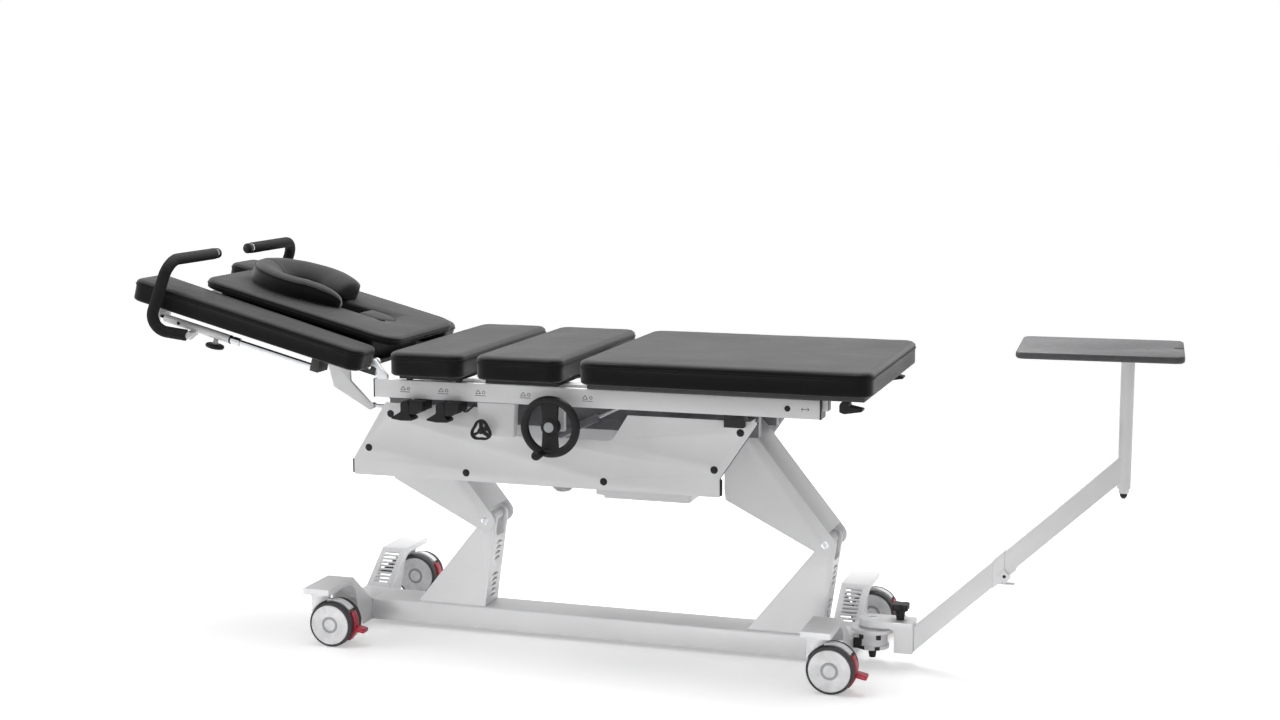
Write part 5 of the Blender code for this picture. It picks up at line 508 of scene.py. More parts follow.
def prepare_looks(tints):
    """All finishes, made once from the panel's colours."""
    LOOKS.update(
        white=powder_coat("white_powder_coat", tints.coat),
        vinyl=upholstery_vinyl("black_vinyl", tints.vinyl),
        # The welt's vinyl is made paler: a painted highlight along every seam.
        welt=upholstery_vinyl("vinyl_welt_painted_highlight", shade(tints.vinyl, 1.8), 0.1),
        # Stitch thread: the stitches' own grey, and partly a painted highlight along the seams, being paler than the
        # vinyl.
        thread=rubber("seam_thread_and_painted_highlight", (0.09, 0.09, 0.092)),
        plastic=moulded_plastic("black_nylon", tints.plastic, specular=0.22),
        cap=moulded_plastic("black_caps", shade(tints.plastic, 0.8), 0.35, specular=0.25),
        seal=rubber("black_rubber", (0.02, 0.02, 0.021)),
        tyre=rubber("grey_tread", tints.tyre),
        disc=moulded_plastic("pale_wheel_disc", tints.disc, 0.42),
        ringmark=moulded_plastic("wheel_ring", shade(tints.disc, 0.45), 0.4),
        pedal=moulded_plastic("red_pedal", tints.pedal, 0.38),
        foam=foam_sleeve("grip_foam", (0.013, 0.013, 0.014)),
        steel=polished_metal("polished_steel", (0.60, 0.61, 0.63)),
        zinc=polished_metal("satin_zinc", (0.60, 0.61, 0.63), 0.3),
        motor=moulded_plastic("grey_motor_paint", (0.42, 0.43, 0.44), 0.45),
        # The strut grey also covers the lift frame's bars behind the side panels' notch, as painted shade there.
        tube=moulded_plastic("grey_strut_paint_and_painted_shade", (0.16, 0.16, 0.17), 0.35),
        board=coated_board("black_board", (0.03, 0.03, 0.03)),
        tray=coated_board("dark_tray_board", tints.tray, 0.5),
        ink=moulded_plastic("grey_symbol_ink", (0.10, 0.10, 0.105), 0.5),
    )


# Upholstery

LOOP_POINTS = 260
TOP_DEPTHS = (0.0010, 0.0024, 0.0045, 0.0075, 0.0115, 0.017, 0.024, 0.033, 0.045, 0.060, 0.078, 0.100, 0.130,
              0.165, 0.205, 0.250, 0.300)
SIDE_SHARES = (0.12, 0.3, 0.5, 0.7, 0.86)
CORNER_REACH = 0.10
WELT_CLEARANCE = 0.0022


def segment_points(outline, a, b):
    """Nearest point of the middle line a-b for each outline point."""
    a, b = np.array(a, float), np.array(b, float)
    run = b - a
    share = np.clip((outline - a) @ run / max(float(run @ run), 1e-12), 0, 1)
    return a + share[:, None] * run


def crown(depth, rise, roll, swell):
    """Height above the seam at a depth inside the edge: a rolled edge, then a slow swell."""
    edge = 1 - (1 - np.clip(depth / roll, 0, 1)) ** 2
    slow = np.clip(depth / swell, 0, 1)
    slow = slow * slow * (3 - 2 * slow)
    return rise * (0.80 * np.sqrt(edge) + 0.20 * slow)


def ripple(x, y, seed, scale=9.0):
    return noise.noise(Vector((x * scale, y * scale, seed)))


def cushion_rows(outer, inner, base, seam, top, seed, plump, corners, ring, roll, swell, slack):
    """Loops of an upholstered pad from its underside's middle round the edge to its top's middle."""
    reach = np.linalg.norm(inner - outer, axis=1)
    inward = (inner - outer) / np.maximum(reach, TINY)[:, None]
    edge = np.roll(outer, -1, axis=0) - np.roll(outer, 1, axis=0)
    edge /= np.maximum(np.linalg.norm(edge, axis=1), TINY)[:, None]
    normal = np.stack([-edge[:, 1], edge[:, 0]], 1)
    normal *= np.sign((normal * inward).sum(1))[:, None]
    corner_gap = np.min([np.linalg.norm(outer - np.array(c), axis=1) for c in corners], axis=0)
    draw = plump * (1 - np.exp(-(corner_gap / CORNER_REACH) ** 2))
    pucker = np.array([ripple(p[0], p[1], seed + 3, 60.0) for p in outer]) * slack
    height = seam - base
    zero = np.zeros(len(outer))

    def side(inset, z):
        return [(p[0], p[1], z) for p in outer + normal * (zero + inset)[:, None]]

    flat = outer + normal * (zero + plump + 0.004)[:, None]
    rows = [[(p[0], p[1], base) for p in flat + (inner - flat) * share]
            for share in ((1.0,) if ring else (1.0, 0.55, 0.0))]
    rows += [side(plump + 0.0015, base + 0.0012), side(plump * 0.7, base + 0.004)]
    rows += [side(plump * 0.35 + draw * sin(pi * share) + pucker * 0.6, base + height * share)
             for share in SIDE_SHARES]
    rows += [side(0.0006 + pucker, seam - 0.0032), side(0.0016, seam - 0.0014), side(0.0016, seam + 0.0012)]
    depths = [d for d in TOP_DEPTHS if d < np.max(reach) * 0.9]
    cover = []
    for k, depth in enumerate(depths):
        share = np.minimum(depth / np.maximum(reach, TINY), 0.55 + 0.43 * k / len(depths))
        cover.append(outer + (inner - outer) * share[:, None])
    for row in (*cover, inner):
        deep = edge_distance(row, outer)
        if ring:
            deep = np.minimum(deep, edge_distance(row, inner) + 0.0004)
        z = seam + WELT_CLEARANCE + crown(deep, top - seam - WELT_CLEARANCE, roll, swell)
        z += np.array([ripple(p[0], p[1], seed) * min(1.0, d / 0.03) * slack * 1.6
                       + ripple(p[0], p[1], seed + 7, 26.0) * min(1.0, d / 0.02) * slack * 0.7
                       for p, d in zip(row, deep)])
        rows.append([(p[0], p[1], h) for p, h in zip(row, z)])
    return rows


def cushion_shape(outer, inner, base, seam, top, seed, plump, corners, ring=False, roll=0.017, welt=0.0017,
                  swell=0.11, slack=0.0006):
    """A whole pad as a mesh: its cover and, in slot 1, the fine welt along its seam, paler for a painted highlight."""
    shape = bmesh.new()
    rows = cushion_rows(outer, inner, base, seam, top, seed, plump, corners, ring, roll, swell, slack)
    if ring:
        for share in (0.97, 0.6, 0.3, 0.0):
            z = base + (seam - base) * share
            rows.append([(p[0], p[1], z) for p in inner])
    loops = [[shape.verts.new(p) for p in row] for row in rows]
    skin(shape, loops, closed=ring)
    bmesh.ops.remove_doubles(shape, verts=shape.verts, dist=0.0004 if ring else 0.0008)
    tube(shape, [(p[0], p[1], seam) for p in outer[::2]], welt, 6, 1, closed=True)
    return shape


def stitched(name, route, body, tilted=False):
    """A row of stitches along a closed route, as one mesh: thread lengths at an even pitch, by Geometry Nodes."""
    # The thread's grey, paler than the vinyl, is the stitches' own colour and partly a painted highlight along the
    # seam.
    tree, start, place, sockets = scatter_group(name + "_nodes", LOOKS["thread"], "Pitch", "Length", "Thickness")
    spread = new_node(tree, "GeometryNodeCurveToPoints", mode="LENGTH")
    rod = new_node(tree, "GeometryNodeMeshCylinder", {"Vertices": 6})
    turn = new_node(tree, "GeometryNodeTransform", {"Rotation": (0, pi / 2, 0)})
    align = new_node(tree, "FunctionNodeAlignRotationToVector", axis="X")
    wire(tree, (start, "Geometry", spread, "Curve"), (start, "Pitch", spread, "Length"),
         (start, "Length", rod, "Depth"), (start, "Thickness", rod, "Radius"), (rod, "Mesh", turn, "Geometry"),
         (spread, "Points", place, "Points"), (spread, "Tangent", align, "Vector"),
         (align, "Rotation", place, "Rotation"), (turn, "Geometry", place, "Instance"))
    curve = bpy.data.curves.new(name, "CURVE")
    curve.dimensions = "3D"
    spline = curve.splines.new("POLY")
    spline.points.add(len(route) - 1)
    spline.use_cyclic_u = True
    for point, spot in zip(spline.points, route):
        point.co = (*spot, 1.0)
    sizes = bpy.context.scene.table_sizes
    shape = grown(name + "_route", curve, tree, sockets,
                  (sizes.stitch_pitch, sizes.stitch_length, sizes.stitch_thickness))
    dressed(shape, name, [LOOKS["thread"]], body, "black_vinyl", tilted=tilted)


def upholstered(name, shape, body, node, tilted=False):
    # Slot 1, the welt, takes the paler vinyl: a painted highlight along the seam.
    piece = dressed(shape, name, [LOOKS["vinyl"], LOOKS["welt"]], body, "black_vinyl", node, tilted, angle=50)


def stitch_route(outer, inner, depth, z):
    """The pad's outline drawn in by the depth, at a height."""
    run = inner - outer
    reach = np.maximum(np.linalg.norm(run, axis=1), TINY)
    return [(p[0], p[1], z) for p in outer + run / reach[:, None] * depth]


def flat_cushion(name, node, body, seed):
    """One of the three square cushions of the couch, from the box of its CAD solid."""
    low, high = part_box(node)
    x0, x1 = low.x - SHIFT.x, high.x - SHIFT.x
    half = (high.y - low.y) / 2
    corners = rectangle(x0, x1, half)
    outer = resampled(rounded(corners, 0.036), LOOP_POINTS)
    length = x1 - x0
    if length < 2 * half:
        middle = (x0 + x1) / 2
        a, b = (middle, -half + length / 2), (middle, half - length / 2)
    else:
        a, b = (x0 + half, 0), (x1 - half, 0)
    inner = segment_points(outer, a, b)
    shape = cushion_shape(outer, inner, low.z, COUCH_SEAM, high.z, seed, 0.004, corners)
    upholstered(name, shape, body, node)
    stitched(name + "_stitches", stitch_route(outer, inner, 0.0034, COUCH_SEAM + 0.0098), body)


# The face pillow's section, from its inner foot over the top to its outer foot: share inwards, share of height
PILLOW_SECTION = ((0.60, 0.0), (0.84, 0.03), (0.96, 0.11), (1.0, 0.20), (0.95, 0.32), (0.84, 0.45), (0.68, 0.59),
                  (0.48, 0.73), (0.26, 0.85), (0.02, 0.94), (-0.24, 0.99), (-0.48, 1.0), (-0.68, 0.97),
                  (-0.82, 0.91), (-0.905, 0.845), (-0.93, 0.815), (-0.95, 0.77), (-0.985, 0.66), (-1.0, 0.50),
                  (-0.985, 0.32), (-0.95, 0.16), (-0.88, 0.05), (-0.74, 0.0), (-0.3, 0.0), (0.2, 0.0))
PILLOW_SEAM = 15
PILLOW_MIDDLE_X = -0.950
PILLOW_RING_RADIUS = 0.105
PILLOW_OPENING = radians(62)
PILLOW_HALF_WIDTH = 0.046
PILLOW_BASE = 0.8588
PILLOW_TOP = 0.9160
ARM_STEPS = (1.0, 0.97, 0.91, 0.82, 0.68, 0.48, 0.24)
FAR_TAPERS = (0.30, 0.52, 0.70, 0.82, 0.90, 0.95, 0.98)
NEAR_TAPERS = (0.16, 0.32, 0.46, 0.60, 0.74, 0.87, 0.96)


def face_pillow_shape():
    """The horseshoe pillow: swelling section, drawn-in seams, closed rounded ends."""
    shape = bmesh.new()
    bend = [Vector(p) for p in arc(PILLOW_MIDDLE_X, 0, PILLOW_RING_RADIUS, PILLOW_OPENING,
                                   2 * pi - PILLOW_OPENING, 72)]
    tip = bend[0]
    far_arm = [Vector((tip.x + 0.070 * step, tip.y * (1 - 0.34 * step))) for step in ARM_STEPS]
    near_arm = [Vector((tip.x + 0.104 * step, -tip.y * (1 - 0.30 * step))) for step in reversed(ARM_STEPS)]
    path = far_arm + bend + near_arm
    tapers = (*FAR_TAPERS, *[1.0] * len(bend), *reversed(NEAR_TAPERS))
    last = len(path) - 1
    rows, seam_line = [], []
    for i, (here, taper) in enumerate(zip(path, tapers)):
        ahead = (path[min(i + 1, last)] - path[max(i - 1, 0)]).normalized()
        across = Vector((-ahead.y, ahead.x))
        swell = 1.0 + 0.012 * noise.noise(Vector((here.x * 30, here.y * 30, 4.0)))
        row = []
        for inwards, rise in PILLOW_SECTION:
            lump = noise.noise(Vector((here.x * 24 + inwards, here.y * 24, rise * 1.5)))
            wide = PILLOW_HALF_WIDTH * inwards * (0.20 + 0.80 * taper) * swell
            height = (PILLOW_TOP - PILLOW_BASE) * rise * (0.22 + 0.78 * taper) * (1 + 0.02 * lump)
            row.append(shape.verts.new((here.x + across.x * wide, here.y + across.y * wide, PILLOW_BASE + height)))
        rows.append(row)
        seam_line.append(row[PILLOW_SEAM].co - across.to_3d() * 0.0004)
    skin(shape, rows)
    for row in (rows[0], rows[-1]):
        middle = shape.verts.new(sum((v.co for v in row), Vector()) / len(row))
        for one, two in zip(row, row[1:] + row[:1]):
            shape.faces.new((one, two, middle))
    # The seams along and across the pillow take the welt's paler vinyl: painted highlight.
    tube(shape, seam_line, 0.0018, 6, 1)
    tube(shape, [v.co + Vector((0, 0, 0.0001)) for v in rows[last // 2][2:PILLOW_SEAM]], 0.0008, 6, 1)
    return shape


# Small shared builders


def carved(shape, *cutters):
    """The shape with every cutter taken away, as a new shape."""
    solid, *tools = [added("carving", as_mesh(source, "carving")) for source in (shape, *cutters)]
    for tool in tools:
        change = solid.modifiers.new("carve", "BOOLEAN")
        change.operation = "DIFFERENCE"
        change.object = tool
        change.solver = "EXACT"
    result = bmesh.new()
    result.from_mesh(evaluated_mesh(solid))
    for made in (solid, *tools):
        bpy.data.objects.remove(made, do_unlink=True)
    return result


def bar(axis, a, b, radius, low, high, sides):
    shape = bmesh.new()
    lathe(shape, [(0, low), (radius, low), (radius, high), (0, high)], axis, a, b, sides)
    return shape


def finished_copy(node, body, slot, looks, tests=(), tilted=False, bevel=0.0008, **more):
    """The CAD node's own form with softened edges; tests give parts of it another of the looks."""
    shape = cad_copy(node)
    for index, test in tests:
        paint_where(shape, index, test, tilted)
    return dressed(shape, node + "_finished", [LOOKS[n] for n in looks], body, slot, node, placed=True,
                   bevel=bevel, **more)


def scattered_caps(name, places, radius, height, body, slot):
    """A domed cap on every place of the rails or panels, its dome along Y, by Geometry Nodes."""
    tree, start, place, sockets = scatter_group(name + "_nodes", LOOKS["cap"], "Cap Radius", "Cap Height")
    dome = new_node(tree, "GeometryNodeMeshUVSphere", {"Segments": 28, "Rings": 10, "Radius": 1.0})
    size = new_node(tree, "ShaderNodeCombineXYZ")
    flat = new_node(tree, "GeometryNodeTransform")
    turn = new_node(tree, "GeometryNodeTransform", {"Rotation": (pi / 2, 0, 0)})
    dots = new_node(tree, "GeometryNodeMeshToPoints")
    wire(tree, (start, "Cap Radius", size, "X"), (start, "Cap Radius", size, "Y"), (start, "Cap Height", size, "Z"),
         (dome, "Mesh", flat, "Geometry"), (size, "Vector", flat, "Scale"), (flat, "Geometry", turn, "Geometry"),
         (start, "Geometry", dots, "Mesh"), (dots, "Points", place, "Points"), (turn, "Geometry", place, "Instance"))
    mesh = bpy.data.meshes.new(name + "_places")
    mesh.from_pydata([tuple(p) for p in places], [], [])
    dressed(grown(name + "_places", mesh, tree, sockets, (radius, height)), name, [LOOKS["cap"]], body, slot)


# Castors

WHEEL_RADIUS = 0.0625
WHEEL_OUTER = 0.039
WHEEL_INNER = 0.012
STEM_TRAIL = 0.043
CORE_HALF = 0.0105
HOOD_RADIUS = 0.0660
HOOD_ROOM = 0.0655
BRAKE_FROM = radians(-47)
BRAKE_TO = radians(33)
PEDAL_SLOPE = radians(-11)
# Profiles as (radius, reach): the disc's ring and rim from the wheel's outer face, its back from the inner face
WHEEL_FRONT = ((0, -0.0016), (0.0150, -0.0016), (0.0160, -0.0008), (0.0196, -0.0008), (0.0206, -0.0004),
               (0.0222, -0.0004), (0.0232, -0.0016), (0.0460, -0.0010), (0.0536, -0.0006), (0.0545, -0.0012),
               (0.0549, -0.0026), (0.0556, -0.0026), (0.0564, -0.0014), (0.0590, -0.0018), (0.0608, -0.0032),
               (0.0620, -0.0058), (0.0625, -0.0090))
WHEEL_BACK = ((0.0625, 0.0080), (0.0619, 0.0048), (0.0604, 0.0022), (0.0580, 0.0010), (0.0540, 0.0006),
              (0.0300, 0.0006), (0.0055, 0.0006))
WHEEL_BANDS = (1, 1, 2, 2, 2, 2, 1, 1, 1, 1, 0, 0, 0, 0, 0, 0, 0, 0, 0, 0, 1, 1, 1, 3)
STEM_PROFILE = ((0, 0.0862), (0.0235, 0.0862), (0.0250, 0.0876), (0.0255, 0.0896), (0.0255, 0.1296),
                (0.0262, 0.1316), (0.0284, 0.1340), (0.029, 0.1360), (0.029, 0.1440), (0.0284, 0.1458),
                (0.0270, 0.1462), (0.0110, 0.1462), (0.0110, 0.1522), (0, 0.1522))
# The pedal's tongue: distance from the axle and share of its full section
TONGUE_STEPS = ((0.0640, 0.80), (0.0668, 0.92), (0.0700, 1.0), (0.0880, 1.0), (0.0912, 0.94), (0.0930, 0.78),
                (0.0935, 0.55))


def twin_wheels(x, y, body, node):
    """Both wheels of a castor: tread ring, pale disc and a plain raised ring."""
    profile = [*moved(WHEEL_FRONT, WHEEL_OUTER), *moved(WHEEL_BACK, WHEEL_INNER), (WHEEL_BACK[-1][0], 0)]
    shape = bmesh.new()
    for side in (-1, 1):
        lathe(shape, profile, "Y", x, WHEEL_RADIUS, 96, WHEEL_BANDS, y, side)
    looks = [LOOKS[n] for n in ("tyre", "disc", "ringmark", "steel")]
    dressed(shape, body + "_pair", looks, body, "castor_wheel", node, angle=30)


def castor_fork(x, y, body, node):
    """The white core disc, the hood over it and the stem housing, cut free of both wheels."""
    housing = bmesh.new()
    lathe(housing, STEM_PROFILE, "Z", x - STEM_TRAIL, y, 64)
    rooms = [bar("Y", x, WHEEL_RADIUS, HOOD_ROOM, *sorted((y + s * CORE_HALF, y + s * 0.08)), 72) for s in (-1, 1)]
    shape = carved(housing, *rooms)
    low, high = y - CORE_HALF, y + CORE_HALF
    lathe(shape, [(0.0062, low), (0.0485, low), (0.0500, low + 0.001), (0.0500, high - 0.001), (0.0485, high),
                  (0.0062, high), (0.0062, low)], "Y", x, WHEEL_RADIUS, 72)
    band = arc(x, WHEEL_RADIUS, HOOD_RADIUS, radians(40), radians(176), 48)
    band += arc(x, WHEEL_RADIUS, 0.0490, radians(176), radians(40), 48)
    prism(shape, band, "Y", low, high)
    dressed(shape, body + "_fork_white", [LOOKS["white"]], body, "white_coat", node, bevel=0.0009, angle=40)


def castor_pedal(x, y, body, node):
    """The red locking pedal: a band round the core and a rounded tongue."""
    shape = bmesh.new()
    band = arc(x, WHEEL_RADIUS, HOOD_RADIUS, BRAKE_FROM, BRAKE_TO, 30)
    band += arc(x, WHEEL_RADIUS, 0.0503, BRAKE_TO, BRAKE_FROM, 30)
    prism(shape, band, "Y", y - CORE_HALF, y + CORE_HALF)
    out = Vector((cos(PEDAL_SLOPE), 0, sin(PEDAL_SLOPE)))
    up = Vector((-sin(PEDAL_SLOPE), 0, cos(PEDAL_SLOPE)))
    centre = Vector((x, y, WHEEL_RADIUS))
    section = rounded(rectangle(-0.0065, 0.0065, 0.017), 0.0058, 8)
    skin(shape, [[shape.verts.new(centre + out * reach + up * (a * share) + Vector((0, b * (0.5 + share / 2), 0)))
                  for a, b in section] for reach, share in TONGUE_STEPS], ends=True)
    dressed(shape, body + "_red", [LOOKS["pedal"]], body, "red_pedal", node, bevel=0.0011, angle=38)


def all_castors():
    for x_side, end in ENDS:
        for y_side, side in SIDES:
            x, y = x_side * WHEELBASE / 2, y_side * TRACK / 2
            castor = "castor_%s_%s_" % (end, side)
            twin_wheels(x, y, castor + "wheels", castor + "wheels")
            castor_fork(x, y, castor + "swivel", castor + "fork")
            castor_pedal(x, y, castor + "pedal", castor + "pedal")


# Painted steelwork

BUMPERS = [(HUB_X + 0.041 * cos(t), 0.041 * sin(t)) for t in (radians(-125), radians(-58))]
PANEL_FACE_Y = 0.2405
PANEL_SCREWS = ((-0.608, 0.550), (-0.541, 0.647), (-0.321133, 0.4965), (0.070733, 0.4965), (0.3726, 0.546),
                (0.442, 0.647))
LINK_LENGTH = 0.390
LINK_LEAN = radians(51)
LINK_FACE_Y = 0.0780
LINK_LOW = (-0.3385, 0.327)
LINK_SPACING = 0.969
BOLT_PROFILE = ((0, -0.0030), (0.0030, -0.0030), (0.0030, 0.0006), (0.0036, 0.0010), (0.0074, 0.0010),
                (0.0082, 0.0002), (0.0084, -0.0030), (0.0105, -0.0032), (0.0108, -0.0042), (0, -0.0042))
RAIL_ENDS = ((-0.5758, -0.5722), (0.6552, 0.6588))
FREE = 9.0


def within(x=(-FREE, FREE), y=(-FREE, FREE), z=(-FREE, FREE)):
    """A test for places between limits of x, of the distance from the middle line and of z."""
    return lambda m: x[0] < m.x < x[1] and y[0] < abs(m.y) < y[1] and z[0] < m.z < z[1]


def steelwork():
    """The base, the lift, the top and the carriage, with their caps, seals and pins."""
    def white(node, body, extra=(), tests=(), **more):
        finished_copy(node, body, "white_coat", ("white", *extra), tests, **more)
    white("spine_beam", "base")
    for _, end in ENDS:
        white("outrigger_" + end, "base")
        white("post_" + end, "base")
        white("link_" + end, "link_" + end)
    white("index_hub", "base", ("seal", "steel"), (
        (1, within(z=(-FREE, 0.0428))),
        (1, lambda m: m.z < 0.0880 and any(hypot(m.x - x, m.y - y) < 0.0085 for x, y in BUMPERS)
            and hypot(m.x - HUB_X, m.y) > 0.0415),
        (2, lambda m: m.z > 0.0995 and (m.x - HUB_X) ** 2 + m.y ** 2 < 0.013 ** 2)))
    white("lift_frame", "lift", ("seal", "tube"), (
        # The bars near the middle show only through the side panels' notch and take the dark grey: painted shade
        # inside the notch.
        (2, within(y=(-FREE, 0.1140), z=(0.6115, 0.6902))),
        (1, within((0.4025, 0.4555), (0.2155, 0.2605), (0.6640, FREE)))))
    for _, side in SIDES:
        white("side_panel_" + side, "lift", ("seal", "cap"), (
            (1, lambda m: abs(m.y) > 0.2270 and (m.x < edge_x(m.z, True) or m.x > edge_x(m.z, False))),
            (2, lambda m: abs(m.y) > 0.2402 and any(hypot(m.x - x, m.z - z) < 0.012 for x, z in PANEL_SCREWS))))
    finished_copy("control_box", "lift", "white_coat", ("white",), bevel=0.0016)
    finished_copy("lift_motor", "lift", "grey_tube", ("motor",), bevel=0.001)
    white("top_frame", "top", ("cap", "zinc"), (
        (1, within((-FREE, -0.5728), (0.2130, FREE), (-FREE, 0.7467))),
        (1, within((0.6558, FREE), (0.2130, FREE), (-FREE, 0.7467))),
        (2, within((-FREE, -0.53), (0.2430, FREE), (0.7468, FREE))),
        (1, within((-0.50, -0.28), (-FREE, 0.31), (0.7468, 0.7664)))))
    white("gear_housing", "top", bevel=0.0020, segments=3)
    white("carriage_frame", "carriage", ("cap",), (
        (1, within((-0.256, -0.01), z=(0.7536, FREE))),
        (1, within((0.6715, FREE), (0.21, FREE)))))
    finished_copy("leg_board", "leg", "board", ("board",), bevel=0.0012)
    pivot_bolts()
    white("head_frame", "head", ("board", "steel"), (
        (1, within((-FREE, -0.6198), (-FREE, 0.2527), (0.7505, FREE))),
        (1, within((-0.7352, -0.7105), (0.27, FREE))),
        (2, within((-1.2119, -0.7351), (0.2905, FREE), (SLIDE_TUBE_Z - 0.0079, SLIDE_TUBE_Z + 0.0079)))), tilted=True)
    rail_caps()


def rail_caps():
    """The plugs in the ends of both rails and the caps on their screws."""
    shape = bmesh.new()
    for s in (-1, 1):
        for x0, x1 in RAIL_ENDS:
            block(shape, x0, x1, *sorted((s * RAIL_INNER_Y, s * RAIL_OUTER_Y)), RAIL_BASE, RAIL_TOP)
    dressed(shape, "rail_end_caps", [LOOKS["cap"]], "top", "black_plastic", bevel=0.0004)
    scattered_caps("rail_screw_caps", [(RAIL_SCREW[0], s * RAIL_OUTER_Y, RAIL_SCREW[1]) for s in (-1, 1)],
                   0.0078, 0.0026, "top", "black_plastic")


def pivot_bolts():
    """Socket screws in washers at the ends of both lift links."""
    for x_side, end in ENDS:
        low = Vector((LINK_LOW[0] + (LINK_SPACING if x_side > 0 else 0), 0, LINK_LOW[1]))
        high = low + Vector((-LINK_LENGTH * cos(LINK_LEAN), 0, LINK_LENGTH * sin(LINK_LEAN)))
        shape = bmesh.new()
        for s in (-1, 1):
            for at in (low, high):
                lathe(shape, BOLT_PROFILE, "Y", at.x, at.z, 36, [1, 1] + [0] * 7, s * LINK_FACE_Y, s)
        dressed(shape, "link_%s_bolts" % end, [LOOKS["zinc"], LOOKS["seal"]], "link_" + end, "polished_rod")


def edge_x(z, head):
    """Where the side panel's end edge stands at a height, a seal's width inside; it breaks into a slope."""
    if head:
        if z < 0.520:
            return -0.653 + 0.0048
        return -0.653 + (z - 0.520) * (0.097 / 0.157) + 0.0052
    if z < 0.5235:
        return 0.3876 + (z - 0.474) * 0.15 - 0.0048
    return 0.395 + (z - 0.5235) * (0.095 / 0.1535) - 0.0056


def lift_frame_caps(sizes):
    scattered_caps("panel_screw_caps", [(x, s * PANEL_FACE_Y, z) for s in (-1, 1) for x, z in PANEL_SCREWS],
                   sizes.panel_cap_radius, sizes.panel_cap_height, "lift", "black_plastic")


# Controls


def ring_body(shape, a, b, along, major, minor, sides, around):
    """A torus about Y."""
    skin(shape, [[shape.verts.new((a + (major + minor * cos(u)) * cos(t), along + minor * sin(u),
                                   b + (major + minor * cos(u)) * sin(t))) for u in turns(around)]
                 for t in turns(sides)], closed=True)


HANDWHEEL = (-0.052, 0.6485)
HANDWHEEL_Y = -0.310
HANDWHEEL_RADIUS = 0.071
GEAR_FACE_Y = -0.2425
CRANK_TURN = radians(-106)
LOCK_KNOB = (-0.251, 0.6255)
LOCK_KNOB_Y = -0.300
# Profiles as (radius, reach): the wheel's hub and pale cap from its middle plane, the handle from its front end
HUB_PROFILE = ((0, -0.0120), (0.0150, -0.0120), (0.0158, -0.0114), (0.0215, -0.0090), (0.0246, -0.0050),
               (0.0260, 0), (0.0260, 0.0110), (0.0245, 0.0122), (0.0100, 0.0160), (0.0080, 0.0170))
HUB_CAP_PROFILE = ((0, -0.0138), (0.0110, -0.0137), (0.0132, -0.0130), (0.0138, -0.0118), (0, -0.0118))
CRANK_PIN_PROFILE = ((0, -0.0628), (0.0040, -0.0628), (0.0040, 0), (0, 0))
CRANK_PROFILE = ((0.0046, 0.0002), (0.0060, 0), (0.0088, 0.0010), (0.0112, 0.0036), (0.0124, 0.0080),
                 (0.0126, 0.0140), (0.0122, 0.0260), (0.0110, 0.0400), (0.0098, 0.0480), (0.0092, 0.0510))
LOCK_HUB_PROFILE = ((0, -0.0062), (0.0070, -0.0062), (0.0084, -0.0050), (0.0084, 0.0070), (0.0070, 0.0080))
# The lock knob's rim as (inset, depth)
LOCK_RIM = ((0.0014, -0.0070), (0.0002, -0.0056), (0, 0), (0.0002, 0.0056), (0.0014, 0.0070), (0.0050, 0.0070),
            (0.0064, 0.0056), (0.0067, 0), (0.0064, -0.0056), (0.0050, -0.0070))


def handwheel():
    """Rim, broad band across it, domed hub with a pale cap, and the shaft."""
    shape = bmesh.new()
    x, z = HANDWHEEL
    y = HANDWHEEL_Y
    ring_body(shape, x, z, y, HANDWHEEL_RADIUS, 0.011, 96, 20)
    outline = []
    for sign in (1, -1):
        for share in (-1, -0.85, -0.6, -0.3, 0, 0.3, 0.6, 0.85, 1):
            height = 0.069 * share * sign
            outline.append((x + sign * (0.0200 + 0.0045 * share * share), z - height))
    prism(shape, outline[::-1], "Y", y - 0.0058, y + 0.0060)
    lathe(shape, [*moved(HUB_PROFILE, y), (0.0080, GEAR_FACE_Y), (0, GEAR_FACE_Y)], "Y", x, z, 64)
    lathe(shape, HUB_CAP_PROFILE, "Y", x, z, 48, [1] * 4, y)
    cx, cz = x + HANDWHEEL_RADIUS * cos(CRANK_TURN), z + HANDWHEEL_RADIUS * sin(CRANK_TURN)
    lathe(shape, CRANK_PIN_PROFILE, "Y", cx, cz, 24, base=y)
    dressed(shape, "handwheel_body", [LOOKS["plastic"], LOOKS["motor"]], "handwheel", "black_plastic", "handwheel",
            bevel=0.0012, angle=40)
    handle = bmesh.new()
    back, front = y - 0.0113, y - 0.0633
    lathe(handle, [*moved(CRANK_PROFILE, front), (0.0084, back), (0.0046, back),
                   *moved(CRANK_PROFILE[:1], front)], "Y", cx, cz, 48)
    dressed(handle, "crank_handle_body", [LOOKS["plastic"]], "crank_handle", "black_plastic", "crank_handle", angle=40)


def lobed_outline(inset, steps):
    """The three-lobed knob's outline, drawn in by the inset."""
    radii = [(turn, 0.0275 - inset + 0.0035 * cos(3 * (turn - pi / 2))) for turn in turns(steps)]
    return [(LOCK_KNOB[0] + radius * cos(turn), LOCK_KNOB[1] + radius * sin(turn)) for turn, radius in radii]


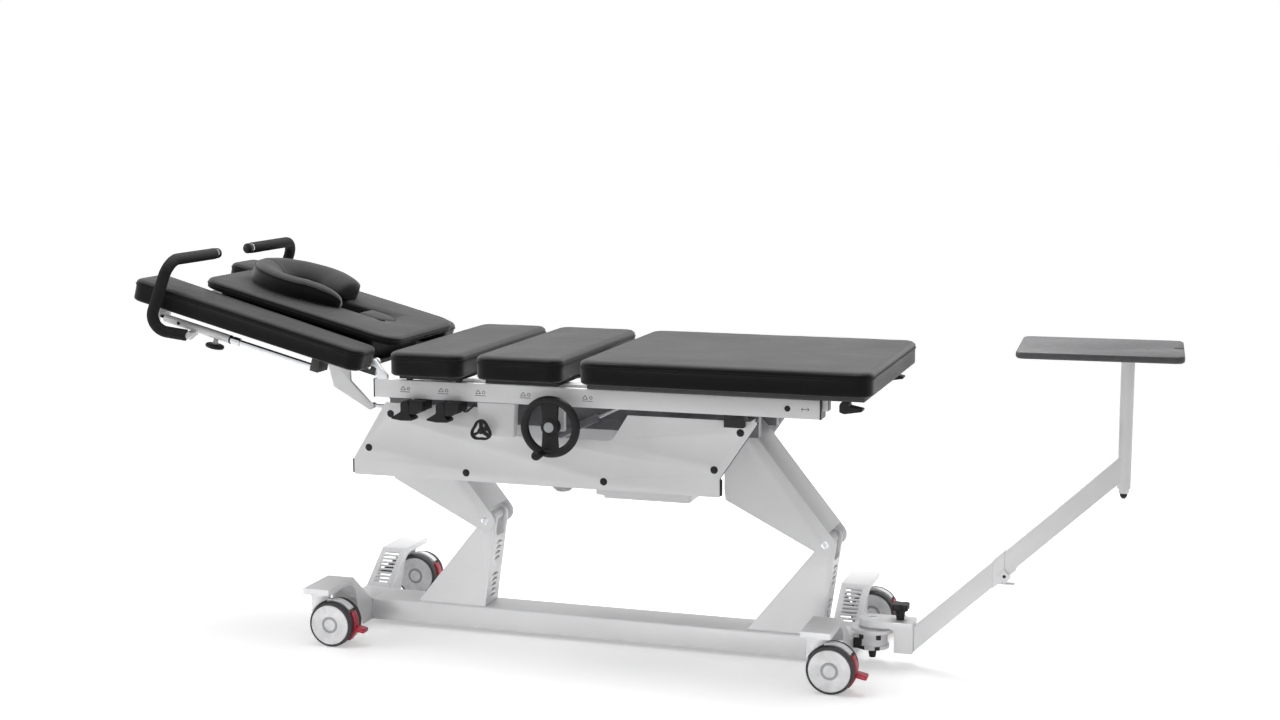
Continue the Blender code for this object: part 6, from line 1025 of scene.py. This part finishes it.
def lock_knob():
    """The open three-lobed knob with its spokes, hub and stem."""
    y = LOCK_KNOB_Y
    hub = Vector(LOCK_KNOB)
    shape = bmesh.new()
    skin(shape, [[shape.verts.new((a, y + depth, b)) for a, b in lobed_outline(inset, 90)]
                 for inset, depth in LOCK_RIM], closed=True)
    for turn in (pi / 2 + 2 * pi * k / 3 for k in range(3)):
        run = Vector((cos(turn), sin(turn)))
        side = Vector((-sin(turn), cos(turn)))
        outline = [hub - side * 0.0042, hub + run * 0.010 - side * 0.0034, hub + run * 0.0265 - side * 0.0042,
                   hub + run * 0.0265 + side * 0.0042, hub + run * 0.010 + side * 0.0034, hub + side * 0.0042]
        prism(shape, [tuple(p) for p in outline], "Y", y - 0.0058, y + 0.0058)
    lathe(shape, [*moved(LOCK_HUB_PROFILE, y), (0.0070, -RAIL_OUTER_Y), (0, -RAIL_OUTER_Y)], "Y", *LOCK_KNOB, 40)
    dressed(shape, "lock_knob_body", [LOOKS["plastic"]], "lock_knob", "black_plastic", "lock_knob",
            bevel=0.0008, angle=38)


def release_levers():
    """Both paddles, their stepped housings, the cable between them and the foot levers."""
    def moulding(node, body, bevel):
        finished_copy(node, body, "black_plastic", ("plastic",), bevel=bevel, segments=3, angle=42)
    for index in (1, 2):
        moulding("paddle_%d" % index, "paddle_%d" % index, 0.0014)
        moulding("lever_housing_%d" % index, "top", 0.0022)
    finished_copy("release_cable", "top", "black_plastic", ("seal",), bevel=0)
    for _, side in SIDES:
        moulding("foot_lever_" + side, "foot_lever_" + side, 0.0012)


PLUNGER_X = 0.822
PLUNGER_LOBES = 0.14
# The knob's rim as (inset, height) and its hub as (radius, height)
PLUNGER_RIM = ((0.0030, 0.1496), (0.0012, 0.1502), (0, 0.1520), (0, 0.1638), (0.0008, 0.1656), (0.0026, 0.1668),
               (0.0090, 0.1670))
PLUNGER_HUB = ((0, 0.1070), (0.0052, 0.1070), (0.0052, 0.1229), (0.0105, 0.1229), (0.0110, 0.1300),
               (0.0147, 0.1520), (0, 0.1520))


def plunger_knob():
    """The four-lobed knob on the arm's index plunger."""
    shape = bmesh.new()
    rows = []
    for inset, z in PLUNGER_RIM:
        radii = [(turn, 0.028 * (1 - PLUNGER_LOBES + PLUNGER_LOBES * cos(4 * turn + pi)) - inset)
                 for turn in turns(128)]
        rows.append([shape.verts.new((PLUNGER_X + radius * cos(turn), radius * sin(turn), z))
                     for turn, radius in radii])
    skin(shape, rows, ends=True)
    lathe(shape, PLUNGER_HUB, "Z", PLUNGER_X, 0, 40)
    dressed(shape, "plunger_knob_body", [LOOKS["plastic"]], "plunger_knob", "black_plastic", "plunger_knob", angle=38)


STRUT_FOOT = (-0.100, -0.140, 0.590)
STRUT_RUN = (0.200, 0, 0.0970)
STRUT_TUBE_SHARE = 0.62
# The eyes at both ends of the strut as (radius, place across the table)
TUBE_EYE = ((0.0056, -0.1500), (0.0095, -0.1500), (0.0100, -0.1495), (0.0100, -0.1305), (0.0095, -0.1300),
            (0.0056, -0.1300), (0.0056, -0.1500))
ROD_EYE = ((0, -0.1500), (0.0074, -0.1500), (0.0080, -0.1494), (0.0080, -0.1306), (0.0074, -0.1300), (0, -0.1300))


def struts():
    """The pressure strut behind the handwheel and the head section's spring."""
    base, line = Vector(STRUT_FOOT), Vector(STRUT_RUN)
    unit, head = line.normalized(), base + line
    reach = line.length * STRUT_TUBE_SHARE
    shape = bmesh.new()
    tube(shape, [base + unit * d for d in (0.004, 0.012, reach - 0.0010, reach)],
         [0.0100, 0.0100, 0.0100, 0.0092], 32)
    lathe(shape, TUBE_EYE, "Y", base.x, base.z, 40)
    dressed(shape, "strut_tube_body", [LOOKS["tube"]], "strut_tube", "grey_tube", "strut_tube", angle=38)
    shape = bmesh.new()
    tube(shape, [base + unit * 0.040, head], 0.0050, 28)
    lathe(shape, ROD_EYE, "Y", head.x, head.z, 36)
    dressed(shape, "strut_rod_body", [LOOKS["steel"]], "strut_rod", "polished_rod", "strut_rod", angle=38)
    finished_copy("head_spring_tube", "top", "grey_tube", ("tube",), bevel=0.0006)
    finished_copy("head_spring_rod", "head_spring_rod", "polished_rod", ("steel",), bevel=0.0004)


# Grips

GRIP_POINTS = ((-1.107, 0.333, 0.716), (-1.213, 0.358, 0.7066), (-1.190, 0.358, 0.909), (-1.197, 0.085, 0.905))
GRIP_BEND = 0.048
# Profiles along the slide tube: the tube itself and the collar with its cap at the tube's end
SLIDE_TUBE = ((0.0084, -1.1990), (0.0108, -1.1990), (0.0115, -1.1980), (0.0115, -0.9910), (0.0108, -0.9900),
              (0.0084, -0.9900), (0.0084, -1.1990))
COLLAR = ((0.0084, -0.9906), (0.0119, -0.9906), (0.0119, -0.9870), (0.0100, -0.9866), (0.0100, -0.9800),
          (0.0112, -0.9796), (0.0112, -0.9600), (0.0100, -0.9590), (0.0084, -0.9590), (0.0084, -0.9906))
SCREW_CAP = ((0, 0.3108), (0.0046, 0.3108), (0.0046, 0.3122), (0, 0.3126))
CLAMP_X = -1.033
CLAMP_Z = 0.703
CLAMP_TOP = 0.7232
CLAMP_PROFILE = ((0, -0.0045), (0.0225, -0.0045), (0.0246, -0.0038), (0.0258, -0.0018), (0.0260, 0),
                 (0.0256, 0.0022), (0.0240, 0.0040), (0.0220, 0.0045), (0.0090, 0.0045), (0.0070, 0.0060))


def grip_handles():
    """Foam-covered bent grips on white slide tubes, their end caps and the clamp knobs."""
    for s, side in SIDES:
        path = bent_path([Vector((x, s * y, z)) for x, y, z in GRIP_POINTS], GRIP_BEND, 22)
        shape = bmesh.new()
        run = (path[-1] - path[-2]).normalized()
        foam_end = path[-1] - run * 0.020
        foam = path[:-1] + [foam_end - run * 0.0016, foam_end]
        tube(shape, foam, [0.0160] * (len(foam) - 1) + [0.0148], 40, 0)
        tube(shape, [foam_end - run * 0.002, foam_end + run * 0.0060], 0.0145, 40, 1)
        tube(shape, [foam_end + run * d for d in (0.0058, 0.0060, 0.0185, 0.0200)],
             [0.0120, 0.0150, 0.0150, 0.0130], 40, 2)
        start = path[0]
        tube_y = s * SLIDE_TUBE_Y
        lug = [(tube_y, 0.7292), (tube_y, 0.7178), (start.y, start.z - 0.0096), (start.y + s * 0.0096, start.z),
               (start.y, start.z + 0.0096)]
        prism(shape, lug, "X", -1.1080, -1.0910, 3)
        lathe(shape, SLIDE_TUBE, "X", tube_y, SLIDE_TUBE_Z, 48, [3] * 6)
        lathe(shape, SCREW_CAP, "Y", -1.150, SLIDE_TUBE_Z, 24, [2] * 3, way=s)
        lathe(shape, COLLAR, "X", tube_y, SLIDE_TUBE_Z, 40, [2] * 3 + [1] * 6)
        looks = [LOOKS[n] for n in ("foam", "steel", "cap", "white")]
        dressed(shape, "grip_%s_body" % side, looks, "grip_" + side, "grip_sleeve", "grip_" + side, tilted=True,
                angle=38)
        knob = bmesh.new()
        lathe(knob, [*moved(CLAMP_PROFILE, CLAMP_Z), (0.0070, CLAMP_TOP), (0, CLAMP_TOP)], "Z", CLAMP_X, tube_y, 56,
              [0] * 9 + [1] * 2)
        dressed(knob, "clamp_knob_%s_body" % side, [LOOKS["plastic"], LOOKS["motor"]], "clamp_knob_" + side,
                "black_plastic", "clamp_knob_" + side, tilted=True, angle=38)


# Traction arm

ARM_RISE = radians(43.4)
ARM_FOOT = (0.861, 0, 0.075)
# The hook's plates, each by its limits along the arm, below its upper line and across it
HOOK_PLATES = ((-0.012, 0.013, 0.008, 0.036, -0.0215, -0.0170), (0.010, 0.034, 0.025, 0.0300, -0.0130, 0.0130),
               (-0.026, -0.010, 0.0250, 0.0310, -0.0100, 0.0100))


def arm_parts():
    """The swivel bracket, the rising arm with its post, and the tray."""
    finished_copy("swivel_bracket", "arm", "white_coat", ("white",), bevel=0.0012)
    finished_copy("traction_arm", "arm", "white_coat", ("white", "cap"), (
        (1, within((1.374, FREE), z=(-FREE, 0.5022))),), bevel=0.0009)
    finished_copy("tray", "arm", "tray_grey", ("tray",), bevel=0.0009, angle=42)
    shape = bmesh.new()
    along = Vector((cos(ARM_RISE), 0, sin(ARM_RISE)))
    down = Vector((along.z, 0, -along.x))
    start = Vector(ARM_FOOT) + along * 0.300
    for a0, a1, d0, d1, y0, y1 in HOOK_PLATES:
        corners = [start + along * a + down * d for a, d in ((a0, d0), (a1, d0), (a1, d1), (a0, d1))]
        prism(shape, rounded([(c.x, c.z) for c in corners], 0.003, 5), "Y", y0, y1)
    hole = start + along * 0.001 + down * 0.022
    lathe(shape, [(0, -0.0221), (0.0046, -0.0221), (0.0046, -0.0200), (0, -0.0200)], "Y", hole.x, hole.z, 28, [1] * 3)
    dressed(shape, "hook_clip", [LOOKS["white"], LOOKS["cap"]], "arm", "white_coat", bevel=0.0007)


# Cushions


def couch_cushions():
    flat_cushion("thoracic_pad", "thoracic_cushion", "top", 1.0)
    flat_cushion("lumbar_pad", "lumbar_cushion", "carriage", 2.0)
    flat_cushion("leg_pad", "leg_cushion", "leg", 3.0)


def bolsters():
    for s, side in SIDES:
        corners = [(-1.300, s * 0.337), (-0.590, s * 0.337), (-0.590, s * 0.228), (-1.300, s * 0.183)]
        outer = resampled(rounded(corners, [0.030, 0.036, 0.020, 0.030]), LOOP_POINTS)
        inner = segment_points(outer, (-1.224, s * 0.260), (-0.648, s * 0.2825))
        shape = cushion_shape(outer, inner, PAD_BASE, BOLSTER_SEAM, 0.829, 4.0 + s, 0.004, corners, swell=0.06)
        upholstered("bolster_%s_pad" % side, shape, "head", "bolster_" + side, tilted=True)
        stitched("bolster_%s_stitches" % side, stitch_route(outer, inner, 0.0034, BOLSTER_SEAM + 0.0092), "head",
                 True)


def slot_points(outer, a, b, radius):
    """Where the line from each outline point to the slot's middle line meets the slot's rim."""
    middle = segment_points(outer, a, b)
    run = outer - middle
    return middle + run / np.maximum(np.linalg.norm(run, axis=1), TINY)[:, None] * radius


def head_pads():
    """The thin head pad with its face slot, the deeper pad below it, the tongue pad and the pillow."""
    corners = rectangle(-1.160, -0.551, 0.220)
    outer = resampled(rounded(corners, 0.060), 320)
    inner = slot_points(outer, *FACE_SLOT, FACE_SLOT_RADIUS)
    shape = cushion_shape(outer, inner, 0.8315, HEAD_SEAM, 0.8585, 6.0, 0.002, corners, ring=True, roll=0.013,
                          swell=0.07, slack=0.0008)
    under = resampled(rounded(rectangle(-1.120, -0.640, 0.168), 0.012), 160)
    hole = slot_points(under, *FACE_SLOT, FACE_SLOT_RADIUS)
    skin(shape, [[shape.verts.new((p[0], p[1], z)) for p in points]
                 for points, z in ((under, PAD_BASE), (under, 0.8330), (hole, 0.8330), (hole, PAD_BASE))], closed=True)
    upholstered("head_pad", shape, "head", "head_cushion", tilted=True)
    stitched("head_pad_stitches", stitch_route(outer, inner, 0.0030, HEAD_SEAM + 0.0080), "head", True)
    tongue = rectangle(-0.752, -0.660, 0.0428)
    outer = resampled(rounded(tongue, [0.012, 0.042, 0.042, 0.012]), 140)
    inner = segment_points(outer, (-0.712, 0), (-0.702, 0))
    shape = cushion_shape(outer, inner, PAD_BASE, TONGUE_SEAM, 0.8570, 8.0, 0.001, tongue, roll=0.012, swell=0.04,
                          welt=0.0014)
    upholstered("tongue", shape, "head", "tongue_pad", tilted=True)
    upholstered("pillow", face_pillow_shape(), "head", "face_pillow", tilted=True)


# Marks on the rail

MARKS_Y = -0.2702
MARK_PLACES = (-0.4824, -0.3714, -0.2646, -0.1366, 0.0366)


def rail_marks(sizes):
    """Plain generic strokes along the near rail."""
    shape = bmesh.new()

    def stroke(points):
        path = [Vector((a, 0, b)) for a, b in points]
        for one, two in zip(path, path[1:]):
            run = (two - one).normalized()
            across = Vector((-run.z, 0, run.x)) * sizes.mark_stroke / 2
            outline = [one - across, two - across, two + across, one + across]
            prism(shape, [(p.x, p.z) for p in outline], "Y", MARKS_Y, MARKS_Y + 0.0006)
    for x in MARK_PLACES:
        z = 0.7225
        stroke([(x - 0.015, z - 0.008), (x + 0.015, z - 0.008)])
        stroke([(x - 0.013, z - 0.003), (x - 0.006, z + 0.007), (x + 0.001, z - 0.003), (x - 0.013, z - 0.003)])
        stroke(arc(x + 0.010, z + 0.001, 0.0038, 0, 2 * pi, 12))
    x, z = 0.618, 0.7215
    stroke([(x - 0.010, z), (x + 0.010, z)])
    stroke([(x - 0.006, z + 0.004), (x - 0.010, z), (x - 0.006, z - 0.004)])
    stroke([(x + 0.006, z + 0.004), (x + 0.010, z), (x + 0.006, z - 0.004)])
    dressed(shape, "rail_marks", [LOOKS["ink"]], "top", "black_plastic")


# Stage

WHITE = (1, 1, 1, 1)
# Name, place, aim, size, share of the lamp power and spread in degrees
LAMPS = (("overhead_softbox", (-0.3, 0.6, 3.2), (0.1, 0, 0.6), (3.4, 2.2), 1.0, 180),
         ("front_fill", (1.6, -4.8, 0.7), (0.1, 0, 0.3), (3.2, 1.0), 0.03, 180),
         ("low_strip", (0.15, -1.9, 0.10), (0.15, 0, 0.09), (3.0, 0.12), 0.006, 24),
         ("left_strip", (-3.8, -1.6, 1.9), (-0.3, 0, 0.7), (0.9, 2.0), 0.14, 180))
CAMERA_PLACE = Vector((1.670, -4.913, 1.515))
CAMERA_TURN = (radians(90 - 8.008), radians(0.034), radians(17.772))
CAMERA_LENS = 53.705


def studio_floor(settings):
    """A pale floor that glows for the camera and in reflections, more so far away."""
    material = bpy.data.materials.new("studio_floor")
    material.use_nodes = True
    tree = material.node_tree
    shader = tree.nodes["Principled BSDF"]
    for socket, value in (("Base Color", (0.86, 0.86, 0.86, 1)), ("Roughness", 0.55), ("Specular IOR Level", 0.2),
                          ("Emission Color", WHITE)):
        shader.inputs[socket].default_value = value
    seen = new_node(tree, "ShaderNodeLightPath")
    shown = new_node(tree, "ShaderNodeMath", operation="MAXIMUM")
    glow = new_node(tree, "ShaderNodeMath", operation="MULTIPLY")
    place = new_node(tree, "ShaderNodeTexCoord")
    reach = new_node(tree, "ShaderNodeVectorMath", operation="LENGTH")
    far = new_node(tree, "ShaderNodeMapRange", {"From Min": 1.5, "From Max": 8.0, "To Min": settings.floor_glow,
                                                "To Max": settings.floor_glow_far})
    wire(tree, (place, "Object", reach, 0), (reach, "Value", far, "Value"), (far, "Result", glow, 1),
         (seen, "Is Camera Ray", shown, 0), (seen, "Is Glossy Ray", shown, 1), (shown, "Value", glow, 0),
         (glow, "Value", shader, "Emission Strength"))
    mesh = bpy.data.meshes.new("studio_floor")
    mesh.from_pydata([(-30, -30, 0), (30, -30, 0), (30, 30, 0), (-30, 30, 0)], [], [(0, 1, 2, 3)])
    mesh.materials.append(material)
    return added("studio_floor", mesh)


def studio_world(settings):
    """A white world that the camera, reflections and clear pieces see at full strength."""
    world = bpy.data.worlds.new("studio_world")
    bpy.context.scene.world = world
    world.use_nodes = True
    tree = world.node_tree
    back = tree.nodes["Background"]
    back.inputs["Color"].default_value = WHITE
    seen = new_node(tree, "ShaderNodeLightPath")
    shown = new_node(tree, "ShaderNodeMath", operation="MAXIMUM")
    both = new_node(tree, "ShaderNodeMath", operation="MAXIMUM")
    level = new_node(tree, "ShaderNodeMapRange", {"To Min": settings.world_light, "To Max": 1.0})
    wire(tree, (seen, "Is Camera Ray", shown, 0), (seen, "Is Glossy Ray", shown, 1), (shown, "Value", both, 0),
         (seen, "Is Transmission Ray", both, 1), (both, "Value", level, "Value"),
         (level, "Result", back, "Strength"))


def stage(settings):
    """Pale seamless floor, soft studio light and the camera at the reference angle."""
    made = [studio_floor(settings)]
    studio_world(settings)
    for name, place, aim, size, power, spread in LAMPS:
        lamp = bpy.data.lights.new(name, "AREA")
        lamp.shape = "RECTANGLE"
        lamp.size, lamp.size_y = size
        lamp.spread = radians(spread)
        lamp.energy = settings.lamp_power * power
        holder = added(name, lamp)
        holder.location = place
        holder.rotation_euler = (Vector(aim) - Vector(place)).to_track_quat("-Z", "Y").to_euler()
        made.append(holder)
    camera = bpy.data.cameras.new("reference_camera")
    camera.lens = CAMERA_LENS
    camera.sensor_width = 36
    camera.clip_end = 200
    eye = added("reference_camera", camera)
    eye.location = CAMERA_PLACE + SHIFT
    eye.rotation_euler = CAMERA_TURN
    bpy.context.scene.camera = eye
    made.append(eye)
    bpy.context.scene.view_settings.view_transform = "Standard"


# The add-on's settings, operators and panel


def colour_setting(name, description, default):
    return bpy.props.FloatVectorProperty(name=name, description=description, default=default, subtype="COLOR",
                                         size=3, min=0, max=1)


class TableColours(bpy.types.PropertyGroup):
    """Colours of the traction table's finishes."""

    coat: colour_setting("Powder Coat", "Colour of the painted steel frame", (0.80, 0.80, 0.81))
    vinyl: colour_setting("Vinyl", "Colour of the upholstery", (0.0040, 0.0040, 0.0043))
    plastic: colour_setting("Plastic", "Colour of knobs, levers and caps", (0.011, 0.011, 0.0115))
    tyre: colour_setting("Tread", "Colour of the castor treads", (0.050, 0.050, 0.052))
    disc: colour_setting("Wheel Disc", "Colour of the castor wheel discs", (0.66, 0.66, 0.67))
    pedal: colour_setting("Pedal", "Colour of the castor locking pedals", (0.42, 0.010, 0.030))
    tray: colour_setting("Tray", "Colour of the tray", (0.050, 0.050, 0.053))


def size_setting(name, description, default):
    return bpy.props.FloatProperty(name=name, description=description, default=default, min=0.0001, precision=5,
                                   unit="LENGTH")


class TableSizes(bpy.types.PropertyGroup):
    """Sizes of the small parts that the dressing adds to the frame."""

    stitch_pitch: size_setting("Stitch Pitch", "Distance from one stitch to the next", 0.0068)
    stitch_length: size_setting("Stitch Length", "Length of one stitch", 0.0045)
    stitch_thickness: size_setting("Thread Radius", "Radius of the sewing thread", 0.00038)
    panel_cap_radius: size_setting("Panel Cap Radius", "Radius of the screw caps on the side panels", 0.0102)
    panel_cap_height: size_setting("Panel Cap Height", "Height of the screw caps on the side panels", 0.0034)
    mark_stroke: size_setting("Mark Stroke", "Width of the strokes on the rail", 0.0015)


class StudioLight(bpy.types.PropertyGroup):
    """Strengths of the studio's light."""

    lamp_power: bpy.props.FloatProperty(name="Lamp Power", description="Power of the overhead lamp; others follow it",
                                        default=185.0, min=0, subtype="POWER")
    world_light: bpy.props.FloatProperty(name="World Light", description="Light of the surroundings on the table",
                                         default=0.33, min=0, max=2)
    floor_glow: bpy.props.FloatProperty(name="Floor Glow", description="Extra brightness with which the floor is seen",
                                        default=0.38, min=0, max=1)
    floor_glow_far: bpy.props.FloatProperty(name="Far Floor Glow", description="The same far away from the table",
                                            default=0.66, min=0, max=1)


class TABLE_OT_finishes(bpy.types.Operator):
    """Makes every finish from the chosen colours"""

    bl_idname = "traction_table.finishes"
    bl_label = "Finishes"

    def execute(self, context):
        prepare_looks(context.scene.table_colours)
        return {"FINISHED"}


class TABLE_OT_castors(bpy.types.Operator):
    """Builds the four twin castors"""

    bl_idname = "traction_table.castors"
    bl_label = "Castors"

    def execute(self, context):
        all_castors()
        return {"FINISHED"}


class TABLE_OT_steelwork(bpy.types.Operator):
    """Finishes the painted base, lift, top and carriage"""

    bl_idname = "traction_table.steelwork"
    bl_label = "Steelwork"

    def execute(self, context):
        steelwork()
        sizes = context.scene.table_sizes
        lift_frame_caps(sizes)
        rail_marks(sizes)
        return {"FINISHED"}


class TABLE_OT_controls(bpy.types.Operator):
    """Builds the handwheel, knobs, paddles, levers and struts"""

    bl_idname = "traction_table.controls"
    bl_label = "Controls"

    def execute(self, context):
        handwheel()
        lock_knob()
        release_levers()
        plunger_knob()
        struts()
        return {"FINISHED"}


class TABLE_OT_grips(bpy.types.Operator):
    """Builds both hand grips with their clamp knobs"""

    bl_idname = "traction_table.grips"
    bl_label = "Grips"

    def execute(self, context):
        grip_handles()
        return {"FINISHED"}


class TABLE_OT_arm(bpy.types.Operator):
    """Builds the swinging arm and its tray"""

    bl_idname = "traction_table.arm"
    bl_label = "Arm and Tray"

    def execute(self, context):
        arm_parts()
        return {"FINISHED"}


class TABLE_OT_couch_cushions(bpy.types.Operator):
    """Upholsters the three flat cushions"""

    bl_idname = "traction_table.couch_cushions"
    bl_label = "Couch Cushions"

    def execute(self, context):
        couch_cushions()
        return {"FINISHED"}


class TABLE_OT_head_cushions(bpy.types.Operator):
    """Upholsters the bolsters, head pad, tongue pad and face pillow"""

    bl_idname = "traction_table.head_cushions"
    bl_label = "Head Cushions"

    def execute(self, context):
        bolsters()
        head_pads()
        return {"FINISHED"}


class TABLE_OT_stage(bpy.types.Operator):
    """Sets the floor, the studio light and the camera"""

    bl_idname = "traction_table.stage"
    bl_label = "Stage"

    def execute(self, context):
        stage(context.scene.studio_light)
        return {"FINISHED"}


OPERATORS = (TABLE_OT_finishes, TABLE_OT_castors, TABLE_OT_steelwork, TABLE_OT_controls, TABLE_OT_grips, TABLE_OT_arm,
             TABLE_OT_couch_cushions, TABLE_OT_head_cushions, TABLE_OT_stage)


class TABLE_PT_panel(bpy.types.Panel):
    """The traction table's settings and operators"""

    bl_idname = "TABLE_PT_panel"
    bl_label = "Traction Table"
    bl_space_type = "VIEW_3D"
    bl_region_type = "UI"
    bl_category = "Traction Table"

    def draw(self, context):
        for group in (context.scene.table_colours, context.scene.table_sizes, context.scene.studio_light):
            column = self.layout.column(align=True)
            for name in group.__annotations__:
                column.prop(group, name)
        column = self.layout.column()
        for operator in OPERATORS:
            column.operator(operator.bl_idname)


CLASSES = (TableColours, TableSizes, StudioLight, *OPERATORS, TABLE_PT_panel)


def register():
    for kind in CLASSES:
        bpy.utils.register_class(kind)
    bpy.types.Scene.table_colours = bpy.props.PointerProperty(type=TableColours)
    bpy.types.Scene.table_sizes = bpy.props.PointerProperty(type=TableSizes)
    bpy.types.Scene.studio_light = bpy.props.PointerProperty(type=StudioLight)


def unregister():
    del bpy.types.Scene.studio_light
    del bpy.types.Scene.table_sizes
    del bpy.types.Scene.table_colours
    for kind in reversed(CLASSES):
        bpy.utils.unregister_class(kind)


def main():
    register()
    for name in ("finishes", "castors", "steelwork", "controls", "grips", "arm", "couch_cushions", "head_cushions",
                 "stage"):
        getattr(bpy.ops.traction_table, name)()


if __name__ == "__main__":
    main()
